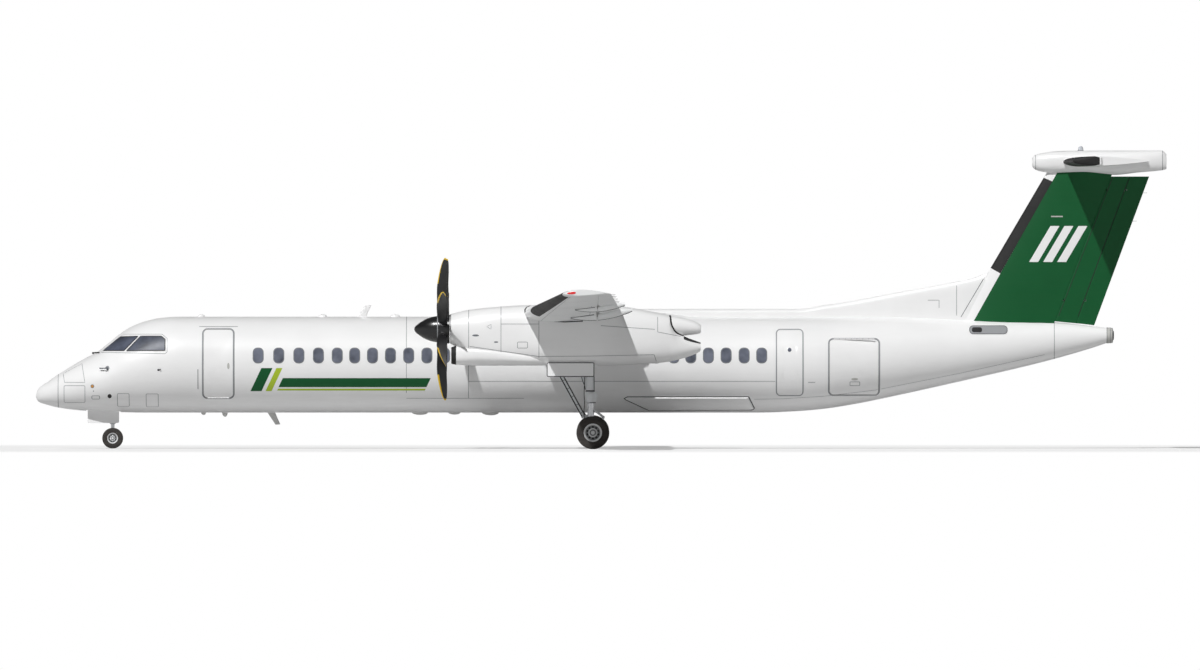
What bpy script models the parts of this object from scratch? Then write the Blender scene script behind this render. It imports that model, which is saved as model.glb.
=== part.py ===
"""Twin turboprop airliner with a high wing and a T tail, in metres.

X runs from the nose (-X) to the tail (+X), +Y is the right side, +Z is up,
and z = 0 is the ground under the tyres.
"""
import math

import bmesh
import bpy
from mathutils import Matrix, Vector

# Gaps between solids
SEAT_GAP = 0.0004
DOOR_GAP = 0.006
SURFACE_GAP = 0.010
SLIVER = 0.00003

SIDES = ((-1, "left"), (1, "right"))

# Fuselage
NOSE_X = -16.406
RADOME_BACK_X = -15.754
FULL_BODY_X = -12.1
TAPER_X = 5.5
CONE_FRONT_X = 13.144
CONE_END_X = 14.668
CONE_CAP_X = 14.836
BODY_RADIUS = 1.392
BODY_AXIS_Z = 2.434
CONE_END_RADIUS = 0.225
NOSE_BLUNTNESS = 0.6
BODY_SIDES = 24
SKIN_DEPTH = 0.09
GLASS_DEPTH = 0.03
CROWN = [
    (NOSE_X, 1.575), (-16.36, 1.70), (-16.29, 1.785), (-16.116, 1.901), (-15.768, 2.148),
    (-15.071, 2.569), (-14.549, 2.859), (-14.375, 3.004), (-13.852, 3.410), (-13.504, 3.599),
    (-13.155, 3.715), (-12.807, 3.788), (-12.285, 3.826), (8.0, 3.826), (10.412, 3.741),
    (CONE_FRONT_X, 3.662), (CONE_END_X, 3.503),
]
BELLY = [
    (NOSE_X, 1.495), (-16.36, 1.385), (-16.29, 1.335), (-16.116, 1.277), (-15.768, 1.190),
    (-15.071, 1.103), (-14.2, 1.062), (-13.2, 1.042), (4.6, 1.042), (5.623, 1.080),
    (6.494, 1.155), (7.365, 1.292), (8.236, 1.466), (10.848, 2.046), (12.589, 2.453),
    (13.46, 2.685), (14.331, 2.946), (CONE_END_X, 3.062),
]
RADOME_STATIONS = [NOSE_X, -16.36, -16.29, -16.116, -15.942, RADOME_BACK_X]
BODY_STATIONS = [
    RADOME_BACK_X + SEAT_GAP, -15.42, -15.071, -14.723, -14.375, -14.026, -13.678, -13.33,
    -12.98, -12.6, FULL_BODY_X, -3.0, 4.6, 5.623, 6.494, 7.365, 8.236, 9.106,
    9.977, 10.848, 11.718, 12.4, CONE_FRONT_X,
]
CONE_STATIONS = [CONE_FRONT_X + SEAT_GAP, 13.6, 14.15, CONE_END_X]

# Flight deck glass, as side view corners
WINDSHIELD = [(-14.44, 2.846), (-13.955, 3.235), (-13.44, 3.252), (-13.832, 2.846)]
SIDE_WINDOW = [(-13.747, 2.838), (-13.35, 3.252), (-12.752, 3.252), (-12.646, 3.168), (-12.646, 2.85)]

# Doors as front x, rear x, sill z and head z
AIRSTAIR = (-11.532, -10.664, 1.475, 3.456)
AFT_PASSENGER = (5.076, 5.846, 1.54, 3.456)
AFT_BAGGAGE = (6.61, 8.044, 1.562, 3.172)
AFT_SERVICE = (5.076, 5.846, 1.60, 3.35)
FORWARD_EXIT = (-10.16, -9.58, 1.95, 3.20)
FORWARD_BAGGAGE = (-11.62, -10.58, 1.56, 2.90)
DOOR_CORNER = 0.12
HINGE_CORNER = 0.05
HINGE_RADIUS = 0.022
RELIEF_SLACK = 0.014
RELIEF_STEPS = 8
RELIEF_LIP = 0.02
HINGE_SIDES = 8

# Aerials and jacking pads on the fuselage
TOP_ANTENNA = [(-7.08, 3.80), (-6.852, 4.156), (-6.674, 4.156), (-6.84, 3.80)]
BOTTOM_ANTENNA = [(-9.70, 1.06), (-9.47, 1.06), (-9.315, 0.70), (-9.453, 0.69)]
JACK_PAD_X = (-12.4,)

# Lower side fairings
BELLY_FAIRING = [(0.69, 1.452), (0.76, 1.489), (4.265, 1.489), (4.424, 1.176), (4.36, 1.155),
                 (1.372, 1.143)]
FAIRING_DEPTH = 0.045

# Wing
HALF_SPAN = 14.21
PANEL_BREAK_Y = 5.15
ROOT_CHORD = 2.79
ROOT_LEAD = (-2.20, 3.913)
ROOT_TRAIL_Z = 3.955
ROOT_THICKNESS = 0.178
TIP_LEAD = (-1.07, 4.470)
TIP_CHORD = 1.333
TIP_TRAIL_Z = 4.478
TIP_THICKNESS = 0.148
TIP_CAMBER = 0.02
FLAP_START = 0.72
AILERON_START = 0.76
INNER_FLAP = (1.50, 3.66)
OUTER_FLAP = (5.16, 9.80)
AILERON = (9.86, 13.90)
AILERON_LUGS = (10.7, 13.1)
TRACK_INNER = (2.58, -0.95, 0.80, 0.10)
TRACK_MIDDLE = (6.30, -0.90, 0.89, 0.10)
TRACK_OUTER = (9.20, -0.77, 0.68, 0.08)
TRACK_HALF_WIDTH = 0.085
BARREL_RADIUS = 0.03
BARREL_HALF_WIDTH = 0.055
LUG_WIDTH = 0.05
LUG_RADIUS = 0.022
LUG_REACH = 0.25
WING_FAIRING = [(-3.55, 3.80, 0.60), (-3.1, 3.93, 0.95), (-2.5, 4.08, 1.18), (-2.0, 4.15, 1.27),
                (-0.5, 4.16, 1.30), (0.6, 4.12, 1.25), (1.4, 3.99, 1.05), (2.3, 3.88, 0.70),
                (3.0, 3.78, 0.45)]
FAIRING_SIDES = 11

# Nacelles and power plants
NACELLE_Y = 4.40
SHAFT_Z = 3.463
NACELLE_FRONT_X = -4.355
NACELLE_TAIL_X = 2.868
NACELLE_TOP = [
    (NACELLE_FRONT_X, 3.893), (-3.84, 4.017), (-2.88, 4.116), (-2.18, 4.155), (0.46, 4.165),
    (0.68, 4.107), (1.12, 4.023), (1.65, 3.915), (1.975, 3.842), (2.02, 3.70), (2.17, 3.40),
    (2.42, 3.242), (NACELLE_TAIL_X, 3.072),
]
NACELLE_BOTTOM = [
    (NACELLE_FRONT_X, 3.045), (-4.15, 2.93), (-3.84, 2.60), (-3.4, 2.412), (0.0, 2.412),
    (1.12, 2.453), (1.84, 2.508), (2.31, 2.604), (2.72, 2.749), (NACELLE_TAIL_X, 2.83),
]
NACELLE_HALF_WIDTH = [
    (NACELLE_FRONT_X, 0.424), (-3.84, 0.54), (-3.2, 0.60), (-2.2, 0.63), (0.2, 0.63),
    (1.2, 0.56), (2.0, 0.43), (NACELLE_TAIL_X, 0.14),
]
NACELLE_STATIONS = [
    NACELLE_FRONT_X, -4.1, -3.84, -3.3, -2.18, 0.46, 0.85, 1.65, 1.975, 2.02, 2.17, 2.42,
    NACELLE_TAIL_X,
]
NACELLE_SIDES = 16
INTAKE_FRONT_X = -4.325
INTAKE_BACK_X = -3.1
INTAKE_HEIGHT = (2.462, 2.935)
INTAKE_HALF_WIDTH = 0.33
INTAKE_DEPTH = 0.40
ENGINE_SIZE = (2.42, 0.77, 1.10)
ENGINE_FRONT_X = -3.72
ENGINE_TOP_Z = 3.655
SHAFT_RADIUS = 0.09
MOUTH_RADIUS = 0.26
JET_PIPE = [(1.55, 3.56, 0.29, 0.275), (2.0, 3.555, 0.29, 0.282), (2.55, 3.545, 0.26, 0.262),
            (2.80, 3.53, 0.225, 0.215), (2.88, 3.52, 0.19, 0.165)]
JET_PIPE_WALL = 0.03

# Propellers
PROPELLER_X = -4.564
PROPELLER_RADIUS = 2.055
BLADE_COUNT = 6
BLADE_SIDES = 6
SPINNER_SIDES = 16
HUB_RADIUS = 0.23
HUB_FRONT_X = -4.80
HUB_BACK_X = -4.395
SPINNER_BACK_X = -4.375
SPINNER_PROFILE = [(-5.404, 0.0), (-5.385, 0.055), (-5.33, 0.118), (-5.21, 0.205),
                   (-5.04, 0.302), (-4.86, 0.36), (-4.66, 0.39), (SPINNER_BACK_X, 0.42)]
BLADE_CHORD = [(0.2, 0.17), (0.42, 0.27), (0.8, 0.365), (1.25, 0.41), (1.65, 0.38), (1.93, 0.28),
               (PROPELLER_RADIUS, 0.10)]
BLADE_PITCH = [(0.2, 70), (0.42, 66), (0.8, 54), (1.25, 43), (1.65, 36), (PROPELLER_RADIUS, 27)]
BLADE_THICKNESS = [(0.2, 0.55), (0.42, 0.34), (0.8, 0.15), (1.25, 0.09), (PROPELLER_RADIUS, 0.06)]
BLADE_SWEEP = [(0.2, 0.0), (1.2, -0.035), (1.7, 0.01), (PROPELLER_RADIUS, 0.06)]
BLADE_STATIONS = [0.3, 0.6, 1.0, 1.4, 1.8, PROPELLER_RADIUS]

# Tail
FIN_BASE_Z = 3.72
FIN_TOP_Z = 7.955
FIN_LEAD_X = (10.41, 12.90)
RUDDER_HINGE_X = (13.215, 14.865)
TRAIL_HINGE_X = (13.84, 15.40)
RUDDER_END_X = (14.36, 15.925)
FIN_THICKNESS = (0.46, 0.32)
RUDDER_TOP_Z = 7.895
RUDDER_LUGS = (4.30, 7.50)
TRAIL_LUGS = (4.30, 7.50)
RUDDER_FOOT_GAP = 0.03
DORSAL_TOP = [(0.75, 4.045), (1.4, 4.05), (5.77, 4.05), (6.494, 4.165), (6.93, 4.223),
              (8.672, 4.542), (10.3, 4.84), (10.865, 4.963), (11.13, 5.08)]
DORSAL_STATIONS = [0.75, 3.2, 5.77, 6.494, 6.93, 8.672, 10.3, 10.865, 11.13]
DORSAL_HALF_WIDTH = [(0.75, 0.30), (3.0, 0.22), (7.0, 0.16), (11.13, 0.13)]
TAILPLANE_HALF_SPAN = 4.635
TAILPLANE_Z = 8.316
TAILPLANE_ROOT = (13.385, 2.485)
TAILPLANE_TIP = (13.62, 2.22)
TAILPLANE_THICKNESS = 0.12
ELEVATOR_HINGE_X = 14.435
ELEVATOR_INNER_Y = 0.40
BULLET_SIDES = 12
BULLET_STATIONS = [
    (12.508, 8.19, 8.42, 0.10), (12.56, 8.12, 8.50, 0.17), (12.75, 8.04, 8.565, 0.24),
    (13.28, 7.985, 8.635, 0.31), (14.0, 8.002, 8.648, 0.33), (14.88, 7.94, 8.649, 0.31),
    (15.6, 8.01, 8.649, 0.26), (16.28, 8.075, 8.649, 0.17), (16.406, 8.11, 8.54, 0.12),
]
BEACON = (13.915, 8.64, 8.78, 0.085)

# Landing gear
MAIN_AXLE_X = -0.242
MAIN_AXLE_Z = 0.476
MAIN_TYRE_RADIUS = 0.476
MAIN_TYRE_WIDTH = 0.235
MAIN_WHEEL_Y = 0.235
MAIN_RIM_RADIUS = 0.255
MAIN_AXLE_RADIUS = 0.055
NOSE_GEAR_X = -14.18
NOSE_TYRE_RADIUS = 0.30
NOSE_TYRE_WIDTH = 0.17
NOSE_WHEEL_Y = 0.155
NOSE_RIM_RADIUS = 0.15
NOSE_AXLE_RADIUS = 0.035
NOSE_BAY = (-14.95, -13.95, 0.24, 1.38)
NOSE_LEG_RADIUS = 0.075
NOSE_SLEEVE_Z = 0.78
TYRE_SIDES = 18
ROD_SIDES = 8
JET_PIPE_SIDES = 12
TRACK_SIDES = 8
LEG_X = -0.33
MAIN_JACK_Z = 0.30
MAIN_DOOR = (-1.58, -0.193, 2.08, 2.512)
MAIN_WELL = (-1.36, -0.10, 0.24, 2.66)
DOOR_BRIDGE_X = -1.42
NOSE_DOOR_Z = 0.74


def material(name, colour, roughness, metallic=0.0):
    """A Principled material."""
    made = bpy.data.materials.new(name)
    made.use_nodes = True
    shader = made.node_tree.nodes["Principled BSDF"]
    shader.inputs["Base Color"].default_value = (*colour, 1.0)
    shader.inputs["Roughness"].default_value = roughness
    shader.inputs["Metallic"].default_value = metallic
    return made


def add_object(name, mesh, group):
    """A new object in a collection."""
    made = bpy.data.objects.new(name, mesh)
    group.objects.link(made)
    return made


def finish(piece, paint, pivot=None):
    """Gives a piece its own copy of a paint, smooth shading with sharp edges, and its origin on its axis."""
    if pivot is not None:
        piece.data.transform(Matrix.Translation(-Vector(pivot)))
        piece.location = pivot
    own = paint.copy()
    own.name = piece.name
    piece.data.materials.clear()
    piece.data.materials.append(own)
    piece.data.shade_smooth()
    piece.data.set_sharp_from_angle(angle=math.radians(35))
    return piece


def cutter(piece):
    """Marks an object as a guide that is no part of the aeroplane."""
    for group in list(piece.users_collection):
        group.objects.unlink(piece)
    cutters.objects.link(piece)
    piece.hide_render = True
    piece.display_type = "WIRE"
    return piece


def mesh_from(working, name):
    """Closes a working mesh, points its faces outward and stores it."""
    bmesh.ops.recalc_face_normals(working, faces=working.faces)
    mesh = bpy.data.meshes.new(name)
    working.to_mesh(mesh)
    working.free()
    return mesh


def is_flat(corners):
    """Whether four corners lie in one plane."""
    a, b, c, d = (corner.co for corner in corners)
    return abs((b - a).cross(c - a).dot(d - a)) < 1e-7


def loft(name, rings):
    """A solid skin over rings of equal count, with flat end faces."""
    working = bmesh.new()
    rows = [[working.verts.new(point) for point in ring] for ring in rings]
    for row, following in zip(rows, rows[1:]):
        for index in range(len(row)):
            after = (index + 1) % len(row)
            a, b, c, d = row[index], row[after], following[after], following[index]
            for corners in [(a, b, c, d)] if is_flat((a, b, c, d)) else [(a, b, c), (a, c, d)]:
                working.faces.new(corners)
    working.faces.new(rows[0])
    working.faces.new(rows[-1])
    return add_object(name, mesh_from(working, name), aircraft)


def box(name, low, high):
    """A box between two corners."""
    working = bmesh.new()
    size = Vector(high) - Vector(low)
    middle = (Vector(high) + Vector(low)) / 2
    place = Matrix.Translation(middle) @ Matrix.Diagonal((*size, 1.0))
    bmesh.ops.create_cube(working, size=1.0, matrix=place)
    return add_object(name, mesh_from(working, name), aircraft)


def along(start, end):
    """A matrix that puts local Z from one point towards another, centred between them."""
    direction = Vector(end) - Vector(start)
    turn = direction.to_track_quat("Z", "Y").to_matrix().to_4x4()
    return Matrix.Translation((Vector(start) + Vector(end)) / 2) @ turn


def rod(name, start, end, radius, sides=12, end_radius=None):
    """A round rod between two points."""
    working = bmesh.new()
    length = (Vector(end) - Vector(start)).length
    bmesh.ops.create_cone(
        working, cap_ends=True, segments=sides, radius1=radius,
        radius2=radius if end_radius is None else end_radius, depth=length,
        matrix=along(start, end))
    return add_object(name, mesh_from(working, name), aircraft)


def plate(name, outline, low, high):
    """A flat outline, given in XZ, as thick as low to high along Y."""
    curve = bpy.data.curves.new(name, "CURVE")
    curve.dimensions = "2D"
    curve.fill_mode = "BOTH"
    curve.extrude = (high - low) / 2
    spline = curve.splines.new("POLY")
    spline.points.add(len(outline) - 1)
    for point, corner in zip(spline.points, outline):
        point.co = (corner[0], corner[1], 0, 1)
    spline.use_cyclic_u = True
    holder = add_object(name, curve, aircraft)
    bpy.context.view_layer.update()
    mesh = bpy.data.meshes.new_from_object(holder.evaluated_get(bpy.context.evaluated_depsgraph_get()))
    bpy.data.objects.remove(holder)
    bpy.data.curves.remove(curve)
    working = bmesh.new()
    working.from_mesh(mesh)
    bpy.data.meshes.remove(mesh)
    bmesh.ops.remove_doubles(working, verts=working.verts, dist=0.0001)
    middle = (low + high) / 2
    place = Matrix.Translation((0, middle, 0)) @ Matrix.Rotation(math.pi / 2, 4, "X")
    bmesh.ops.transform(working, matrix=place, verts=working.verts)
    return add_object(name, mesh_from(working, name), aircraft)


def rounded(low_x, high_x, low_z, high_z, radius, steps=2):
    """Corners of a rectangle with round corners."""
    corners = [(high_x - radius, high_z - radius, 0), (low_x + radius, high_z - radius, 90),
               (low_x + radius, low_z + radius, 180), (high_x - radius, low_z + radius, 270)]
    outline = []
    for x, z, start in corners:
        for step in range(steps + 1):
            angle = math.radians(start + 90 * step / steps)
            outline.append((x + radius * math.cos(angle), z + radius * math.sin(angle)))
    return outline


def turned(name, profile, sides, centre, axis="X"):
    """A solid turned from a profile of (distance along the axis, radius) points."""
    curve = bpy.data.meshes.new(name)
    points = [(radius, 0, reach) for reach, radius in profile]
    curve.from_pydata(points, [(i, i + 1) for i in range(len(points) - 1)], [])
    piece = add_object(name, curve, aircraft)
    screw = piece.modifiers.new("turn", "SCREW")
    screw.steps = sides
    screw.render_steps = sides
    screw.use_merge_vertices = True
    screw.merge_threshold = 0.0001
    bpy.context.view_layer.update()
    graph = bpy.context.evaluated_depsgraph_get()
    mesh = bpy.data.meshes.new_from_object(piece.evaluated_get(graph))
    bpy.data.objects.remove(piece)
    bpy.data.meshes.remove(curve)
    working = bmesh.new()
    working.from_mesh(mesh)
    bpy.data.meshes.remove(mesh)
    bmesh.ops.remove_doubles(working, verts=working.verts, dist=0.0001)
    turn = {"X": Matrix.Rotation(math.pi / 2, 4, "Y"), "Y": Matrix.Rotation(-math.pi / 2, 4, "X"),
            "Z": Matrix.Identity(4)}[axis]
    bmesh.ops.transform(working, matrix=Matrix.Translation(centre) @ turn, verts=working.verts)
    return add_object(name, mesh_from(working, name), aircraft)


def boolean(piece, other, operation):
    """Cuts, joins or keeps the common part, and stores the result in the piece."""
    change = piece.modifiers.new("shape", "BOOLEAN")
    change.operation = operation
    change.object = other
    bpy.context.view_layer.update()
    graph = bpy.context.evaluated_depsgraph_get()
    mesh = bpy.data.meshes.new_from_object(piece.evaluated_get(graph))
    piece.modifiers.clear()
    working = bmesh.new()
    working.from_mesh(mesh)
    bmesh.ops.dissolve_degenerate(working, dist=SLIVER, edges=working.edges)
    working.to_mesh(mesh)
    working.free()
    old = piece.data
    piece.data = mesh
    bpy.data.meshes.remove(old)
    mesh.name = piece.name
    return piece


def cut(piece, *others):
    for other in others:
        boolean(piece, other, "DIFFERENCE")
        bpy.data.objects.remove(other)
    return piece


def join(piece, *others):
    for other in others:
        boolean(piece, other, "UNION")
        bpy.data.objects.remove(other)
    return piece


def keep(piece, other):
    boolean(piece, other, "INTERSECT")
    bpy.data.objects.remove(other)
    return piece


def copy_of(piece, name, grow=0.0):
    """A copy of a solid, swollen along its normals."""
    working = bmesh.new()
    working.from_mesh(piece.data)
    working.normal_update()
    moves = [(vert, vert.normal.copy()) for vert in working.verts]
    for vert, normal in moves:
        vert.co += normal * grow
    return cutter(add_object(name, mesh_from(working, name), aircraft))


def eased(line, x):
    """The value at x on a smooth line through (x, value) points, with no overshoot."""
    if x <= line[0][0]:
        return line[0][1]
    if x >= line[-1][0]:
        return line[-1][1]
    slopes = [(b[1] - a[1]) / (b[0] - a[0]) for a, b in zip(line, line[1:])]

    def tangent(index):
        if index == 0 or index == len(slopes):
            return slopes[min(index, len(slopes) - 1)]
        before, after = slopes[index - 1], slopes[index]
        return 0.0 if before * after <= 0 else 2 * before * after / (before + after)

    index = max(k for k in range(len(slopes)) if line[k][0] <= x)
    (x0, v0), (x1, v1) = line[index], line[index + 1]
    width = x1 - x0
    t = (x - x0) / width
    return ((2 * t**3 - 3 * t**2 + 1) * v0 + (t**3 - 2 * t**2 + t) * width * tangent(index)
            + (3 * t**2 - 2 * t**3) * v1 + (t**3 - t**2) * width * tangent(index + 1))


def mix(pair, t):
    return pair[0] + (pair[1] - pair[0]) * t


def signed_power(value, power):
    return math.copysign(abs(value) ** power, value)


def oval(x, y, z, half_width, half_height, sides, top_power=2.0, bottom_power=2.0):
    """A ring across X: a superellipse with its own power above and below its middle."""
    ring = []
    for index in range(sides):
        angle = 2 * math.pi * index / sides
        power = 2.0 / (top_power if math.cos(angle) > 0 else bottom_power)
        ring.append((x, y + half_width * signed_power(math.sin(angle), power),
                     z + half_height * signed_power(math.cos(angle), power)))
    return ring


def body_half_width(x):
    """Half the width of the fuselage."""
    if x < FULL_BODY_X:
        reach = max(0.0, (x - NOSE_X) / (FULL_BODY_X - NOSE_X))
        return max(0.04, BODY_RADIUS * math.sin(math.pi / 2 * reach) ** NOSE_BLUNTNESS)
    if x > TAPER_X:
        reach = (x - TAPER_X) / (CONE_END_X - TAPER_X)
        return BODY_RADIUS - (BODY_RADIUS - CONE_END_RADIUS) * reach**1.25
    return BODY_RADIUS


def body_ring(x, grow=0.0):
    """The fuselage's section at x, swollen or shrunk by grow."""
    top, bottom = eased(CROWN, x), eased(BELLY, x)
    peak = 2.0 - 0.3 * max(0.0, 1 - abs(x + 14.1) / 1.5)
    return oval(x, 0, (top + bottom) / 2, body_half_width(x) + grow, (top - bottom) / 2 + grow,
                BODY_SIDES, peak)


def body_loft(name, grow=0.0):
    return loft(name, [body_ring(x, grow) for x in BODY_STATIONS])


def side_prism(name, outline, side):
    """A prism through one side of the fuselage, from a side view outline."""
    return plate(name, outline, *sorted((side * 0.02, side * 2.0)))


def spread(outline, gap):
    """An outline moved outward by a gap, for an outline that is star shaped about its middle."""
    centre = Vector((sum(p[0] for p in outline), sum(p[1] for p in outline))) / len(outline)
    count = len(outline)
    moved = []
    for index, corner in enumerate(outline):
        here = Vector(corner)
        before = (here - Vector(outline[index - 1])).normalized()
        after = (Vector(outline[(index + 1) % count]) - here).normalized()
        sides = [Vector((edge.y, -edge.x)) for edge in (before, after)]
        out = [side if side.dot(here - centre) > 0 else -side for side in sides]
        bisector = (out[0] + out[1]).normalized()
        moved.append(tuple(here + bisector * gap / max(0.3, bisector.dot(out[0]))))
    return moved


def pocket_outline(door, hinge_z):
    """The outline of a hinged door's opening: tighter corners at the hinge give the edge room to turn."""
    wide, tight = rounded(*door, DOOR_CORNER), rounded(*door, HINGE_CORNER)
    half = len(wide) // 2
    return wide[:half] + tight[half:] if abs(hinge_z - door[2]) < DOOR_GAP else tight[:half] + wide[half:]


def skin_patch(hull, name, outline, side, depth, gap, opening=None):
    """A panel of the fuselage's skin, and the pocket that it leaves in the fuselage."""
    patch = body_loft(name)
    keep(patch, side_prism("outline", outline, side))
    cut(patch, body_loft("inner", -depth))
    pocket = side_prism("pocket", spread(opening or outline, gap), side)
    cut(pocket, body_loft("inner", -depth - gap))
    cut(hull, pocket)
    return patch


def skin_point(x, z, side):
    """The point of the fuselage's skin at x and z."""
    top, bottom = eased(CROWN, x), eased(BELLY, x)
    rise = (z - (top + bottom) / 2) / ((top - bottom) / 2)
    return Vector((x, side * body_half_width(x) * math.sqrt(1 - rise**2), z))


def hinge_line(door, z, side):
    """The ends of a door's hinge, just outside the skin at its sill or head."""
    ends = []
    for x in (door[0] + DOOR_CORNER, door[1] - DOOR_CORNER):
        ends.append(skin_point(x, z, side))
    reach = max(abs(ends[0].y), abs(ends[1].y))
    for end in ends:
        end.y = side * reach
    return ends


def swing_relief(door, pivot, side):
    """The space behind the skin that a door's hinged edge sweeps as the door opens."""
    reach = 0.0
    for x in door[:2]:
        top, bottom = eased(CROWN, x), eased(BELLY, x)
        rise = (pivot.z - (top + bottom) / 2) / ((top - bottom) / 2 - SKIN_DEPTH)
        inner_y = (body_half_width(x) - SKIN_DEPTH) * math.sqrt(1 - rise**2)
        reach = max(reach, abs(pivot.y) - inner_y + RELIEF_SLACK)
    into_door = 1 if abs(pivot.z - door[2]) < DOOR_GAP else -1
    section = [(pivot.y - side * reach, -0.01), (pivot.y + side * reach, -0.01)]
    for turn in range(RELIEF_STEPS + 1):
        angle = math.pi * turn / RELIEF_STEPS
        section.append((pivot.y + side * reach * math.cos(angle), reach * math.sin(angle)))
    rings = [[(x, y, pivot.z + into_door * rise) for y, rise in section]
             for x in (door[0] - DOOR_GAP - 0.01, door[1] + DOOR_GAP + 0.01)]
    relief = loft("relief", rings)
    keep(relief, body_loft("lip", -RELIEF_LIP))
    return relief


def hinged_door(hull, name, door, side, hinge_z):
    """A door with a round hinge barrel that lies in a groove of the fuselage."""
    outline, opening = rounded(*door, DOOR_CORNER), pocket_outline(door, hinge_z)
    patch = skin_patch(hull, name, outline, side, SKIN_DEPTH, DOOR_GAP, opening)
    start, end = hinge_line(door, hinge_z, side)
    cut(hull, swing_relief(door, start, side))
    join(patch, rod("barrel", start, end, HINGE_RADIUS, HINGE_SIDES))
    slack, room = Vector((SEAT_GAP, 0, 0)), groove_radius(HINGE_RADIUS, HINGE_SIDES)
    cut(hull, rod("groove", start - slack, end + slack, room, HINGE_SIDES))
    return finish(patch, white, start)


def fixed_door(hull, name, door, side):
    """A door that fills its frame, with no joint."""
    return finish(skin_patch(hull, name, rounded(*door, DOOR_CORNER), side, SKIN_DEPTH, SEAT_GAP), white)


def foil_half(u, thickness):
    """Half the thickness of an aerofoil of chord 1 at u."""
    return 5 * thickness * (0.2969 * math.sqrt(u) - 0.126 * u - 0.3516 * u**2 + 0.2843 * u**3
                            - 0.1015 * u**4)


class Surface:
    """A straight tapered aerofoil between two stations, with its thickness along across."""

    def __init__(self, leads, trails, thickness, camber, across):
        self.leads = [Vector(point) for point in leads]
        self.trails = [Vector(point) for point in trails]
        self.thickness = thickness
        self.camber = camber
        self.across = Vector(across)

    def chord(self, t):
        lead = self.leads[0].lerp(self.leads[1], t)
        return (self.trails[0].lerp(self.trails[1], t) - lead).length

    def point(self, t, u, height=0.0):
        """The point at part u of the chord, raised by a part of the chord."""
        lead = self.leads[0].lerp(self.leads[1], t)
        trail = self.trails[0].lerp(self.trails[1], t)
        return lead.lerp(trail, u) + self.across * height * (trail - lead).length

    def height(self, t, u, side):
        """The height of the upper (1) or lower (-1) skin in parts of the chord."""
        u = min(1.0, max(0.0, u))
        return 4 * mix(self.camber, t) * u * (1 - u) + side * foil_half(u, mix(self.thickness, t))

    def part_at(self, t, x):
        """The part of the chord that lies at x."""
        lead, trail = self.point(t, 0).x, self.point(t, 1).x
        return (x - lead) / (trail - lead)

    def skin(self, t, start=0.0, end=1.0, points=6, fullness=1.0):
        """A closed section from start to end of the chord, with a round nose if start is inside."""
        if start > 0:
            steps = [start, start + (end - start) * 0.45, end]
            radius = foil_half(start, mix(self.thickness, t)) * fullness
            middle = self.height(t, start, 0)
            nose = [(start - radius * math.sin(math.pi * i / 4), middle + radius * math.cos(math.pi * i / 4))
                    for i in range(1, 4)]
        else:
            steps = [0.5 * (1 - math.cos(math.pi * i / points)) * end for i in range(1, points + 1)]
            nose = [(0.0, 0.0)]
        top = [(u, self.height(t, u, 1) * fullness) for u in reversed(steps)]
        bottom = [(u, self.height(t, u, -1) * fullness) for u in steps]
        return [self.point(t, *pair) for pair in top + nose + bottom]

    def bay(self, t, start, open_below):
        """A section of the space that a hinged surface with its nose at start needs."""
        radius = foil_half(start, mix(self.thickness, t)) + SURFACE_GAP * 1.6 / self.chord(t)
        middle = self.height(t, start, 0)
        far = 0.35
        first = start - radius if open_below else start - 0.004
        steps = 3 if open_below else 6
        arc = []
        for i in range(steps + 1):
            angle = math.pi - math.pi / 2 * i / steps if open_below else 1.5 * math.pi - math.pi * i / steps
            arc.append((start + radius * math.cos(angle), middle + radius * math.sin(angle)))
        outline = [(1.3, far), (1.3, -far), (first, -far)] + arc + [(arc[-1][0], far)]
        return [self.point(t, *pair) for pair in outline]

    def hinge(self, t, u):
        """A point on the hinge line of a plain surface."""
        return self.point(t, u, self.height(t, u, 0))


def wing_panel(side):
    """The outer wing on one side."""
    root_trail = (ROOT_LEAD[0] + ROOT_CHORD, side * PANEL_BREAK_Y, ROOT_TRAIL_Z)
    tip_trail = (TIP_LEAD[0] + TIP_CHORD, side * HALF_SPAN, TIP_TRAIL_Z)
    leads = [(ROOT_LEAD[0], side * PANEL_BREAK_Y, ROOT_LEAD[1]),
             (TIP_LEAD[0], side * HALF_SPAN, TIP_LEAD[1])]
    return Surface(leads, [root_trail, tip_trail], (ROOT_THICKNESS, TIP_THICKNESS), (0.0, TIP_CAMBER),
                   (0, 0, 1))


def centre_panel(side):
    """The wing between the fuselage's middle and the outer wing."""
    lead, trail = (ROOT_LEAD[0], 0, ROOT_LEAD[1]), (ROOT_LEAD[0] + ROOT_CHORD, 0, ROOT_TRAIL_Z)
    out = Vector((0, side * PANEL_BREAK_Y, 0))
    return Surface([lead, Vector(lead) + out], [trail, Vector(trail) + out],
                   (ROOT_THICKNESS, ROOT_THICKNESS), (0.0, 0.0), (0, 0, 1))


def at_y(panel, y):
    """The part of a panel's span that lies at y."""
    start, end = panel.leads[0].y, panel.leads[1].y
    return (y - start) / (end - start)


def shrunk(ring, amount):
    """A ring drawn in about its own middle."""
    middle = sum(ring, Vector()) / len(ring)
    return [middle + (point - middle) * amount for point in ring]


def fairing_ring(panel, track, x, rear_part):
    """A section of a flap track's fairing at x."""
    y, front, back, depth = track
    t = at_y(panel, y)
    reach = (x - front) / (back - front)
    u = panel.part_at(t, x)
    under = panel.point(t, min(u, 1.0), panel.height(t, u, -1)).z
    fullness = max(0.15, math.sin(math.pi * min(0.96, max(0.04, reach))) ** 0.6)
    bottom = track_base(panel, track, x)
    top = max(under, bottom + 0.05) + (0.03 if rear_part else 0.06)
    return oval(x, y, (top + bottom) / 2, TRACK_HALF_WIDTH * fullness, (top - bottom) / 2, TRACK_SIDES)


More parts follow.
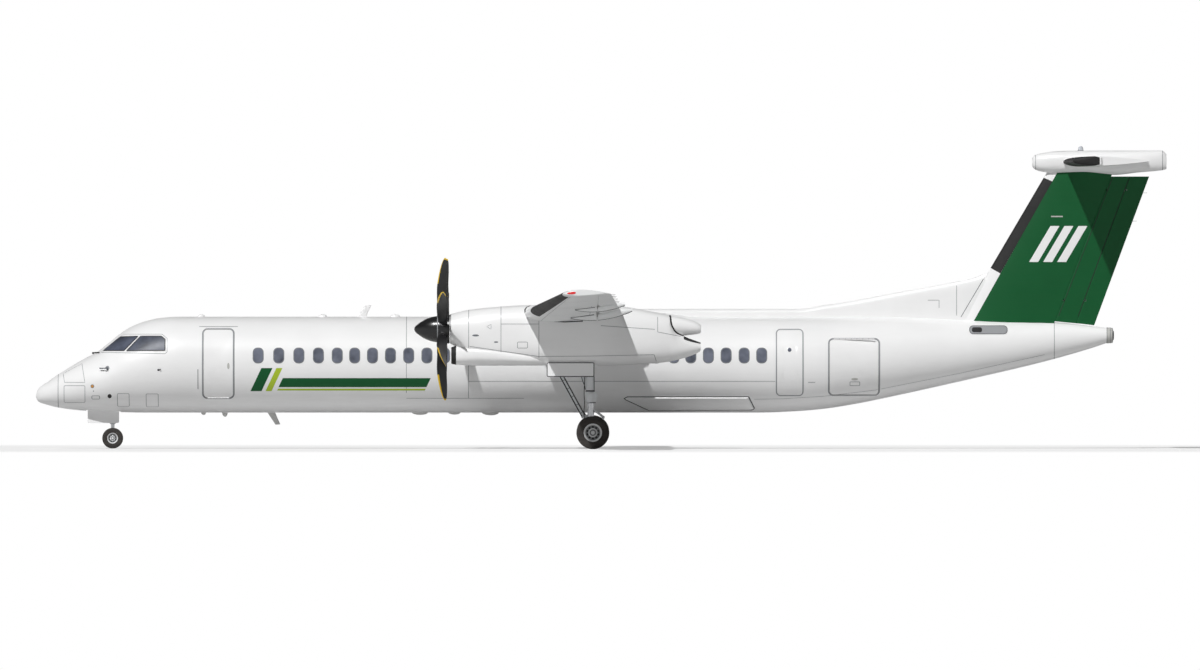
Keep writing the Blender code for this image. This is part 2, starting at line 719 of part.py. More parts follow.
def track_base(panel, track, x):
    """The height of the underside of a flap track's fairing."""
    y, front, back, depth = track
    t = at_y(panel, y)
    reach = min(1.0, max(0.0, (x - front) / (back - front)))
    start = panel.point(t, panel.part_at(t, front), panel.height(t, panel.part_at(t, front), -1)).z
    end = panel.point(t, 1.0).z - 0.03
    level = mix((start, end), reach**2)
    return level - depth * math.sin(math.pi * reach) ** 0.8 - 0.01


def flap_pivot(panel, track):
    """The flap's hinge, low in a track's fairing."""
    x = panel.point(at_y(panel, track[0]), FLAP_START + 0.025).x
    return Vector((x, track[0], track_base(panel, track, x) + 0.04))


def sided(track, side):
    return (side * track[0], *track[1:])


def fixed_track(panel, track):
    """The front of a flap track's fairing, down to its split at the pivot."""
    front, pivot = track[1], flap_pivot(panel, track)
    split = pivot.x - 0.018
    stations = [front, front + 0.12, front + 0.4, mix((front + 0.4, split), 0.6), split]
    return loft("track", [fairing_ring(panel, track, x, False) for x in stations])


def flap(name, panel, reach, tracks):
    """A flap with the rear halves of its track fairings and their pivot barrels."""
    piece = loft(name, [panel.skin(at_y(panel, y), FLAP_START + 0.06, 1.0, fullness=0.97) for y in reach])
    pivots = [flap_pivot(panel, track) for track in tracks]
    axis = (pivots[-1] - pivots[0]).normalized() if len(pivots) > 1 else Vector((0, 1, 0))
    for track, pivot in zip(tracks, pivots):
        back = track[2]
        stations = [pivot.x + 0.018, pivot.x + 0.3, back - 0.18, back - 0.03, back]
        join(piece, loft("track", [fairing_ring(panel, track, x, True) for x in stations]))
        half = axis * BARREL_HALF_WIDTH
        join(piece, rod("barrel", pivot - half, pivot + half, BARREL_RADIUS, HINGE_SIDES))
    return finish(piece, wing_white, pivots[0])


def cut_flap_seats(wing, panel, tracks):
    """Grooves in the fixed track fairings for the flap's pivot barrels."""
    pivots = [flap_pivot(panel, track) for track in tracks]
    axis = (pivots[-1] - pivots[0]).normalized() if len(pivots) > 1 else Vector((0, 1, 0))
    for pivot in pivots:
        half = axis * (BARREL_HALF_WIDTH + SEAT_GAP)
        cut(wing, rod("groove", pivot - half, pivot + half, groove_radius(BARREL_RADIUS, HINGE_SIDES),
                      HINGE_SIDES))


def groove_radius(radius, sides):
    """The radius of a facetted hole in which a facetted rod still turns."""
    return radius / math.cos(math.pi / sides) + SEAT_GAP


def hinge_frame(point, axis, forward):
    """A frame at a hinge point: Z along the axis, X towards what carries the surface."""
    z = axis.normalized()
    x = (forward - z * forward.dot(z)).normalized()
    y = z.cross(x)
    return Matrix.Translation(point) @ Matrix((x, y, z)).transposed().to_4x4()


def local_box(name, frame, low, high):
    piece = box(name, low, high)
    piece.data.transform(frame)
    return piece


def hinge_lug(fixed, moving, point, axis, forward, reach):
    """A lug on the fixed part that fills a notch in the moving part, face to face."""
    frame = hinge_frame(point, axis, forward)
    half, slot = LUG_WIDTH / 2, LUG_WIDTH / 2 + SEAT_GAP
    cut(moving, local_box("notch", frame, (-LUG_RADIUS - 0.012, -0.4, -slot), (0.4, 0.4, slot)))
    height = LUG_RADIUS * 0.9
    lug = local_box("lug", frame, (0, -height, -half), (reach, height, half))
    z = frame.to_3x3() @ Vector((0, 0, half))
    join(lug, rod("eye", Vector(point) - z, Vector(point) + z, LUG_RADIUS, HINGE_SIDES))
    join(fixed, lug)


def build_fuselage():
    """The pressure hull with its doors, glass, radome and tail cone."""
    hull = body_loft("fuselage")
    finish(loft("radome", [body_ring(x) for x in RADOME_STATIONS]), white)
    cone = loft("tail_cone", [body_ring(x) for x in CONE_STATIONS])
    middle_z = (eased(CROWN, CONE_END_X) + eased(BELLY, CONE_END_X)) / 2
    cap = [(CONE_END_X - 0.05, 0.2), (CONE_END_X, CONE_END_RADIUS + 0.005), (CONE_CAP_X, CONE_END_RADIUS),
           (CONE_CAP_X + 0.02, CONE_END_RADIUS - 0.03), (CONE_CAP_X + 0.04, 0.09), (CONE_CAP_X + 0.045, 0.0)]
    cap = [(CONE_END_X - 0.05, 0.0)] + cap
    join(cone, turned("cap", cap, 12, (0, 0, middle_z)))
    finish(cone, white)
    for side, word in SIDES:
        finish(skin_patch(hull, "windshield_" + word, WINDSHIELD, side, GLASS_DEPTH, SEAT_GAP), glass)
        finish(skin_patch(hull, "side_window_" + word, SIDE_WINDOW, side, GLASS_DEPTH, SEAT_GAP), glass)
    fixed_door(hull, "aft_passenger_door", AFT_PASSENGER, -1)
    fixed_door(hull, "aft_service_door", AFT_SERVICE, 1)
    fixed_door(hull, "forward_exit", FORWARD_EXIT, 1)
    hinged_door(hull, "airstair_door", AIRSTAIR, -1, AIRSTAIR[2])
    hinged_door(hull, "aft_baggage_door", AFT_BAGGAGE, -1, AFT_BAGGAGE[3])
    hinged_door(hull, "forward_baggage_door", FORWARD_BAGGAGE, 1, FORWARD_BAGGAGE[3])
    for side, word in SIDES:
        fairing = body_loft("belly_fairing_" + word, FAIRING_DEPTH)
        keep(fairing, side_prism("outline", BELLY_FAIRING, side))
        cut(fairing, body_loft("inner", SEAT_GAP))
        finish(fairing, white)
    for outline in (TOP_ANTENNA, BOTTOM_ANTENNA):
        join(hull, plate("antenna", outline, -0.016, 0.016))
    bay_low, bay_high, bay_half, bay_top = NOSE_BAY
    cut(hull, box("bay", (bay_low, -bay_half, 0.5), (bay_high, bay_half, bay_top)))
    for x in JACK_PAD_X:
        join(hull, rod("jack pad", (x, 0, eased(BELLY, x) + 0.05), (x, 0, eased(BELLY, x) - 0.02), 0.06, 12))
    return hull


def build_wing(hull):
    """The one piece wing over the fuselage, with flaps, ailerons and their bays."""
    rings = []
    for side in (-1, 1):
        panel = wing_panel(side)
        tip = [panel.skin(t) for t in (0.0, 0.5, 0.975)]
        tip += [shrunk(panel.skin(0.993), 0.93), shrunk(panel.skin(1.0), 0.72)]
        rings += list(reversed(tip)) if side < 0 else tip
    wing = loft("wing", rings)
    core = loft("core", [centre_panel(-1).skin(1.0), centre_panel(1).skin(1.0)])
    for side, word in SIDES:
        inner, outer = centre_panel(side), wing_panel(side)
        inner_tracks = [sided(TRACK_INNER, side)]
        outer_tracks = [sided(TRACK_MIDDLE, side), sided(TRACK_OUTER, side)]
        for panel, reach, start, below in ((inner, INNER_FLAP, FLAP_START + 0.06, True),
                                           (outer, OUTER_FLAP, FLAP_START + 0.06, True),
                                           (outer, AILERON, AILERON_START, False)):
            low, high = side * (reach[0] - SURFACE_GAP), side * (reach[1] + SURFACE_GAP)
            cut(wing, loft("bay", [panel.bay(at_y(panel, y), start, below) for y in (low, high)]))
        for panel, tracks in ((inner, inner_tracks), (outer, outer_tracks)):
            for track in tracks:
                join(wing, fixed_track(panel, track))
            cut_flap_seats(wing, panel, tracks)
        flap("flap_inboard_" + word, inner, [side * y for y in INNER_FLAP], inner_tracks)
        flap("flap_outboard_" + word, outer, [side * y for y in OUTER_FLAP], outer_tracks)
        aileron = loft("aileron_" + word,
                       [outer.skin(at_y(outer, side * y), AILERON_START, 1.0) for y in AILERON])
        points = [outer.hinge(at_y(outer, side * y), AILERON_START) for y in AILERON_LUGS]
        for point in points:
            hinge_lug(wing, aileron, point, points[1] - points[0], Vector((-1, 0, 0)), 0.14)
        finish(aileron, wing_white, points[0])
    swollen = copy_of(core, "core", SEAT_GAP * 1.5)
    bpy.data.objects.remove(core)
    boolean(hull, swollen, "DIFFERENCE")
    finish(wing, wing_white)
    return swollen


def shoulder_loft(name, grow=0.0):
    """The outer shape of the fairing over the joint of wing and fuselage."""
    rings = []
    base = BODY_AXIS_Z + 0.35
    for x, top, half_width in WING_FAIRING:
        ring = []
        for index in range(FAIRING_SIDES):
            angle = math.pi * index / (FAIRING_SIDES - 1)
            ring.append((x, -(half_width + grow) * signed_power(math.cos(angle), 0.7),
                         base + (top + grow - base) * math.sin(angle) ** 0.7))
        rings.append(ring)
    return loft(name, rings)


def build_wing_fairing(core):
    """The fairing over the joint of wing and fuselage."""
    fairing = shoulder_loft("wing_fairing")
    cut(fairing, body_loft("inner", SEAT_GAP))
    boolean(fairing, core, "DIFFERENCE")
    return finish(fairing, white)


def build_nacelle(side, word, core):
    """A nacelle with its chin intake, the engine inside and the jet pipe."""
    y = side * NACELLE_Y
    rings = []
    for x in NACELLE_STATIONS:
        top, bottom, half = eased(NACELLE_TOP, x), eased(NACELLE_BOTTOM, x), eased(NACELLE_HALF_WIDTH, x)
        fore, aft = max(0.0, (x - NACELLE_FRONT_X) / 1.4), max(0.0, (2.6 - x) / 1.2)
        square = 2.0 + 0.7 * min(1.0, fore) * min(1.0, aft)
        rings.append(oval(x, y, (top + bottom) / 2, half, (top - bottom) / 2, NACELLE_SIDES, square, square))
    nacelle = loft("nacelle_" + word, rings)
    low, high = INTAKE_HEIGHT
    chin = []
    for x, sink, grow in ((INTAKE_FRONT_X, 0, 0), (-4.22, -0.012, 0.02), (-3.84, -0.045, 0.08),
                          (INTAKE_BACK_X, -0.045, 0.12)):
        chin.append(oval(x, y, (low + high + sink + grow) / 2, INTAKE_HALF_WIDTH + grow,
                         (high - low - sink + grow) / 2, 16, 2.6, 2.6))
    join(nacelle, loft("chin", chin))
    duct = [oval(x, y, (low + high) / 2, INTAKE_HALF_WIDTH - 0.035, (high - low) / 2 - 0.035, 16, 2.6, 2.6)
            for x in (INTAKE_FRONT_X - 0.1, INTAKE_FRONT_X + INTAKE_DEPTH)]
    cut(nacelle, loft("duct", duct))
    length, width, height = ENGINE_SIZE
    top = ENGINE_TOP_Z
    engine = box("engine_" + word, (ENGINE_FRONT_X, y - width / 2, top - height),
                 (ENGINE_FRONT_X + length, y + width / 2, top))
    join(engine, rod("shaft", (ENGINE_FRONT_X + 0.1, y, SHAFT_Z), (SPINNER_BACK_X + SEAT_GAP, y, SHAFT_Z),
                     SHAFT_RADIUS, 12))
    finish(engine, dark_metal)
    room = copy_of(engine, "room", SEAT_GAP * 2)
    boolean(nacelle, room, "DIFFERENCE")
    bpy.data.objects.remove(room)
    cut(nacelle, rod("mouth", (NACELLE_FRONT_X - 0.1, y, SHAFT_Z), (ENGINE_FRONT_X + 0.01, y, SHAFT_Z),
                     MOUTH_RADIUS, 16))
    pipe = loft("exhaust_" + word, [oval(x, y, z, w, h, JET_PIPE_SIDES) for x, z, w, h in JET_PIPE])
    outside = copy_of(pipe, "outside", SEAT_GAP * 1.5)
    boolean(nacelle, outside, "DIFFERENCE")
    bpy.data.objects.remove(outside)
    bore = [oval(x, y, z, w - JET_PIPE_WALL, h - JET_PIPE_WALL, JET_PIPE_SIDES)
            for x, z, w, h in JET_PIPE[1:]]
    bore.append([(x + 0.1, py, pz) for x, py, pz in bore[-1]])
    cut(pipe, loft("bore", bore))
    finish(pipe, dark_metal)
    boolean(nacelle, core, "DIFFERENCE")
    return finish(nacelle, white)


def build_propeller(side, word):
    """Six blades on a hub barrel, with the spinner around it."""
    y = side * NACELLE_Y
    centre = Vector((PROPELLER_X, y, SHAFT_Z))
    hub = rod("propeller_" + word, (HUB_FRONT_X, y, SHAFT_Z), (HUB_BACK_X, y, SHAFT_Z), HUB_RADIUS, 12)
    for index in range(BLADE_COUNT):
        rings = []
        for reach in BLADE_STATIONS:
            chord, pitch = eased(BLADE_CHORD, reach), math.radians(eased(BLADE_PITCH, reach))
            thick, sweep = eased(BLADE_THICKNESS, reach), eased(BLADE_SWEEP, reach)
            ring = []
            for step in range(BLADE_SIDES):
                angle = 2 * math.pi * step / BLADE_SIDES
                u = chord / 2 * math.cos(angle)
                v = chord / 2 * thick * math.sin(angle) * (1 - 0.25 * math.cos(angle))
                ring.append(Vector((sweep + u * math.sin(pitch) + v * math.cos(pitch),
                                    -u * math.cos(pitch) + v * math.sin(pitch), reach)))
            rings.append(ring)
        turn = Matrix.Translation(centre) @ Matrix.Rotation(2 * math.pi * index / BLADE_COUNT, 4, "X")
        join(hub, loft("blade", [[turn @ point for point in ring] for ring in rings]))
    join(hub, turned("spinner", SPINNER_PROFILE + [(SPINNER_BACK_X, 0.0)], SPINNER_SIDES, (0, y, SHAFT_Z)))
    finish(hub, black, centre)


def build_tail():
    """Fin, dorsal spine, double rudder, bullet, tailplane and elevators."""
    fin_trail = [(x, 0, z) for x, z in zip(RUDDER_END_X, (FIN_BASE_Z, FIN_TOP_Z))]
    leads = [(x, 0, z) for x, z in zip(FIN_LEAD_X, (FIN_BASE_Z, FIN_TOP_Z))]
    chords = [trail[0] - lead[0] for lead, trail in zip(leads, fin_trail)]
    panel = Surface(leads, fin_trail, [t / c for t, c in zip(FIN_THICKNESS, chords)], (0.0, 0.0), (0, 1, 0))
    start = [(h - lead[0]) / c for h, lead, c in zip(RUDDER_HINGE_X, leads, chords)]
    second = [(h - lead[0]) / c for h, lead, c in zip(TRAIL_HINGE_X, leads, chords)]

    def level(z):
        return (z - FIN_BASE_Z) / (FIN_TOP_Z - FIN_BASE_Z)

    pivots = []
    low = level(FIN_BASE_Z - 0.35)
    ends = (level(FIN_BASE_Z - 0.3), level(RUDDER_TOP_Z))
    fin = loft("fin", [panel.skin(t) for t in (low, 0.0, 1.0)])
    cut(fin, loft("bay", [panel.bay(t, mix(start, t), False) for t in (low - 0.02, 1.02)]))
    fore = loft("rudder_fore", [panel.skin(t, mix(start, t), 1.0) for t in ends])
    cut(fore, loft("bay", [panel.bay(t, mix(second, t), False) for t in (low - 0.02, 1.02)]))
    rear = loft("rudder_trailing", [panel.skin(t, mix(second, t), 1.0) for t in ends])
    for piece in (fore, rear):
        foot = [(12.6, 3.0), (16.6, 3.0)]
        foot += [(x, eased(CROWN, x) + RUDDER_FOOT_GAP) for x in (16.6, 14.6, 14.0, CONE_FRONT_X, 12.6)]
        cut(piece, plate("foot", foot, -0.8, 0.8))
    for piece, fixed, line, heights in ((fore, fin, start, RUDDER_LUGS), (rear, fore, second, TRAIL_LUGS)):
        points = [panel.hinge(level(z), mix(line, level(z))) for z in heights]
        pivots.append(points[0])
        for point in points:
            hinge_lug(fixed, piece, point, points[1] - points[0], Vector((-1, 0, 0)), LUG_REACH)
    sizes = [(x, eased(DORSAL_TOP, x), eased(DORSAL_HALF_WIDTH, x)) for x in DORSAL_STATIONS]
    spine = loft("dorsal_fin", [spine_ring(*size) for size in sizes])
    rings = [oval(x, 0, (low_z + high_z) / 2, half, (high_z - low_z) / 2, BULLET_SIDES, 2.3, 2.3)
             for x, low_z, high_z, half in BULLET_STATIONS]
    bullet = loft("tail_bullet", rings)
    x, base, peak, radius = BEACON
    join(bullet, rod("beacon", (x, 0, base - 0.05), (x, 0, peak), radius, HINGE_SIDES, radius * 0.75))
    planes = []
    thickness = (TAILPLANE_THICKNESS, TAILPLANE_THICKNESS)
    for side in (-1, 1):
        root, tip, tip_y = TAILPLANE_ROOT, TAILPLANE_TIP, side * TAILPLANE_HALF_SPAN
        leads = [(root[0], 0, TAILPLANE_Z), (tip[0], tip_y, TAILPLANE_Z)]
        trails = [(sum(root), 0, TAILPLANE_Z), (sum(tip), tip_y, TAILPLANE_Z)]
        planes.append(Surface(leads, trails, thickness, (0.0, 0.0), (0, 0, 1)))
    left, right = planes
    rings = [shrunk(left.skin(1.0), 0.75), left.skin(0.985), left.skin(0.0),
             right.skin(0.985), shrunk(right.skin(1.0), 0.75)]
    tailplane = loft("tailplane", rings)
    swollen = copy_of(tailplane, "plane", SEAT_GAP * 1.5)
    boolean(bullet, swollen, "DIFFERENCE")
    bpy.data.objects.remove(swollen)
    for plane, (side, word) in zip(planes, SIDES):
        def hinge_part(t):
            return (ELEVATOR_HINGE_X - plane.point(t, 0).x) / plane.chord(t)

        inner, outer = ELEVATOR_INNER_Y / TAILPLANE_HALF_SPAN, 0.985
        gap = SURFACE_GAP / TAILPLANE_HALF_SPAN
        cut(tailplane, loft("bay", [plane.bay(t, hinge_part(t), False) for t in (inner - gap, 1.05)]))
        elevator = loft("elevator_" + word, [plane.skin(t, hinge_part(t), 1.0) for t in (inner, outer)])
        points = [plane.hinge(t, hinge_part(t)) for t in (0.25, 0.8)]
        for point in points:
            hinge_lug(tailplane, elevator, point, Vector((0, 1, 0)), Vector((-1, 0, 0)), 0.2)
        finish(elevator, white, (ELEVATOR_HINGE_X, 0, TAILPLANE_Z))
    swollen = copy_of(bullet, "bullet", SEAT_GAP * 1.5)
    boolean(fin, swollen, "DIFFERENCE")
    bpy.data.objects.remove(swollen)
    cut(fin, body_loft("inner", SEAT_GAP))
    cut(fin, loft("inner", [body_ring(x, SEAT_GAP) for x in CONE_STATIONS]))
    swollen = copy_of(fin, "fin", SEAT_GAP * 1.5)
    boolean(spine, swollen, "DIFFERENCE")
    bpy.data.objects.remove(swollen)
    cut(spine, body_loft("inner", SEAT_GAP))
    cut(spine, shoulder_loft("shoulder", SEAT_GAP * 1.5))
    for piece, paint in ((fin, green), (spine, white), (bullet, white), (tailplane, white)):
        finish(piece, paint)
    for piece, pivot in ((fore, pivots[0]), (rear, pivots[1])):
        finish(piece, green, pivot)


def spine_ring(x, top, half_width):
    """A section of the dorsal spine: a round topped ridge that widens to the fuselage."""
    base = eased(CROWN, x) - 0.25
    ring = []
    for index in range(9):
        angle = math.pi * index / 8
        ring.append((x, -half_width * math.cos(angle) * (1.0 if index in (0, 8) else 0.75),
                     base + (top - base) * (0.0 if index in (0, 8) else 0.72 + 0.28 * math.sin(angle))))
    return ring


def rim_half(centre, half, radius, axle_radius):
    """The turned outline of one rim, from its outer hub face in along +Y to the axle."""
    steps = [(-0.45, 0.0), (-0.45, 0.78), (-0.80, 1.0), (0.80, 1.0), (0.45, 0.78)]
    outline = [(centre + half * reach, radius * part) for reach, part in steps]
    return outline + [(centre + half * 0.35, axle_radius)]


def wheel_set(name, x, y, z, offset, tyre_radius, width, rim_radius, axle_radius):
    """Twin wheels on a live axle: one turned solid for rims and axle, one for each tyre."""
    half = width / 2
    tyre_radius /= math.cos(math.pi / TYRE_SIDES)
    left = rim_half(-offset, half, rim_radius, axle_radius)
    right = [(-reach, radius) for reach, radius in reversed(left)]
    finish(turned(name + "_rims", left + right, TYRE_SIDES, (x, y, z), "Y"), rim_grey, (x, y, z))
    for side in (-1, 1):
        word = ("right" if side > 0 else "left") if y == 0 else ("outer" if side * y > 0 else "inner")
        bead = rim_radius + SEAT_GAP
        wall = bead + (tyre_radius - bead) * 0.42
        tread = [(-half * 0.80, bead), (-half, wall), (-half * 0.68, tyre_radius), (half * 0.68, tyre_radius),
                 (half, wall), (half * 0.80, bead), (-half * 0.80, bead)]
        tyre = turned(name + "_tyre_" + word, tread, TYRE_SIDES, (x, y + side * offset, z), "Y")
        finish(tyre, rubber, (x, y, z))


def build_main_gear(side, word, nacelle):
    """A main leg with its drag strut and torque link, its doors and its wheels."""
    y = side * NACELLE_Y
    well_low, well_high, well_half, well_top = MAIN_WELL
    cut(nacelle, box("well", (well_low, y - well_half, 2.0), (well_high, y + well_half, well_top)))
    leg = rod("main_leg_" + word, (LEG_X, y, well_top - SEAT_GAP), (LEG_X, y, 2.0), 0.16, ROD_SIDES, 0.125)
    join(leg, rod("barrel", (LEG_X, y, 2.02), (LEG_X + 0.02, y, 1.34), 0.125, ROD_SIDES),
         rod("collar", (LEG_X + 0.005, y, 1.64), (LEG_X + 0.02, y, 1.34), 0.165, ROD_SIDES),
         rod("piston", (LEG_X + 0.02, y, 1.4), (MAIN_AXLE_X - 0.06, y, MAIN_AXLE_Z + 0.05), 0.095, ROD_SIDES),
         rod("foot", (MAIN_AXLE_X, y - 0.1, MAIN_AXLE_Z), (MAIN_AXLE_X, y + 0.1, MAIN_AXLE_Z), 0.105, 12),
         rod("jack lug", (MAIN_AXLE_X, y, MAIN_AXLE_Z), (MAIN_AXLE_X, y, MAIN_JACK_Z), 0.045, 8))
    join(leg, rod("brace", (-1.2, y, well_top - 0.06), (-0.46, y, 1.02), 0.062, 8),
         rod("brace end", (-0.52, y, 1.06), (LEG_X + 0.05, y, 0.96), 0.055, 8))
    for start_x, start_z, end_x, end_z in ((LEG_X + 0.05, 1.42, 0.07, 1.0),
                                           (0.07, 1.03, MAIN_AXLE_X, MAIN_AXLE_Z + 0.16)):
        join(leg, rod("link", (start_x, y, start_z), (end_x, y, end_z), 0.035, 6))
    cut(leg, rod("bore", (MAIN_AXLE_X, y - 0.3, MAIN_AXLE_Z), (MAIN_AXLE_X, y + 0.3, MAIN_AXLE_Z),
                 groove_radius(MAIN_AXLE_RADIUS, ROD_SIDES), ROD_SIDES))
    finish(leg, gear_grey)
    low_x, high_x, low_z, high_z = MAIN_DOOR
    doors = box("main_gear_doors_" + word, (low_x, y - 0.50, high_z - 0.06),
                (DOOR_BRIDGE_X, y + 0.50, high_z - 0.03))
    for edge in (-1, 1):
        spot = y + edge * 0.485
        join(doors, box("door", (low_x, spot - 0.0149, low_z), (high_x, spot + 0.0149, high_z)))
    swollen = copy_of(doors, "doors", SEAT_GAP * 1.5)
    boolean(nacelle, swollen, "DIFFERENCE")
    bpy.data.objects.remove(swollen)
    finish(doors, white)
    wheel_set("main_wheels_" + word, MAIN_AXLE_X, y, MAIN_AXLE_Z, MAIN_WHEEL_Y, MAIN_TYRE_RADIUS,
              MAIN_TYRE_WIDTH, MAIN_RIM_RADIUS, MAIN_AXLE_RADIUS)


def build_nose_gear(hull):
    """The nose leg, its steered fork, its wheels and the open bay doors."""
    x, axle_z = NOSE_GEAR_X, NOSE_TYRE_RADIUS
    bay_low, bay_high, bay_half, bay_top = NOSE_BAY
    leg = rod("nose_leg", (x, 0, bay_top - SEAT_GAP), (x, 0, NOSE_SLEEVE_Z), NOSE_LEG_RADIUS, 12)
    pin_end = bay_half - SEAT_GAP
    join(leg, rod("trunnion", (x, -pin_end, bay_top - 0.1), (x, pin_end, bay_top - 0.1), 0.045, 12),
         rod("brace", (x, 0, NOSE_SLEEVE_Z + 0.12), (bay_high - 0.06, 0, bay_top - 0.02), 0.035, 10))
    finish(leg, gear_grey)
    fork = rod("nose_fork", (x, 0, NOSE_SLEEVE_Z - SEAT_GAP), (x, 0, axle_z), 0.055, 12)
    join(fork, rod("collar", (x, 0, NOSE_SLEEVE_Z - SEAT_GAP), (x, 0, NOSE_SLEEVE_Z - 0.07), 0.085, 12),
         rod("foot", (x, -0.06, axle_z), (x, 0.06, axle_z), 0.07, 16),
         box("tow lug", (x - 0.145, -0.025, axle_z - 0.04), (x, 0.025, axle_z + 0.04)))
    bore = groove_radius(NOSE_AXLE_RADIUS, ROD_SIDES)
    cut(fork, rod("bore", (x, -0.3, axle_z), (x, 0.3, axle_z), bore, ROD_SIDES))
    finish(fork, gear_grey, (x, 0, NOSE_SLEEVE_Z))
    wheel_set("nose_wheels", x, 0, axle_z, NOSE_WHEEL_Y, NOSE_TYRE_RADIUS, NOSE_TYRE_WIDTH,
              NOSE_RIM_RADIUS, NOSE_AXLE_RADIUS)
    for side, word in SIDES:
        spot = side * (bay_half + 0.02)
        door = box("nose_gear_door_" + word, (bay_low + 0.05, spot - 0.011, NOSE_DOOR_Z),
                   (bay_high - 0.05, spot + 0.011, 1.25))
        swollen = copy_of(door, "door", SEAT_GAP * 1.5)
        boolean(hull, swollen, "DIFFERENCE")
        bpy.data.objects.remove(swollen)
        finish(door, white)


for leftover in list(bpy.data.objects):
    bpy.data.objects.remove(leftover)
aircraft = bpy.data.collections.new("turboprop_airliner")
cutters = bpy.data.collections.new("cutters")
for collection in (aircraft, cutters):
    bpy.context.scene.collection.children.link(collection)
white = material("white paint", (0.93, 0.93, 0.93), 0.3)
wing_white = material("wing paint", (0.86, 0.87, 0.87), 0.35)
green = material("green paint", (0.008, 0.11, 0.04), 0.3)
black = material("black blade", (0.015, 0.015, 0.017), 0.4)
glass = material("tinted glass", (0.10, 0.12, 0.15), 0.08)
rubber = material("tyre rubber", (0.03, 0.03, 0.03), 0.8)
rim_grey = material("rim paint", (0.55, 0.56, 0.57), 0.4, 0.3)
gear_grey = material("gear paint", (0.60, 0.61, 0.62), 0.35, 0.2)
dark_metal = material("hot metal", (0.20, 0.19, 0.18), 0.45, 0.8)

fuselage = build_fuselage()
wing_core = build_wing(fuselage)
build_wing_fairing(wing_core)
for hand, hand_word in SIDES:
    pod = build_nacelle(hand, hand_word, wing_core)
    build_main_gear(hand, hand_word, pod)
    build_propeller(hand, hand_word)
build_tail()
build_nose_gear(fuselage)
finish(fuselage, white)
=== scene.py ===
"""Looks of the turboprop airliner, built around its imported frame. Metres; nose at -X, left side at -Y."""
import math

import bmesh
import bpy
from mathutils import Matrix, Vector


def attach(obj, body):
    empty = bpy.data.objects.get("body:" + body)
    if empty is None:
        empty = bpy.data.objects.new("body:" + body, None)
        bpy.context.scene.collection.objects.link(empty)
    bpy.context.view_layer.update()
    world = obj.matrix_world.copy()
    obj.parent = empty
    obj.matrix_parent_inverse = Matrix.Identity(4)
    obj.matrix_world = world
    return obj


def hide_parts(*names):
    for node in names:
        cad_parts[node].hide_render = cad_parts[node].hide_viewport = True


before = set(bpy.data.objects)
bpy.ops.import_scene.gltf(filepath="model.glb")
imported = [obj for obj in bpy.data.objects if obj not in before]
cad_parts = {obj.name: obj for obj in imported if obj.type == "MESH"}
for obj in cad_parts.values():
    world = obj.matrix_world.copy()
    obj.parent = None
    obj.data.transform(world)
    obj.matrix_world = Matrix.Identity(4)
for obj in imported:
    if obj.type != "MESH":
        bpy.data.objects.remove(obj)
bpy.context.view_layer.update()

# Photograph: metres a pixel, and the pixel of the frame's origin
PIXEL = 0.029025
PIXEL_ORIGIN = (601.25, 448.5)

# Fuselage lines, as in the solids
NOSE_X = -16.406
FULL_BODY_X = -12.1
TAPER_X = 5.5
CONE_END_X = 14.668
BODY_RADIUS = 1.392
CONE_END_RADIUS = 0.225
NOSE_BLUNTNESS = 0.6
NOSE_TIP_HALF_WIDTH = 0.04
TAPER_CURVE = 1.25
FLIGHT_DECK_X = -14.1
FLIGHT_DECK_REACH = 1.5
FLIGHT_DECK_PEAK = 0.3
CROWN = [
    (NOSE_X, 1.575), (-16.36, 1.70), (-16.29, 1.785), (-16.116, 1.901), (-15.768, 2.148),
    (-15.071, 2.569), (-14.549, 2.859), (-14.375, 3.004), (-13.852, 3.410), (-13.504, 3.599),
    (-13.155, 3.715), (-12.807, 3.788), (-12.285, 3.826), (8.0, 3.826), (10.412, 3.741),
    (13.144, 3.662), (CONE_END_X, 3.503),
]
BELLY = [
    (NOSE_X, 1.495), (-16.36, 1.385), (-16.29, 1.335), (-16.116, 1.277), (-15.768, 1.190),
    (-15.071, 1.103), (-14.2, 1.062), (-13.2, 1.042), (4.6, 1.042), (5.623, 1.080),
    (6.494, 1.155), (7.365, 1.292), (8.236, 1.466), (10.848, 2.046), (12.589, 2.453),
    (13.46, 2.685), (14.331, 2.946), (CONE_END_X, 3.062),
]
WINDSHIELD = [(-14.44, 2.846), (-13.955, 3.235), (-13.44, 3.252), (-13.832, 2.846)]
SIDE_WINDOW = [(-13.747, 2.838), (-13.35, 3.252), (-12.752, 3.252), (-12.646, 3.168), (-12.646, 2.85)]
AIRSTAIR = (-11.532, -10.664, 1.475, 3.456)
AFT_PASSENGER = (5.076, 5.846, 1.54, 3.456)
AFT_BAGGAGE = (6.61, 8.044, 1.562, 3.172)
AFT_SERVICE = (5.076, 5.846, 1.60, 3.35)
FORWARD_EXIT = (-10.16, -9.58, 1.95, 3.20)
FORWARD_BAGGAGE = (-11.62, -10.58, 1.56, 2.90)
DOOR_CORNER = 0.12
HINGE_CORNER = 0.05
AIRSTAIR_TRAVEL = 126
DOOR_GAP = 0.006
DOOR_DEPTH = 0.085
DOOR_LINE_WIDTH = 0.034
RECESS_DEPTH = 0.096
LINER_INSET = 0.03
HINGE_KNUCKLES = 7
KNUCKLE_RADIUS = 0.019
HINGE_PIN_RADIUS = 0.010
BELLY_FAIRING = [(0.69, 1.452), (0.76, 1.489), (4.265, 1.489), (4.424, 1.176), (4.36, 1.155),
                 (1.372, 1.143)]
NOSE_BAY = (-14.95, -13.95, 0.24, 1.38)
WINDOW_HALF_WIDTH = 0.138
WINDOW_CORNER = 0.115
WINDOW_TOP_PY = 348.3
WINDOW_FOOT_PY = 362.6

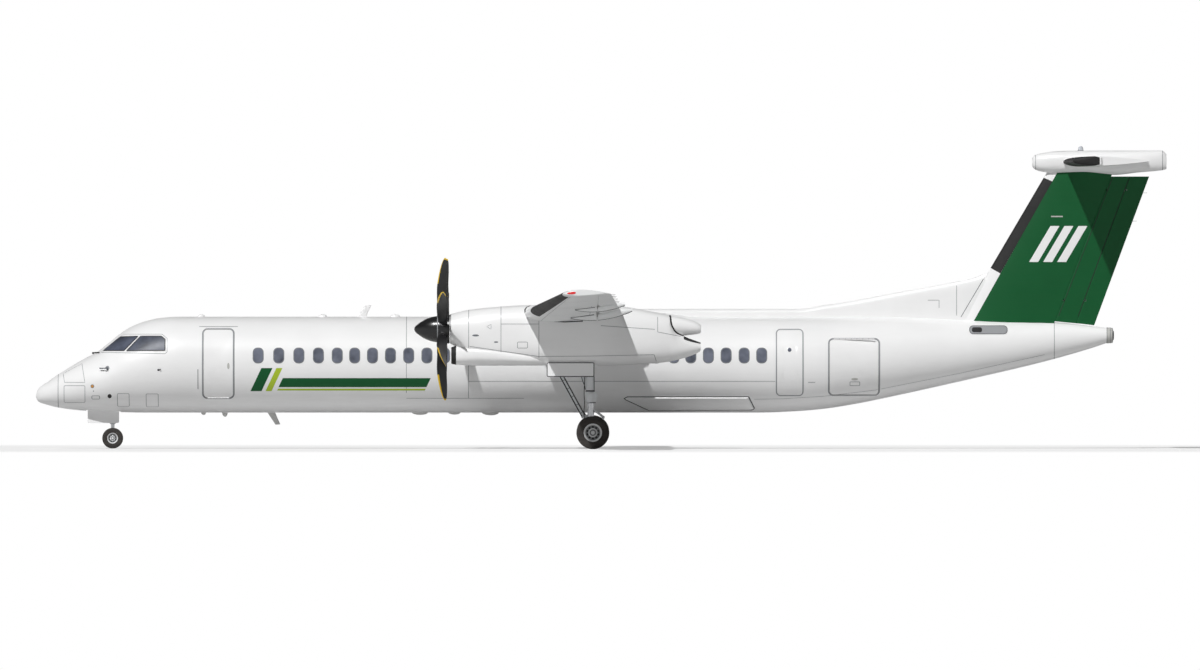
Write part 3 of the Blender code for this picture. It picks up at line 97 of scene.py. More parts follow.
# Wing lines
HALF_SPAN = 14.21
PANEL_BREAK_Y = 5.15
ROOT_CHORD = 2.79
ROOT_LEAD = (-2.20, 3.913)
ROOT_TRAIL_Z = 3.955
ROOT_THICKNESS = 0.178
TIP_LEAD = (-1.07, 4.470)
TIP_CHORD = 1.333
TIP_TRAIL_Z = 4.478
TIP_THICKNESS = 0.148
TIP_CAMBER = 0.02
FLAP_START = 0.72
FLAP_NOSE = 0.78
AILERON_START = 0.76
INNER_FLAP = (1.50, 3.66)
OUTER_FLAP = (5.16, 9.80)
AILERON = (9.86, 13.90)
AILERON_LUGS = (10.7, 13.1)
TRACK_INNER = (2.58, -0.95, 0.80, 0.10)
TRACK_MIDDLE = (6.30, -0.90, 0.89, 0.10)
TRACK_OUTER = (9.20, -0.77, 0.68, 0.08)
TRACK_HALF_WIDTH = 0.085
INNER_BOOT = (1.28, 3.72)
BAY_SLACK = 0.012
SURFACE_END_GAP = 0.010
LUG_HALF_HEIGHT = 0.0198
LUG_HALF_WIDTH = 0.025
NOTCH_NOSE = 0.0245
NOTCH_HALF_WIDTH = 0.0265
RUDDER_LUG_ZS = (4.30, 7.50)
ELEVATOR_LUG_PARTS = (0.25, 0.8)
TIP_LAMP = (-0.838, 14.166, 4.487)
WING_FAIRING = [(-3.55, 3.80, 0.60), (-3.1, 3.93, 0.95), (-2.5, 4.08, 1.18), (-2.0, 4.15, 1.27),
                (-0.5, 4.16, 1.30), (0.6, 4.12, 1.25), (1.4, 3.99, 1.05), (2.3, 3.88, 0.70),
                (3.0, 3.78, 0.45)]
FAIRING_BASE_Z = 2.784

# Nacelle lines
NACELLE_Y = 4.40
SHAFT_Z = 3.463
NACELLE_FRONT_X = -4.355
NACELLE_TAIL_X = 2.868
NACELLE_TOP = [
    (NACELLE_FRONT_X, 3.893), (-3.84, 4.017), (-2.88, 4.116), (-2.18, 4.155), (0.46, 4.165),
    (0.68, 4.107), (1.12, 4.023), (1.65, 3.915), (1.975, 3.842), (2.02, 3.70), (2.17, 3.40),
    (2.42, 3.242), (NACELLE_TAIL_X, 3.072),
]
NACELLE_BOTTOM = [
    (NACELLE_FRONT_X, 3.045), (-4.15, 2.93), (-3.84, 2.60), (-3.4, 2.412), (0.0, 2.412),
    (1.12, 2.453), (1.84, 2.508), (2.31, 2.604), (2.72, 2.749), (NACELLE_TAIL_X, 2.83),
]
NACELLE_HALF_WIDTH = [
    (NACELLE_FRONT_X, 0.424), (-3.84, 0.54), (-3.2, 0.60), (-2.2, 0.63), (0.2, 0.63),
    (1.2, 0.56), (2.0, 0.43), (NACELLE_TAIL_X, 0.14),
]
INTAKE_FRONT_X = -4.325
INTAKE_HEIGHT = (2.462, 2.935)
INTAKE_HALF_WIDTH = 0.33
INTAKE_WALL = 0.035
INTAKE_POWER = 2.6
CHIN = [(INTAKE_FRONT_X, 2.470, 2.935, 0.330), (-4.295, 2.458, 2.950, 0.345), (-4.22, 2.446, 2.972, 0.37),
        (-4.0, 2.425, 3.03, 0.47), (-3.8, 2.412, 3.04, 0.535), (-3.5, 2.408, 3.03, 0.58),
        (-3.1, 2.408, 2.98, 0.60), (-2.6, 2.408, 2.90, 0.595), (-2.1, 2.412, 2.80, 0.55),
        (-1.7, 2.44, 2.70, 0.42)]
LIP_BACK_X = -4.19
JET_PIPE = [(1.55, 3.56, 0.29, 0.275), (2.0, 3.555, 0.29, 0.282), (2.3, 3.54, 0.272, 0.262),
            (2.5, 3.52, 0.247, 0.232), (2.65, 3.505, 0.222, 0.20), (2.76, 3.49, 0.195, 0.168),
            (2.84, 3.475, 0.165, 0.135), (2.88, 3.47, 0.135, 0.105)]
JET_PIPE_WALL = 0.03
ENGINE_BLOCK = ((-3.72, -0.385, 2.555), (-1.30, 0.385, 3.655))
ENGINE_SHAFT = (-3.62, -4.368, 0.09)
MAIN_DOOR = (-1.58, -0.193, 2.08, 2.512)
MAIN_WELL = (-1.36, -0.10, 0.24, 2.66)

# Propellers
PROPELLER_X = -4.564
PROPELLER_RADIUS = 2.055
BLADE_COUNT = 6
BLADE_SIDES = 24
SPINNER_PROFILE = [(-5.404, 0.0), (-5.385, 0.055), (-5.33, 0.118), (-5.21, 0.205),
                   (-5.04, 0.302), (-4.86, 0.36), (-4.66, 0.39), (-4.375, 0.42)]
BLADE_CHORD = [(0.2, 0.17), (0.42, 0.27), (0.8, 0.365), (1.25, 0.41), (1.65, 0.38), (1.93, 0.28),
               (PROPELLER_RADIUS, 0.10)]
BLADE_PITCH = [(0.2, 70), (0.42, 66), (0.8, 54), (1.25, 43), (1.65, 36), (PROPELLER_RADIUS, 27)]
BLADE_THICKNESS = [(0.2, 0.55), (0.42, 0.34), (0.8, 0.15), (1.25, 0.09), (PROPELLER_RADIUS, 0.06)]
BLADE_SWEEP = [(0.2, 0.0), (1.2, -0.035), (1.7, 0.01), (PROPELLER_RADIUS, 0.06)]

# Tail lines
FIN_BASE_Z = 3.72
FIN_TOP_Z = 7.955
FIN_ROOT_IN_BULLET_Z = 8.045
FIN_LEAD_X = (10.41, 12.90)
RUDDER_HINGE_X = (13.215, 14.865)
TRAIL_HINGE_X = (13.84, 15.40)
RUDDER_END_X = (14.36, 15.925)
FIN_THICKNESS = (0.46, 0.32)
RUDDER_TOP_Z = 7.895
DORSAL_TOP = [(0.75, 4.045), (1.4, 4.05), (5.77, 4.05), (6.494, 4.165), (6.93, 4.223),
              (8.672, 4.542), (10.3, 4.84), (10.865, 4.963), (11.13, 5.08)]
DORSAL_HALF_WIDTH = [(0.75, 0.30), (3.0, 0.22), (7.0, 0.16), (11.13, 0.13)]
DORSAL_SINK = 0.25
DORSAL_SHOULDER = 0.72
DORSAL_ROOF = 0.28
DORSAL_WAIST = 0.75
DORSAL_EDGE = 0.06
TAILPLANE_HALF_SPAN = 4.635
TAILPLANE_Z = 8.316
TAILPLANE_ROOT = (13.385, 2.485)
TAILPLANE_TIP = (13.62, 2.22)
TAILPLANE_THICKNESS = 0.12
ELEVATOR_HINGE_X = 14.435
ELEVATOR_INNER_Y = 0.40
ELEVATOR_OUTER_PART = 0.985
TAIL_BOOT_REACH = 0.28
BEACON_PLACE = (13.915, 0, 8.64)
FIN_BAR_PXS = (1029.0, 1043.0, 1057.0)
BULLET_STATIONS = [
    (12.508, 8.19, 8.42, 0.10), (12.56, 8.12, 8.50, 0.17), (12.75, 8.04, 8.565, 0.24),
    (13.28, 7.985, 8.635, 0.31), (14.0, 8.002, 8.648, 0.33), (14.88, 7.94, 8.649, 0.31),
    (15.6, 8.01, 8.649, 0.26), (16.28, 8.075, 8.649, 0.17), (16.406, 8.11, 8.54, 0.12),
]

# Landing gear
MAIN_AXLE_X = -0.242
MAIN_AXLE_Z = 0.476
MAIN_TYRE = (0.476, 0.235, 0.255)
MAIN_WHEEL_Y = 0.235
LEG_X = -0.33
COLLAR_X = -0.283
BRACE_TOP = (-1.27, 2.337)
BRACE_FOOT = (-0.505, 0.94)
LINKS = (((-0.26, 1.17), (0.07, 0.905)), ((0.07, 0.905), (-0.242, 0.62)))
NOSE_GEAR_X = -14.18
NOSE_TYRE = (0.30, 0.17, 0.15)
NOSE_WHEEL_Y = 0.155
NOSE_SLEEVE_Z = 0.78
TYRE_GROOVES = 4

# Seams that go right around a body, at x
RADOME_SEAM_X = -15.754
FRONT_SEAM_X = -5.647
CONE_SEAM_X = 13.144
COWLING_SEAM_XS = (-3.824, -2.892, -1.798)
BULLET_SEAM_XS = (12.604, 16.288)

# Lifts off the skin, and the angles above which edges look sharp
SEAM_LIFT = 0.0015
PAINT_LIFT = 0.002
BOOT_LIFT = 0.004
OVER_DOOR_LIFT = 0.005      # what is painted over a fixed door, such as the starboard stripes
BODY_SHARP = 32
WING_SHARP = 28

SIDES = ((-1, "left"), (1, "right"))


# Numbers and lines

def eased(line, x):
    """The value at x on a smooth line through (x, value) points, with no overshoot."""
    if x <= line[0][0]:
        return line[0][1]
    if x >= line[-1][0]:
        return line[-1][1]
    slopes = [(b[1] - a[1]) / (b[0] - a[0]) for a, b in zip(line, line[1:])]

    def tangent(index):
        if index == 0 or index == len(slopes):
            return slopes[min(index, len(slopes) - 1)]
        before, after = slopes[index - 1], slopes[index]
        return 0.0 if before * after <= 0 else 2 * before * after / (before + after)

    index = max(k for k in range(len(slopes)) if line[k][0] <= x)
    (x0, v0), (x1, v1) = line[index], line[index + 1]
    width = x1 - x0
    t = (x - x0) / width
    return ((2 * t**3 - 3 * t**2 + 1) * v0 + (t**3 - 2 * t**2 + t) * width * tangent(index)
            + (3 * t**2 - 2 * t**3) * v1 + (t**3 - t**2) * width * tangent(index + 1))


def mix(pair, t):
    return pair[0] + (pair[1] - pair[0]) * t


def row_at(table, x):
    """The values at x of a table whose rows start with x."""
    return [eased([(row[0], row[k]) for row in table], x) for k in range(1, len(table[0]))]


def middle_of(points):
    return sum(points, Vector()) / len(points)


def shrunk(ring, size):
    """A ring made smaller around its middle."""
    middle = middle_of(ring)
    return [middle + (point - middle) * size for point in ring]


def signed_power(value, power):
    return math.copysign(abs(value) ** power, value)


def seen_at(px, py):
    """The x and z of a pixel of the photograph."""
    return (px - PIXEL_ORIGIN[0]) * PIXEL, (PIXEL_ORIGIN[1] - py) * PIXEL


def seen_path(*pixels):
    return [seen_at(*pixel) for pixel in pixels]


def steps(low, high, count):
    """Evenly spaced numbers, both ends in."""
    return [low + (high - low) * i / (count - 1) for i in range(count)]


def rounded(low_x, high_x, low_z, high_z, radius, turns=6):
    """Corners of a rectangle with round corners."""
    corners = [(high_x - radius, high_z - radius, 0), (low_x + radius, high_z - radius, 90),
               (low_x + radius, low_z + radius, 180), (high_x - radius, low_z + radius, 270)]
    outline = []
    for x, z, start in corners:
        for turn in range(turns + 1):
            angle = math.radians(start + 90 * turn / turns)
            outline.append((x + radius * math.cos(angle), z + radius * math.sin(angle)))
    return outline


def spread(outline, gap, least=0.3):
    """An outline moved outward by a gap; least keeps its sharp corners from shooting out."""
    centre = Vector((sum(p[0] for p in outline), sum(p[1] for p in outline))) / len(outline)
    moved = []
    for index, corner in enumerate(outline):
        here = Vector(corner)
        before = (here - Vector(outline[index - 1])).normalized()
        after = (Vector(outline[(index + 1) % len(outline)]) - here).normalized()
        sides = [Vector((edge.y, -edge.x)) for edge in (before, after)]
        out = [side if side.dot(here - centre) > 0 else -side for side in sides]
        bisector = (out[0] + out[1]).normalized()
        moved.append(tuple(here + bisector * gap / max(least, bisector.dot(out[0]))))
    return moved


def divided(path, longest, closed=False):
    """A path with points added so that no step is longer than longest."""
    points = [Vector(point) for point in path] + ([Vector(path[0])] if closed else [])
    result = []
    for start, end in zip(points, points[1:]):
        count = max(1, math.ceil((end - start).length / longest))
        result += [start.lerp(end, i / count) for i in range(count)]
    return result if closed else result + [points[-1]]


# Covers: faces of the skin that details are laid on

class Cover:
    """One face of the skin, read at two coordinates."""

    def __init__(self, at, outward):
        self.at = at
        self.outward = outward

    def lift(self, u, v, height=0.0, reach=0.004):
        """The point at u and v raised off the skin, and the skin's normal there."""
        across = self.at(u + reach, v) - self.at(u - reach, v)
        along = self.at(u, v + reach) - self.at(u, v - reach)
        here = self.at(u, v)
        normal = across.cross(along).normalized()
        if normal.dot(self.outward(here)) < 0:
            normal = -normal
        return here + normal * height, normal


class Pod:
    """A long body with superellipse sections, such as the fuselage or a nacelle."""

    def __init__(self, centre_y, section):
        self.y = centre_y
        self.section = section

    def at_angle(self, x, angle):
        top, bottom, half, upper, lower = self.section(x)
        power = 2.0 / (upper if math.cos(angle) > 0 else lower)
        return Vector((x, self.y + half * signed_power(math.sin(angle), power),
                       (top + bottom) / 2 + (top - bottom) / 2 * signed_power(math.cos(angle), power)))

    def at_height(self, x, z, out):
        top, bottom, half, upper, lower = self.section(x)
        rise = (z - (top + bottom) / 2) / ((top - bottom) / 2)
        power = upper if rise > 0 else lower
        width = half * (1 - min(1.0, abs(rise)) ** power) ** (1 / power)
        return Vector((x, self.y + out * width, z))

    def side(self, out):
        """The left (-1) or right (1) face, read at x and z."""
        return Cover(lambda x, z: self.at_height(x, z, out), lambda point: Vector((0, out, 0)))

    def around(self):
        """The whole skin, read at x and the angle from the crown."""
        def outward(point):
            top, bottom = self.section(point.x)[:2]
            return point - Vector((point.x, self.y, (top + bottom) / 2))
        return Cover(self.at_angle, outward)

    def ring(self, x, sides):
        return [self.at_angle(x, 2 * math.pi * i / sides) for i in range(sides)]


def body_half_width(x):
    if x < FULL_BODY_X:
        reach = max(0.0, (x - NOSE_X) / (FULL_BODY_X - NOSE_X))
        return max(NOSE_TIP_HALF_WIDTH, BODY_RADIUS * math.sin(math.pi / 2 * reach) ** NOSE_BLUNTNESS)
    if x > TAPER_X:
        reach = (x - TAPER_X) / (CONE_END_X - TAPER_X)
        return BODY_RADIUS - (BODY_RADIUS - CONE_END_RADIUS) * reach**TAPER_CURVE
    return BODY_RADIUS


def body_section(x):
    peak = 2.0 - FLIGHT_DECK_PEAK * max(0.0, 1 - abs(x - FLIGHT_DECK_X) / FLIGHT_DECK_REACH)
    return eased(CROWN, x), eased(BELLY, x), body_half_width(x), peak, 2.0


def nacelle_section(x):
    square = 2.0 + 0.7 * min(1.0, max(0.0, (x - NACELLE_FRONT_X) / 1.4)) * min(1.0, max(0.0, (2.6 - x) / 1.2))
    return eased(NACELLE_TOP, x), eased(NACELLE_BOTTOM, x), eased(NACELLE_HALF_WIDTH, x), square, square


def bullet_section(x):
    low, high, half = row_at(BULLET_STATIONS, x)
    return high, low, half, 2.3, 2.3


hull = Pod(0.0, body_section)
bullet = Pod(0.0, bullet_section)
nacelles = {side: Pod(side * NACELLE_Y, nacelle_section) for side, _ in SIDES}


def foil_half(u, thickness):
    """Half the thickness of an aerofoil of chord 1 at u."""
    return 5 * thickness * (0.2969 * math.sqrt(u) - 0.126 * u - 0.3516 * u**2 + 0.2843 * u**3
                            - 0.1015 * u**4)


class Surface:
    """A straight tapered aerofoil between two stations, with its thickness along across."""

    def __init__(self, leads, trails, thickness, camber, across):
        self.leads = [Vector(point) for point in leads]
        self.trails = [Vector(point) for point in trails]
        self.thickness = thickness
        self.camber = camber
        self.across = Vector(across)

    def chord(self, t):
        return (self.trails[0].lerp(self.trails[1], t) - self.leads[0].lerp(self.leads[1], t)).length

    def point(self, t, u, height=0.0):
        lead = self.leads[0].lerp(self.leads[1], t)
        trail = self.trails[0].lerp(self.trails[1], t)
        return lead.lerp(trail, u) + self.across * height * (trail - lead).length

    def height(self, t, u, side):
        """The height of the upper (1) or lower (-1) skin in parts of the chord."""
        u = min(1.0, max(0.0, u))
        return 4 * mix(self.camber, t) * u * (1 - u) + side * foil_half(u, mix(self.thickness, t))

    def part_at(self, t, x):
        lead, trail = self.point(t, 0).x, self.point(t, 1).x
        return (x - lead) / (trail - lead)

    def skin(self, t, start=0.0, end=1.0, fullness=1.0):
        """A closed section from start to end of the chord, with a round nose if start is inside."""
        if start > 0:
            stations = [start + (end - start) * (1 - math.cos(math.pi / 2 * i / 8)) for i in range(9)]
            radius = foil_half(start, mix(self.thickness, t)) * fullness
            middle = self.height(t, start, 0)
            turns = [math.pi * i / 9 for i in range(1, 9)]
            nose = [(start - radius * math.sin(turn), middle + radius * math.cos(turn)) for turn in turns]
        else:
            stations = [0.5 * (1 - math.cos(math.pi * i / 22)) * end for i in range(1, 23)]
            nose = [(0.0, 0.0)]
        top = [(u, self.height(t, u, 1) * fullness) for u in reversed(stations)]
        bottom = [(u, self.height(t, u, -1) * fullness) for u in stations]
        return [self.point(t, *pair) for pair in top + nose + bottom]

    def on_skin(self, t, u, side):
        """A point on the upper (1) or lower (-1) skin, or midway between them (0)."""
        return self.point(t, u, self.height(t, u, side))

    def bay(self, t, start, open_below):
        """A section of the space that a hinged surface with its nose at start needs."""
        radius = foil_half(start, mix(self.thickness, t)) + BAY_SLACK / self.chord(t)
        middle = self.height(t, start, 0)
        far = 0.35
        first = start - radius if open_below else start - 0.004
        turns = 8 if open_below else 14
        arc = []
        for i in range(turns + 1):
            angle = math.pi - math.pi / 2 * i / turns if open_below else 1.5 * math.pi - math.pi * i / turns
            arc.append((start + radius * math.cos(angle), middle + radius * math.sin(angle)))
        outline = [(1.3, far), (1.3, -far), (first, -far)] + arc + [(arc[-1][0], far)]
        return [self.point(t, *pair) for pair in outline]

    def face(self, side):
        """The upper (1) or lower (-1) skin, read at the parts of the chord and of the span."""
        return Cover(lambda u, t: self.on_skin(t, u, side), lambda point: self.across * side)


def at_y(panel, y):
    start, end = panel.leads[0].y, panel.leads[1].y
    return (y - start) / (end - start)


def wing_panel(side):
    """The outer wing on one side."""
    root_trail = (ROOT_LEAD[0] + ROOT_CHORD, side * PANEL_BREAK_Y, ROOT_TRAIL_Z)
    tip_trail = (TIP_LEAD[0] + TIP_CHORD, side * HALF_SPAN, TIP_TRAIL_Z)
    leads = [(ROOT_LEAD[0], side * PANEL_BREAK_Y, ROOT_LEAD[1]), (TIP_LEAD[0], side * HALF_SPAN, TIP_LEAD[1])]
    return Surface(leads, [root_trail, tip_trail], (ROOT_THICKNESS, TIP_THICKNESS), (0.0, TIP_CAMBER), (0, 0, 1))


def centre_panel(side):
    """The wing between the fuselage's middle and the outer wing."""
    lead, trail = Vector((ROOT_LEAD[0], 0, ROOT_LEAD[1])), Vector((ROOT_LEAD[0] + ROOT_CHORD, 0, ROOT_TRAIL_Z))
    out = Vector((0, side * PANEL_BREAK_Y, 0))
    return Surface([lead, lead + out], [trail, trail + out], (ROOT_THICKNESS, ROOT_THICKNESS), (0.0, 0.0), (0, 0, 1))


fin_chords = [end - lead for lead, end in zip(FIN_LEAD_X, RUDDER_END_X)]
fin_panel = Surface([(x, 0, z) for x, z in zip(FIN_LEAD_X, (FIN_BASE_Z, FIN_TOP_Z))],
                    [(x, 0, z) for x, z in zip(RUDDER_END_X, (FIN_BASE_Z, FIN_TOP_Z))],
                    [t / c for t, c in zip(FIN_THICKNESS, fin_chords)], (0.0, 0.0), (0, 1, 0))
rudder_parts = [(h - lead) / c for h, lead, c in zip(RUDDER_HINGE_X, FIN_LEAD_X, fin_chords)]
trail_parts = [(h - lead) / c for h, lead, c in zip(TRAIL_HINGE_X, FIN_LEAD_X, fin_chords)]


def fin_level(z):
    return (z - FIN_BASE_Z) / (FIN_TOP_Z - FIN_BASE_Z)


def tail_panel(side):
    """One half of the tailplane."""
    leads = [(TAILPLANE_ROOT[0], 0, TAILPLANE_Z), (TAILPLANE_TIP[0], side * TAILPLANE_HALF_SPAN, TAILPLANE_Z)]
    trails = [(sum(TAILPLANE_ROOT), 0, TAILPLANE_Z), (sum(TAILPLANE_TIP), side * TAILPLANE_HALF_SPAN, TAILPLANE_Z)]
    return Surface(leads, trails, (TAILPLANE_THICKNESS, TAILPLANE_THICKNESS), (0.0, 0.0), (0, 0, 1))


def fin_face(out):
    """The left (-1) or right (1) face of fin and rudder, read at x and z."""
    def at(x, z):
        t = fin_level(z)
        return fin_panel.on_skin(t, fin_panel.part_at(t, x), out)
    return Cover(at, lambda point: Vector((0, out, 0)))


def spine_section(x):
    """The top, half width and base of the dorsal spine at x."""
    return eased(DORSAL_TOP, x), eased(DORSAL_HALF_WIDTH, x), eased(CROWN, x) - DORSAL_SINK


def spine_face(out):
    """The left (-1) or right (1) face of the dorsal spine, read at x and z."""
    def at(x, z):
        top, half, base = spine_section(x)
        rise = min(1.0, max(0.0, (z - base) / (top - base)))
        edge = DORSAL_SHOULDER + DORSAL_ROOF * math.sin(math.pi * DORSAL_EDGE)
        if rise < edge:
            width = mix((half, half * DORSAL_WAIST * math.cos(math.pi * DORSAL_EDGE)), rise / edge)
        else:
            arch = (rise - DORSAL_SHOULDER) / DORSAL_ROOF
            width = half * DORSAL_WAIST * math.sqrt(max(0.0, 1 - arch**2))
        return Vector((x, out * width, z))
    return Cover(at, lambda point: Vector((0, out, 0)))


# Shapes: each returns points and faces

def volume_of(points, faces):
    total = 0.0
    for face in faces:
        first = points[face[0]]
        for b, c in zip(face[1:], face[2:]):
            total += first.dot(points[b].cross(points[c]))
    return total


def outward_shape(points, faces):
    """The same closed shape with its faces turned outward."""
    middle = middle_of(points)
    near = [point - middle for point in points]
    return points, faces if volume_of(near, faces) > 0 else [tuple(reversed(face)) for face in faces]


def lofted(rings, closed=True, caps=True):
    """A skin over rings of equal count."""
    count = len(rings[0])
    faces = []
    for row in range(len(rings) - 1):
        for i in range(count if closed else count - 1):
            j = (i + 1) % count
            faces.append((row * count + i, row * count + j, (row + 1) * count + j, (row + 1) * count + i))
    if caps:
        last = (len(rings) - 1) * count
        faces += [tuple(reversed(range(count))), tuple(range(last, last + count))]
    points = [Vector(point) for ring in rings for point in ring]
    return outward_shape(points, faces) if caps else (points, faces)


def facing(shape, normal, judged=-1):
    """The same open sheet with its faces turned to a side, judged by one of them."""
    points, faces = shape
    a, b, c = (points[index] for index in faces[judged][:3])
    return points, faces if (b - a).cross(c - a).dot(normal) > 0 else [tuple(reversed(face)) for face in faces]


def quad_on(cover, corners, lift=PAINT_LIFT):
    """A thin patch with four corners on the skin."""
    a, b, c, d = (Vector(corner) for corner in corners)
    longest = 0.06
    rows = 2 + int(max((d - a).length, (c - b).length) / longest)
    columns = 2 + int(max((b - a).length, (c - d).length) / longest)
    rings = [[cover.lift(*a.lerp(d, v).lerp(b.lerp(c, v), u), lift)[0] for u in steps(0, 1, columns)]
             for v in steps(0, 1, rows)]
    return facing(lofted(rings, closed=False, caps=False), cover.lift(*a)[1])


def plate_on(cover, outline, profile, longest, closed=False):
    """A plate that follows the skin: rings of its outline, each as (size, lift) from the rim inward."""
    edge = divided(outline, longest, closed=True)
    centre = sum(edge, Vector((0, 0))) / len(edge)
    points, faces, rows = [], [], []
    for size, lift in profile:
        spots = [centre] if size == 0 else [centre + (corner - centre) * size for corner in edge]
        rows.append(list(range(len(points), len(points) + len(spots))))
        points += [cover.lift(*spot, lift)[0] for spot in spots]
    for row, following in zip(rows, rows[1:]):
        for i in range(len(edge)):
            j = (i + 1) % len(edge)
            if len(following) == 1:
                faces.append((row[i], row[j], following[0]))
            elif len(row) == 1:
                faces.append((row[0], following[j], following[i]))
            else:
                faces.append((row[i], row[j], following[j], following[i]))
    if closed:
        return outward_shape(points, faces)
    return facing((points, faces), cover.lift(*centre)[1])


def rimmed(rim, level, *sizes):
    """A plate's profile: a rim, then one level over the given sizes to the middle."""
    return rim + [(size, level) for size in (*sizes, 0)]


def skin_shell(cover, outline, high, low):
    """A closed piece of skin between two lifts."""
    sizes = (0.22, 0.45, 0.68, 0.88)
    profile = [(0, low)] + [(size, low) for size in sizes] + [(1.0, low), (1.0, high - 0.004), (0.996, high)]
    profile += [(size, high) for size in reversed(sizes)] + [(0, high)]
    return plate_on(cover, outline, profile, 0.10, closed=True)


def strip_on(cover, path, width, lift=0.0025, longest=0.06, closed=False):
    """A thin flat strip along a path on the skin."""
    spots = divided(path, longest, closed)
    placed = [cover.lift(*spot, lift) for spot in spots]
    points, faces = [], []
    for i, (here, normal) in enumerate(placed):
        before = placed[i - 1][0] if i or closed else here
        after = placed[(i + 1) % len(placed)][0] if i + 1 < len(placed) or closed else here
        across = normal.cross(after - before).normalized() * width / 2
        points += [here + across, here - across]
    for i in range(len(placed) if closed else len(placed) - 1):
        j = (i + 1) % len(placed)
        faces.append((2 * i, 2 * i + 1, 2 * j + 1, 2 * j))
    return points, faces


def across_axis(direction):
    """Two directions across another."""
    turn = Vector(direction).normalized().to_track_quat("Z", "Y").to_matrix()
    return turn.col[0].copy(), turn.col[1].copy()


def tube(path, radii, sides):
    """A round bar or hose through points, with one radius or one for each point."""
    points = [Vector(point) for point in path]
    if not isinstance(radii, (list, tuple)):
        radii = [radii] * len(points)
    rings = []
    across, along = across_axis(points[1] - points[0])
    for i, (point, radius) in enumerate(zip(points, radii)):
        direction = (points[min(i + 1, len(points) - 1)] - points[max(i - 1, 0)]).normalized()
        across = (across - direction * across.dot(direction)).normalized()
        along = direction.cross(across)
        turns = [2 * math.pi * k / sides for k in range(sides)]
        rings.append([point + (across * math.cos(turn) + along * math.sin(turn)) * radius for turn in turns])
    return lofted(rings)


def bar(start, end, radius, sides, end_radius=None):
    """A straight round bar with a small chamfer at each end."""
    start, end = Vector(start), Vector(end)
    final = radius if end_radius is None else end_radius
    edge = (end - start).normalized() * min(radius, final) * 0.12
    return tube([start, start + edge, end - edge, end], [radius * 0.9, radius, final, final * 0.9], sides)


def turned(profile, centre, axis, sides):
    """A shape turned from (distance along the axis, radius) points."""
    axis, centre = Vector(axis), Vector(centre)
    across, along = across_axis(axis)
    points, faces, rows = [], [], []
    for reach, radius in profile:
        count = sides if radius > 1e-6 else 1
        rows.append(list(range(len(points), len(points) + count)))
        for k in range(count):
            angle = 2 * math.pi * k / sides
            points.append(centre + axis * reach + (across * math.cos(angle) + along * math.sin(angle)) * radius)
    for row, following in zip(rows, rows[1:]):
        for i in range(sides):
            j = (i + 1) % sides
            if len(row) == 1 and len(following) == 1:
                break
            if len(following) == 1:
                faces.append((row[i], row[j], following[0]))
            elif len(row) == 1:
                faces.append((row[0], following[j], following[i]))
            else:
                faces.append((row[i], row[j], following[j], following[i]))
    return outward_shape(points, faces)


def block(low, high, edge, frame_matrix=None):
    """A box with chamfered edges."""
    working = bmesh.new()
    size = Vector(high) - Vector(low)
    middle = (Vector(high) + Vector(low)) / 2
    bmesh.ops.create_cube(working, size=1.0, matrix=Matrix.Translation(middle) @ Matrix.Diagonal((*size, 1.0)))
    if edge:
        bmesh.ops.bevel(working, geom=working.edges[:], offset=edge, segments=2, profile=0.6, affect="EDGES")
    if frame_matrix is not None:
        bmesh.ops.transform(working, matrix=frame_matrix, verts=working.verts)
    working.verts.index_update()
    points = [vert.co.copy() for vert in working.verts]
    faces = [tuple(vert.index for vert in face.verts) for face in working.faces]
    working.free()
    return outward_shape(points, faces)


def slab(outline, low, high, edge=0.003):
    """A flat outline in XZ, as thick as low to high along Y, with a small chamfer."""
    centre = Vector((sum(p[0] for p in outline), sum(p[1] for p in outline))) / len(outline)
    inner = [tuple(Vector(p) + (centre - Vector(p)).normalized() * edge) for p in outline]
    rings = [[(x, y, z) for x, z in ring] for ring, y in
             ((inner, low), (outline, low + edge), (outline, high - edge), (inner, high))]
    return lofted(rings)


def wrapped(panel, rows, lift):
    """A sheet around a leading edge; each row has its reach and its level at a part of the way back."""
    parts = [(i / 12) ** 2 for i in range(12, 0, -1)]
    rings = []
    for reach, level_at in rows:
        ring = []
        for side in (1, -1):
            cover = panel.face(side)
            row = [cover.lift(max(0.00002, reach * part), level_at(part), lift)[0] for part in parts]
            ring += row if side > 0 else [panel.point(level_at(0), 0) - Vector((lift, 0, 0))] + row[::-1]
        rings.append(ring)
    return facing(lofted(rings, closed=False, caps=False), panel.across, 0)


def nose_wrap(panel, spans, reach, lift):
    """A sheet around a leading edge, as far back as reach (a part of the chord for each end of the span)."""
    rows = []
    for t in steps(*spans, 14):
        rows.append((mix(reach, (t - spans[0]) / (spans[1] - spans[0])), lambda part, t=t: t))
    return wrapped(panel, rows, lift)


# Finishes

def srgb(*levels):
    """A colour of the photograph's 0 to 255 scale, made linear."""
    linear = [(v / 255 / 12.92 if v / 255 <= 0.04045 else ((v / 255 + 0.055) / 1.055) ** 2.4) for v in levels]
    return (*linear, 1.0)


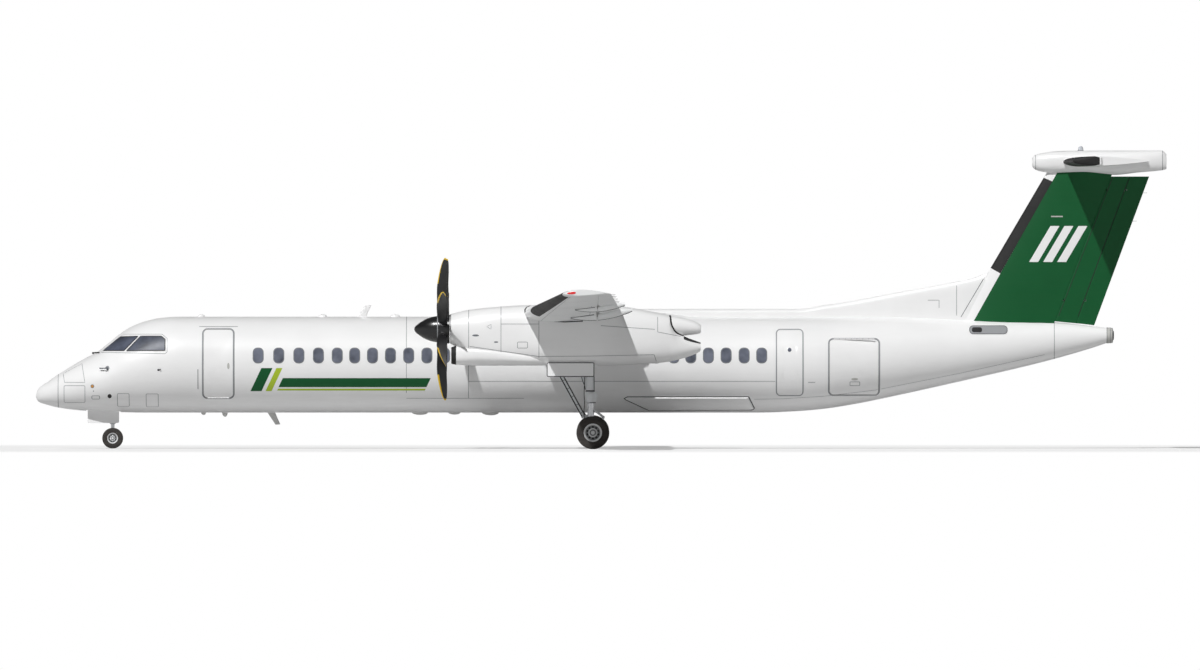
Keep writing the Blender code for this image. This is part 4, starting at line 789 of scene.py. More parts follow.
class Nodes:
    """A short way to place nodes in a tree and join them."""

    def __init__(self, tree):
        self.tree = tree

    def place(self, kind, inputs=None, **settings):
        node = self.tree.nodes.new(kind if kind.startswith("NodeGroup") else "ShaderNode" + kind)
        for name, value in settings.items():
            setattr(node, name, value)
        self.feed(node, inputs or {})
        return node

    def feed(self, node, inputs):
        for socket, value in inputs.items():
            if isinstance(value, bpy.types.NodeSocket):
                self.tree.links.new(value, node.inputs[socket])
            else:
                node.inputs[socket].default_value = value

    def multiply(self, first, second):
        return self.place("Math", {0: first, 1: second}, operation="MULTIPLY").outputs[0]

    def blend(self, factor, first, second):
        return self.place("Mix", {0: factor, 6: first, 7: second}, data_type="RGBA").outputs[2]

    def spread(self, value, low, high, new_low, new_high):
        inputs = {"Value": value, "From Min": low, "From Max": high, "To Min": new_low, "To Max": new_high}
        return self.place("MapRange", inputs).outputs[0]

    def noise(self, where, size, detail=3.0, roughness=0.55):
        inputs = {"Vector": where, "Scale": size, "Detail": detail, "Roughness": roughness}
        return self.place("TexNoise", inputs).outputs[0]


def shader_group(name, inputs, outputs):
    """An empty node group with named sockets."""
    group = bpy.data.node_groups.new(name, "ShaderNodeTree")
    for title, kind, value in inputs:
        group.interface.new_socket(title, in_out="INPUT", socket_type="NodeSocket" + kind).default_value = value
    for title, kind in outputs:
        group.interface.new_socket(title, in_out="OUTPUT", socket_type="NodeSocket" + kind)
    nodes = Nodes(group)
    return nodes, nodes.place("NodeGroupInput").outputs, nodes.place("NodeGroupOutput")


def make_tone_group():
    """Paint that differs a little from panel to panel and fades in clouds."""
    nodes, given, result = shader_group(
        "paint tone", [("Colour", "Color", (1, 1, 1, 1)), ("Variation", "Float", 0.04), ("Size", "Float", 0.8)],
        [("Colour", "Color"), ("Cloud", "Float")])
    where = nodes.place("TexCoord").outputs["Object"]
    cloud = nodes.noise(where, given["Size"])
    dark = nodes.place("Math", {0: 1.0, 1: nodes.multiply(given["Variation"], 2.0)}, operation="SUBTRACT").outputs[0]
    level = nodes.spread(cloud, 0.35, 0.65, dark, 1.0)
    grey = nodes.place("CombineColor", {0: level, 1: level, 2: level}).outputs[0]
    tinted = nodes.place("Mix", {0: 1.0, 6: given["Colour"], 7: grey}, data_type="RGBA", blend_type="MULTIPLY")
    nodes.feed(result, {"Colour": tinted.outputs[2], "Cloud": cloud})
    return nodes.tree


def make_film_group():
    """The film of dirt that the air drags along the skin, heavier underneath."""
    nodes, given, result = shader_group(
        "weather film", [("Colour", "Color", (1, 1, 1, 1)), ("Dirt", "Color", (0.2, 0.17, 0.14, 1)),
                         ("Amount", "Float", 0.2)], [("Colour", "Color"), ("Mask", "Float")])
    where = nodes.place("TexCoord").outputs["Object"]
    drawn = nodes.place("Mapping", {"Vector": where, "Scale": (0.5, 5.0, 5.0)}).outputs[0]
    streaks = nodes.spread(nodes.noise(drawn, 1.6, 5.0, 0.65), 0.42, 0.72, 0.0, 1.0)
    up = nodes.place("SeparateXYZ", {0: nodes.place("NewGeometry").outputs["Normal"]}).outputs[2]
    under = nodes.spread(up, 0.1, -0.9, 0.25, 1.0)
    mask = nodes.multiply(nodes.multiply(streaks, under), given["Amount"])
    nodes.feed(result, {"Colour": nodes.blend(mask, given["Colour"], given["Dirt"]), "Mask": mask})
    return nodes.tree


def make_edge_group():
    """Where an edge is rubbed through to what lies below."""
    nodes, given, result = shader_group(
        "rubbed edge", [("Colour", "Color", (1, 1, 1, 1)), ("Bare", "Color", (0.5, 0.5, 0.5, 1)),
                        ("Width", "Float", 0.004), ("Amount", "Float", 0.5)], [("Colour", "Color"), ("Mask", "Float")])
    rounded_off = nodes.place("Bevel", {"Radius": given["Width"]}, samples=4).outputs[0]
    flat = nodes.place("NewGeometry").outputs["Normal"]
    match = nodes.place("VectorMath", {0: rounded_off, 1: flat}, operation="DOT_PRODUCT").outputs["Value"]
    edge = nodes.spread(match, 0.985, 0.86, 0.0, 1.0)
    where = nodes.place("TexCoord").outputs["Object"]
    patchy = nodes.spread(nodes.noise(where, 22.0, 4.0), 0.40, 0.60, 0.0, 1.0)
    mask = nodes.multiply(nodes.multiply(edge, patchy), given["Amount"])
    nodes.feed(result, {"Colour": nodes.blend(mask, given["Colour"], given["Bare"]), "Mask": mask})
    return nodes.tree


def make_grain_group():
    """A fine uneven surface, such as orange peel in paint or the pores of rubber."""
    nodes, given, result = shader_group(
        "surface grain", [("Scale", "Float", 120.0), ("Depth", "Float", 0.0005), ("Strength", "Float", 0.3)],
        [("Normal", "Vector"), ("Height", "Float")])
    where = nodes.place("TexCoord").outputs["Object"]
    height = nodes.noise(where, given["Scale"], 4.0)
    bump = nodes.place("Bump", {"Strength": given["Strength"], "Distance": given["Depth"], "Height": height})
    nodes.feed(result, {"Normal": bump.outputs[0], "Height": height})
    return nodes.tree


tone_group, film_group = make_tone_group(), make_film_group()
edge_group, grain_group = make_edge_group(), make_grain_group()


def finish_of(name, colour, roughness, metallic=0.0, tone=0.03, tone_size=0.8, film=0.1, dirt=(0.16, 0.14, 0.11, 1),
              worn=0.0, bare=(0.45, 0.45, 0.45, 1), worn_width=0.004, grain=90.0, depth=0.0004, strength=0.2,
              coat=0.0, roughness_swing=0.08, gloss=0.5):
    """A material of one colour with its tone, dirt, wear and grain."""
    material = bpy.data.materials.new(name)
    material.use_nodes = True
    nodes = Nodes(material.node_tree)
    shader = material.node_tree.nodes["Principled BSDF"]

    def grouped(group, inputs):
        return nodes.place("Group", inputs, node_tree=group).outputs

    toned = grouped(tone_group, {"Colour": colour, "Variation": tone, "Size": tone_size})
    filmed = grouped(film_group, {"Colour": toned["Colour"], "Dirt": dirt, "Amount": film})
    shown = filmed["Colour"]
    if worn:
        shown = grouped(edge_group, {"Colour": shown, "Bare": bare, "Width": worn_width, "Amount": worn})["Colour"]
    rough = nodes.spread(toned["Cloud"], 0.3, 0.7, roughness - roughness_swing / 2, roughness + roughness_swing / 2)
    surface = grouped(grain_group, {"Scale": grain, "Depth": depth, "Strength": strength})
    nodes.feed(shader, {"Base Color": shown, "Roughness": rough, "Normal": surface["Normal"],
                        "Metallic": metallic, "Coat Weight": coat, "Specular IOR Level": gloss})
    return material


def make_paints():
    """Every finish on the airliner, by name."""
    metal_grey = (0.42, 0.42, 0.43, 1)
    rows = {
        "white_paint": dict(colour=(0.90, 0.90, 0.90, 1), roughness=0.34, tone=0.012, film=0.05, coat=0.3),
        "wing_paint": dict(colour=(0.86, 0.87, 0.87, 1), roughness=0.38, tone=0.02, film=0.08, coat=0.2),
        "green_paint": dict(colour=srgb(2, 86, 42), roughness=0.5, tone=0.03, film=0.03, gloss=0.3),
        "dark_green": dict(colour=srgb(0, 84, 40), roughness=0.45, tone=0.02, film=0.02, gloss=0.3),
        "lime_green": dict(colour=srgb(172, 196, 40), roughness=0.38, tone=0.02, film=0.02),
        "window_rim": dict(colour=srgb(112, 116, 122), roughness=0.4, tone=0.03, film=0.05),
        "spinner_black": dict(colour=srgb(24, 24, 26), roughness=0.28, tone=0.04, film=0.06, coat=0.5),
        "seam_line": dict(colour=srgb(150, 152, 155), roughness=0.6, tone=0.05, film=0.1),
        "door_line": dict(colour=srgb(150, 152, 156), roughness=0.5, tone=0.03, film=0.1),
        "deice_boot": dict(colour=srgb(22, 22, 23), roughness=0.66, tone=0.08, film=0.08, grain=260, depth=0.0006,
                           strength=0.4, roughness_swing=0.15),
        "pane_frame": dict(colour=srgb(52, 54, 58), roughness=0.5, tone=0.04, film=0.06),
        "carpet_grey": dict(colour=srgb(96, 98, 104), roughness=0.95, tone=0.12, tone_size=6.0, film=0.1, grain=700,
                            depth=0.002, strength=0.9),
        "blade_black": dict(colour=srgb(30, 30, 32), roughness=0.45, tone=0.06, film=0.12, worn=0.5,
                            bare=metal_grey, worn_width=0.006),
        "blade_yellow": dict(colour=srgb(236, 196, 40), roughness=0.5, tone=0.05, film=0.08),
        "bare_metal": dict(colour=(0.62, 0.62, 0.63, 1), roughness=0.30, metallic=1.0, tone=0.05, film=0.05),
        "gear_paint": dict(colour=srgb(226, 228, 230), roughness=0.42, tone=0.04, film=0.25, worn=0.3, bare=metal_grey),
        "chrome_rod": dict(colour=(0.72, 0.73, 0.75, 1), roughness=0.16, metallic=1.0, tone=0.02, film=0.05),
        "wheel_paint": dict(colour=srgb(226, 227, 228), roughness=0.45, tone=0.04, film=0.25, worn=0.4,
                            bare=metal_grey),
        "tyre_rubber": dict(colour=srgb(52, 48, 46), roughness=0.82, tone=0.12, tone_size=4.0, film=0.35,
                            dirt=(0.22, 0.20, 0.17, 1), grain=400, depth=0.0010, strength=0.6),
        # rim_shade is a mid grey: painted shade on the wheels' recessed dish, and the plain colour of the brace's
        # rungs.
        "rim_shade": dict(colour=srgb(122, 124, 126), roughness=0.5, tone=0.06, film=0.3, worn=0.3, bare=metal_grey),
        "dark_steel": dict(colour=(0.10, 0.10, 0.105, 1), roughness=0.5, metallic=0.8, tone=0.08, film=0.2, worn=0.4),
        "hot_metal": dict(colour=(0.16, 0.13, 0.11, 1), roughness=0.48, metallic=1.0, tone=0.25, tone_size=5.0,
                          film=0.3, dirt=(0.04, 0.035, 0.03, 1)),
        "hose_rubber": dict(colour=(0.02, 0.02, 0.02, 1), roughness=0.6, tone=0.1, tone_size=8.0, film=0.1),
        "bay_green": dict(colour=srgb(150, 158, 120), roughness=0.55, tone=0.06, film=0.3),
        "lining_grey": dict(colour=srgb(188, 188, 184), roughness=0.6, tone=0.03, tone_size=3.0, film=0.06),
        "tread_black": dict(colour=srgb(40, 40, 42), roughness=0.85, tone=0.1, film=0.1, grain=500, depth=0.001,
                            strength=0.8),
        "antenna_grey": dict(colour=srgb(206, 206, 204), roughness=0.55, tone=0.06, film=0.1),
    }
    return {name: finish_of(name, **values) for name, values in rows.items()}


def pane_with_cabin_shade(name, colour, roughness, coat=0.3, gloss=0.5):
    """Glass over an unlit cabin, with a hard gloss; its dark colour is a slight tint plus painted shade of the cabin
    behind.
    """
    return finish_of(name, colour, roughness, tone=0.3, tone_size=1.6, film=0.03, grain=2.0, depth=0.002,
                     strength=0.08, coat=coat, roughness_swing=0.02, gloss=gloss)


def lens_of(name, colour, glow):
    """A lamp's coloured cover."""
    material = finish_of(name, colour, 0.12, tone=0.15, tone_size=20, film=0.05, grain=60, depth=0.001, strength=0.4,
                         coat=1.0)
    shader = material.node_tree.nodes["Principled BSDF"]
    shader.inputs["Emission Color"].default_value = colour
    shader.inputs["Emission Strength"].default_value = glow
    return material


paints = make_paints()
# The panes are opaque: their dark blue-grey is painted shade of the unlit cabin and flight deck behind them.
paints["cabin_glass"] = pane_with_cabin_shade("cabin_glass", srgb(116, 121, 136), 0.2)
paints["cockpit_glass"] = pane_with_cabin_shade("cockpit_glass", srgb(88, 94, 110), 0.4, coat=0.0, gloss=0.35)
paints["red_lens"] = lens_of("red_lens", srgb(214, 20, 24), 0.4)
paints["green_lens"] = lens_of("green_lens", srgb(20, 150, 70), 0.4)
paints["amber_lens"] = lens_of("amber_lens", srgb(214, 150, 66), 0.1)
paints["clear_lens"] = lens_of("clear_lens", srgb(206, 210, 216), 0.08)


# Pieces

def joined(*shapes):
    """Several shapes as one."""
    points, faces = [], []
    for more_points, more_faces in shapes:
        base = len(points)
        points += more_points
        faces += [tuple(base + index for index in face) for face in more_faces]
    return points, faces


def turned_by(shape, matrix):
    points, faces = shape
    moved = [matrix @ point for point in points]
    return moved, faces if matrix.to_3x3().determinant() > 0 else [tuple(reversed(face)) for face in faces]


def put_in_scene(name, data):
    """A new object of the scene."""
    made = bpy.data.objects.new(name, data)
    bpy.context.scene.collection.objects.link(made)
    return made


def piece_of(name, parts, body, replaces=(), sharp=BODY_SHARP, weld=False):
    """A piece of shapes, each with its paint, that rides on a body."""
    mesh = bpy.data.meshes.new(name)
    points, faces = joined(*(shape for shape, _ in parts))
    mesh.from_pydata(points, [], faces)
    order = []
    for _, paint in parts:
        if paint not in order:
            order.append(paint)
            mesh.materials.append(paints[paint])
    indices = [order.index(paint) for shape, paint in parts for _ in shape[1]]
    mesh.polygons.foreach_set("material_index", indices)
    piece = put_in_scene(name, mesh)
    if weld:
        working = bmesh.new()
        working.from_mesh(mesh)
        bmesh.ops.remove_doubles(working, verts=working.verts, dist=1e-5)
        working.to_mesh(mesh)
        working.free()
    mesh.shade_smooth()
    mesh.set_sharp_from_angle(angle=math.radians(sharp))
    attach(piece, body)
    if replaces:
        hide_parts(*replaces)
    return piece


def tool_of(shape):
    """A hidden shape to cut with."""
    mesh = bpy.data.meshes.new("tool")
    mesh.from_pydata(shape[0], [], shape[1])
    return put_in_scene("tool", mesh)


def cut_from(piece, shapes, sharp=BODY_SHARP, lining=None):
    """Cuts shapes out of a piece; the cut faces may get a paint of their own."""
    if lining and paints[lining].name not in piece.data.materials:
        piece.data.materials.append(paints[lining])
    for shape in shapes:
        tool = tool_of(shape)
        if lining:
            tool.data.materials.append(paints[lining])
        step = piece.modifiers.new("cut", "BOOLEAN")
        step.operation, step.solver, step.object = "DIFFERENCE", "EXACT", tool
        step.material_mode = "TRANSFER" if lining else "INDEX"
        graph = bpy.context.evaluated_depsgraph_get()
        result = bpy.data.meshes.new_from_object(piece.evaluated_get(graph))
        piece.modifiers.clear()
        old = piece.data
        piece.data = result
        bpy.data.meshes.remove(old)
        bpy.data.objects.remove(tool)
    piece.data.shade_smooth()
    piece.data.set_sharp_from_angle(angle=math.radians(sharp))


# Fuselage

BODY_STATIONS = ([NOSE_X, -16.395, -16.38, -16.36, -16.33, -16.29, -16.24, -16.18, -16.116, -16.04, -15.95, -15.86]
                 + steps(-15.76, -12.1, 74) + steps(-11.8, 4.6, 48) + steps(4.9, 14.55, 60) + [CONE_END_X])
BODY_SIDES = 120
WINDOW_PXS = [258.8, 279.3, 299.4, 318.9, 337.7, 355.1, 372.9, 390.8, 409.0, 427.2, 444.8, 462.4, 480.0,
              497.6, 515.2, 532.8, 550.4, 568.0, 585.6, 603.2, 620.8, 638.4, 656.0, 673.7, 690.6, 708.2,
              725.9, 743.9, 761.4]
LEFT, RIGHT = hull.side(-1), hull.side(1)


def door_outline(door, gap=0.0):
    outline = rounded(*door, DOOR_CORNER)
    return spread(outline, gap) if gap else outline


def door_well(cover, door, hinge_z):
    """The space cut in the hull behind a door, with tight corners along the hinge."""
    wide, tight = rounded(*door, DOOR_CORNER), rounded(*door, HINGE_CORNER)
    half = len(wide) // 2
    outline = wide[:half] + tight[half:] if hinge_z == door[2] else tight[:half] + wide[half:]
    return skin_shell(cover, spread(outline, DOOR_GAP), 0.03, -RECESS_DEPTH)


def make_hull():
    """The pressure hull from the radome's tip to the tail cone, with its door wells and nose bay."""
    skin = lofted([hull.ring(x, BODY_SIDES) for x in BODY_STATIONS])
    piece = piece_of("fuselage_skin", [(skin, "white_paint")], "airframe", ("fuselage", "radome"))
    cut_from(piece, [door_well(LEFT, AIRSTAIR, AIRSTAIR[2]), door_well(LEFT, AFT_BAGGAGE, AFT_BAGGAGE[3]),
                     door_well(RIGHT, FORWARD_BAGGAGE, FORWARD_BAGGAGE[3])],
             lining="lining_grey")
    low, high, half, top = NOSE_BAY
    cut_from(piece, [block((low, -half, 0.5), (high, half, top), 0)], lining="bay_green")


def make_tail_cap():
    """The end of the tail cone with the small engine's outlet in it."""
    top, bottom = body_section(CONE_END_X)[:2]
    middle = (top + bottom) / 2
    cap = [(0.0, 0.232), (0.03, 0.231), (0.10, 0.226), (0.168, 0.218), (0.182, 0.196), (0.186, 0.15), (0.196, 0.135),
           (0.208, 0.115), (0.213, 0.09), (0.160, 0.088), (0.10, 0.086), (0.10, 0.0)]
    place = (CONE_END_X, 0, middle), (1, 0, 0), 64
    shell = turned([(-0.02, 0.20)] + cap[:6], *place)
    outlet = turned(cap[5:], *place)
    parts = [(shell, "lining_grey"), (outlet, "dark_steel")]
    for x, level in ((0.004, 0.232), (0.098, 0.226), (0.152, 0.220)):
        end, low, high = x + 0.012, level - 0.004, level + 0.003
        parts.append((turned([(x, low), (x, high), (end, high), (end, low)], *place), "window_rim"))
    piece_of("tail_cone_cap", parts, "airframe", ("tail_cone",))


def make_cabin_windows():
    """Oval cabin windows on both sides, each a pane in a raised frame."""
    profile = rimmed([(1.0, -0.004)], 0.0035, 0.98, 0.6)
    parts = []
    for cover in (LEFT, RIGHT):
        for px in WINDOW_PXS:
            (x, low_z), (_, high_z) = seen_path((px, WINDOW_FOOT_PY), (px, WINDOW_TOP_PY))
            if cover is RIGHT and FORWARD_EXIT[0] - 0.25 < x < FORWARD_EXIT[1] + 0.25:
                continue
            outline = rounded(x - WINDOW_HALF_WIDTH, x + WINDOW_HALF_WIDTH, low_z, high_z, WINDOW_CORNER, 5)
            parts.append((plate_on(cover, outline, profile, 0.1), "cabin_glass"))
            rim = spread(outline, 0.006)
            parts.append((strip_on(cover, rim, 0.030, 0.005, 0.05, closed=True), "window_rim"))
    piece_of("cabin_windows", parts, "airframe")


def make_cockpit_glass():
    """The flight deck's panes, their frames and the wipers."""
    for cover, word in ((LEFT, "left"), (RIGHT, "right")):
        for outline, node in ((WINDSHIELD, "windshield_"), (SIDE_WINDOW, "side_window_")):
            pane = plate_on(cover, outline, rimmed([(1.0, -0.01), (0.995, 0.004)], 0.005, 0.75, 0.45), 0.05)
            frame_rim = strip_on(cover, spread(outline, 0.004), 0.034, 0.007, 0.05, closed=True)
            piece_of(node + "pane_" + word, [(pane, "cockpit_glass"), (frame_rim, "pane_frame")], "airframe",
                     (node + word,))
        surround = seen_path((101.2, 352.3), (123.9, 334.2), (162.6, 334.2), (167.8, 338.5), (167.8, 352.0),
                             (165.8, 353.7))
        band = strip_on(cover, surround, 0.016, 0.002, 0.06, closed=True)
        wiper = strip_on(cover, seen_path((92, 353), (100, 353)), 0.05, 0.02, 0.05)
        piece_of("windshield_surround_" + word, [(band, "seam_line"), (wiper, "deice_boot")], "airframe")


def make_hinged_doors():
    """The airstair door and the two baggage doors, each a shell of skin with its hinge barrel."""
    rows = [("airstair_door", LEFT, -1, AIRSTAIR, AIRSTAIR[2]),
            ("aft_baggage_door", LEFT, -1, AFT_BAGGAGE, AFT_BAGGAGE[3]),
            ("forward_baggage_door", RIGHT, 1, FORWARD_BAGGAGE, FORWARD_BAGGAGE[3])]
    for name, cover, out, door, hinge_z in rows:
        shell = skin_shell(cover, door_outline(door), 0.0, -DOOR_DEPTH)
        ends = [hull.at_height(x, hinge_z, out) for x in (door[0] + DOOR_CORNER, door[1] - DOOR_CORNER)]
        reach = max(abs(end.y) for end in ends)
        start, end = (Vector((point.x, out * reach, point.z)) for point in ends)
        parts = [(shell, "white_paint")]
        for k in range(HINGE_KNUCKLES):
            low, high = (start.lerp(end, (k + part) / HINGE_KNUCKLES) for part in (0.04, 0.96))
            parts.append((bar(low, high, KNUCKLE_RADIUS, 16), "white_paint"))
        parts.append((bar(start, end, HINGE_PIN_RADIUS, 12), "bare_metal"))
        edge = spread(door_outline(door), -0.006)
        parts.append((strip_on(cover, edge, 0.008, 0.001, 0.08, closed=True), "door_line"))
        piece_of(name + "_panel", parts, name, (name,))
        outer = door_outline(door, DOOR_GAP + 0.016)
        line = strip_on(cover, outer, DOOR_LINE_WIDTH, PAINT_LIFT, 0.08, closed=True)
        piece_of(name + "_surround", [(line, "door_line")], "airframe")


def door_liner(cover, door):
    """The lining on a hinged door's inner side."""
    profile = rimmed([(1.0, -DOOR_DEPTH - 0.001)], -DOOR_DEPTH - 0.004, 0.99, 0.6)
    return plate_on(cover, spread(door_outline(door), -LINER_INSET), profile, 0.08), "lining_grey"


def make_rooms():
    """The entrance behind the airstair door and the holds behind the baggage doors, cut in the hull."""
    hull_piece = bpy.data.objects["fuselage_skin"]
    rows = (("entrance", AIRSTAIR, -1, 0.25, "carpet_grey"), ("aft_hold", AFT_BAGGAGE, -1, 0.45, "bare_metal"),
            ("forward_hold", FORWARD_BAGGAGE, 1, 0.45, "bare_metal"))
    for name, door, side, far, flooring in rows:
        inside = spread(door_outline(door), -LINER_INSET)
        cut_from(hull_piece, [slab(inside, *sorted((side * 1.45, side * far)), 0)], lining="lining_grey")
        low_x, high_x, sill, head = door
        rings = []
        for x in (low_x + 0.13, high_x - 0.13):
            near = abs(hull.at_height(x, sill + 0.04, side).y) - 0.12
            foot, deck = sill + 0.034, sill + 0.046
            rings.append([(x, side * y, z) for y, z in ((far, foot), (near, foot), (near, deck), (far, deck))])
        parts = [(lofted(rings), flooring)]
        for k in (1, 2, 3):
            x, y = mix((low_x, high_x), k / 4), side * far
            rib = block((x - 0.012, y - 0.012, sill + 0.06), (x + 0.012, y + 0.012, head - 0.08), 0.004)
            parts.append((rib, "window_rim"))
        y = side * (far + 0.25)
        lamp = block((low_x + 0.2, y - 0.04, head - 0.046), (high_x - 0.2, y + 0.04, head - 0.034), 0.004)
        piece_of(name + "_lining", parts + [(lamp, "clear_lens")], "airframe")


def make_airstair_steps():
    """Steps, stringers, liner and hand rails on the inner side of the airstair door."""
    low_x, high_x, sill, head = AIRSTAIR
    middle = (low_x + high_x) / 2

    def inner(x, z, lift=0.0):
        return LEFT.lift(x, z, -DOOR_DEPTH - lift)[0]

    lean = math.radians(AIRSTAIR_TRAVEL - 90)
    tread_way = Vector((0, math.sin(lean), math.cos(lean)))
    sideways = Vector((1, 0, 0))
    turn = Matrix((sideways, tread_way, sideways.cross(tread_way))).transposed().to_4x4()
    parts = [door_liner(LEFT, AIRSTAIR)]
    for k in range(6):
        place = Matrix.Translation(inner(middle, sill + 0.26 + 0.26 * k)) @ turn
        parts.append((block((-0.30, -0.03, -0.012), (0.30, 0.17, 0.012), 0.004, place), "bare_metal"))
        parts.append((block((-0.285, 0.0, -0.016), (0.285, 0.16, 0.0165), 0.002, place), "tread_black"))
    for edge in (-1, 1):
        x = middle + edge * 0.31
        rings = []
        for z in steps(sill + 0.16, head - 0.22, 16):
            near, far = inner(x, z, -0.01), inner(x, z, 0.11)
            half = sideways * 0.01
            rings.append([near - half, near + half, far + half, far - half])
        parts.append((lofted(rings), "lining_grey"))
        rail = [inner(x, sill + rise) + Vector((0, reach, lift))
                for rise, reach, lift in ((0.36, 0.0, 0.0), (0.42, 0.30, 0.03), (0.60, 0.42, 0.05),
                                          (1.30, 0.40, 0.0), (1.52, 0.26, 0.0), (1.60, 0.0, 0.0))]
        parts.append((tube(smoothed(rail), 0.014, 14), "bare_metal"))
    piece_of("airstair_steps", parts, "airstair_door")


def make_hold_liners():
    """Liners and latches on the inner sides of the baggage doors."""
    for name, cover, door in (("aft_baggage_door", LEFT, AFT_BAGGAGE),
                              ("forward_baggage_door", RIGHT, FORWARD_BAGGAGE)):
        low_x, high_x, sill, head = door
        depth = -DOOR_DEPTH - 0.005
        parts = [door_liner(cover, door)]
        for part in (0.2, 0.4, 0.6, 0.8):
            x = mix((low_x, high_x), part)
            path = [cover.lift(x, z, depth)[0] for z in steps(sill + 0.10, head - 0.10, 14)]
            parts.append((tube(path, 0.006, 8), "window_rim"))
        latch = [cover.lift(x, sill + 0.12, depth)[0] for x in steps(low_x + 0.15, high_x - 0.15, 8)]
        parts.append((tube(latch, 0.006, 8), "bare_metal"))
        piece_of(name + "_liner", parts, name)


def make_fixed_doors():
    """The doors that have no joint: their seams and surrounds on the skin."""
    for name, cover, door in (("aft_passenger_door", LEFT, AFT_PASSENGER), ("aft_service_door", RIGHT, AFT_SERVICE),
                              ("forward_exit", RIGHT, FORWARD_EXIT)):
        outline = door_outline(door)
        profile = rimmed([(1.0, 0.0005)], 0.003, 0.996, 0.8, 0.5)
        panel = plate_on(cover, spread(outline, -0.012), profile, 0.09)
        line = strip_on(cover, outline, DOOR_LINE_WIDTH, OVER_DOOR_LIFT + SEAM_LIFT, 0.06, closed=True)
        piece_of(name + "_panel", [(panel, "white_paint"), (line, "door_line")], "airframe", (name,))


def make_belly_fairings():
    """The long low fairings on the fuselage's lower sides, under the wing."""
    profile = rimmed([(1.0, -0.002), (0.995, 0.030), (0.985, 0.041)], 0.045, 0.96, 0.7, 0.4)
    for cover, word in ((LEFT, "left"), (RIGHT, "right")):
        shell = plate_on(cover, BELLY_FAIRING, profile, 0.10)
        line = strip_on(cover, spread(BELLY_FAIRING, 0.014), 0.030, PAINT_LIFT, 0.06, closed=True)
        low_path = divided(BELLY_FAIRING[3:] + BELLY_FAIRING[:1], 0.1)
        low_edge = tube([cover.lift(*spot, 0.040)[0] for spot in low_path], 0.011, 8)
        piece_of("belly_fairing_shell_" + word,
                 [(shell, "white_paint"), (line, "pane_frame"), (low_edge, "pane_frame")],
                 "airframe", ("belly_fairing_" + word,))


# Wing

def tip_rings(panel):
    """Sections of the wing, closely spaced where the tip rounds off."""
    rings = [panel.skin(t) for t in steps(0.0, 0.965, 18)]
    for t, size in ((0.975, 1.0), (0.982, 0.985), (0.988, 0.955), (0.993, 0.90), (0.996, 0.82), (0.9975, 0.72)):
        rings.append(shrunk(panel.skin(t), size))
    return rings


def sided(track, side):
    return (side * track[0], *track[1:])


def track_fullness(track, x):
    """How wide a flap track's fairing is at x, as a part of its greatest width."""
    _, front, back, _ = track
    reach = (x - front) / (back - front)
    return max(0.15, math.sin(math.pi * min(0.96, max(0.04, reach))) ** 0.6)


def track_base(panel, track, x):
    """The height of the underside of a flap track's fairing."""
    y, front, back, depth = track
    t = at_y(panel, y)
    reach = min(1.0, max(0.0, (x - front) / (back - front)))
    start = panel.on_skin(t, panel.part_at(t, front), -1).z
    end = panel.point(t, 1.0).z - 0.03
    return mix((start, end), reach**2) - depth * math.sin(math.pi * reach) ** 0.8 - 0.01


def flap_pivot(panel, track):
    x = panel.point(at_y(panel, track[0]), FLAP_START + 0.025).x
    return Vector((x, track[0], track_base(panel, track, x) + 0.04))


def track_fairing(panel, track, low_x, high_x, rear_part):
    """A stretch of a flap track's canoe shaped fairing."""
    rings = []
    y = track[0]
    t = at_y(panel, y)
    for x in steps(low_x, high_x, 14):
        u = panel.part_at(t, x)
        under = panel.point(t, min(u, 1.0), panel.height(t, u, -1)).z
        bottom = track_base(panel, track, x)
        top = max(under, bottom + 0.05) + (0.03 if rear_part else 0.06)
        half = TRACK_HALF_WIDTH * track_fullness(track, x)
        rings.append(oval(x, y, (top + bottom) / 2, half, (top - bottom) / 2, 24))
    return lofted(rings)


def track_keel(panel, track, low_x, high_x):
    """The dark sealed joint along the bottom of a track's fairing."""
    return tube([(x, track[0], track_base(panel, track, x) + 0.002) for x in steps(low_x, high_x, 12)], 0.013, 8)


def track_seals(panel, track, low_x, high_x):
    """The dark seals where a track's fairing meets the wing's underside."""
    y = track[0]
    t = at_y(panel, y)
    seals = []
    for out in (-1, 1):
        path = []
        for x in steps(low_x, high_x, 10):
            level = panel.on_skin(t, panel.part_at(t, x), -1).z - 0.004
            path.append((x, y + out * (TRACK_HALF_WIDTH * track_fullness(track, x) * 0.9 + 0.002), level))
        seals.append(tube(path, 0.008, 8))
    return joined(*seals)


def bay_cutter(panel, reach, start, below, side):
    ends = [side * (reach[0] - SURFACE_END_GAP), side * (reach[1] + SURFACE_END_GAP)]
    return lofted([panel.bay(at_y(panel, y), start, below) for y in steps(*ends, 6)])


def hinge_frame(point, axis, forward):
    """A frame at a hinge point: Z along the axis, X towards what carries the surface."""
    z = axis.normalized()
    x = (forward - z * forward.dot(z)).normalized()
    return Matrix.Translation(point) @ Matrix((x, z.cross(x), z)).transposed().to_4x4()


def lug_notch(point, axis):
    """The slot in a moving surface for a hinge lug."""
    half = NOTCH_HALF_WIDTH
    return block((-NOTCH_NOSE, -0.4, -half), (0.4, 0.4, half), 0, hinge_frame(point, axis, Vector((-1, 0, 0))))


def lug_at(point, axis, reach):
    """A hinge lug with its eye and pin."""
    frame_here = hinge_frame(point, axis, Vector((-1, 0, 0)))
    half, height = LUG_HALF_WIDTH, LUG_HALF_HEIGHT
    z = frame_here.to_3x3() @ Vector((0, 0, half))
    body = block((0, -height, -half), (reach, height, half), 0.003, frame_here)
    return joined(body, bar(point - z, point + z, 0.022, 24)), bar(point - z * 1.25, point + z * 1.25, 0.009, 12)


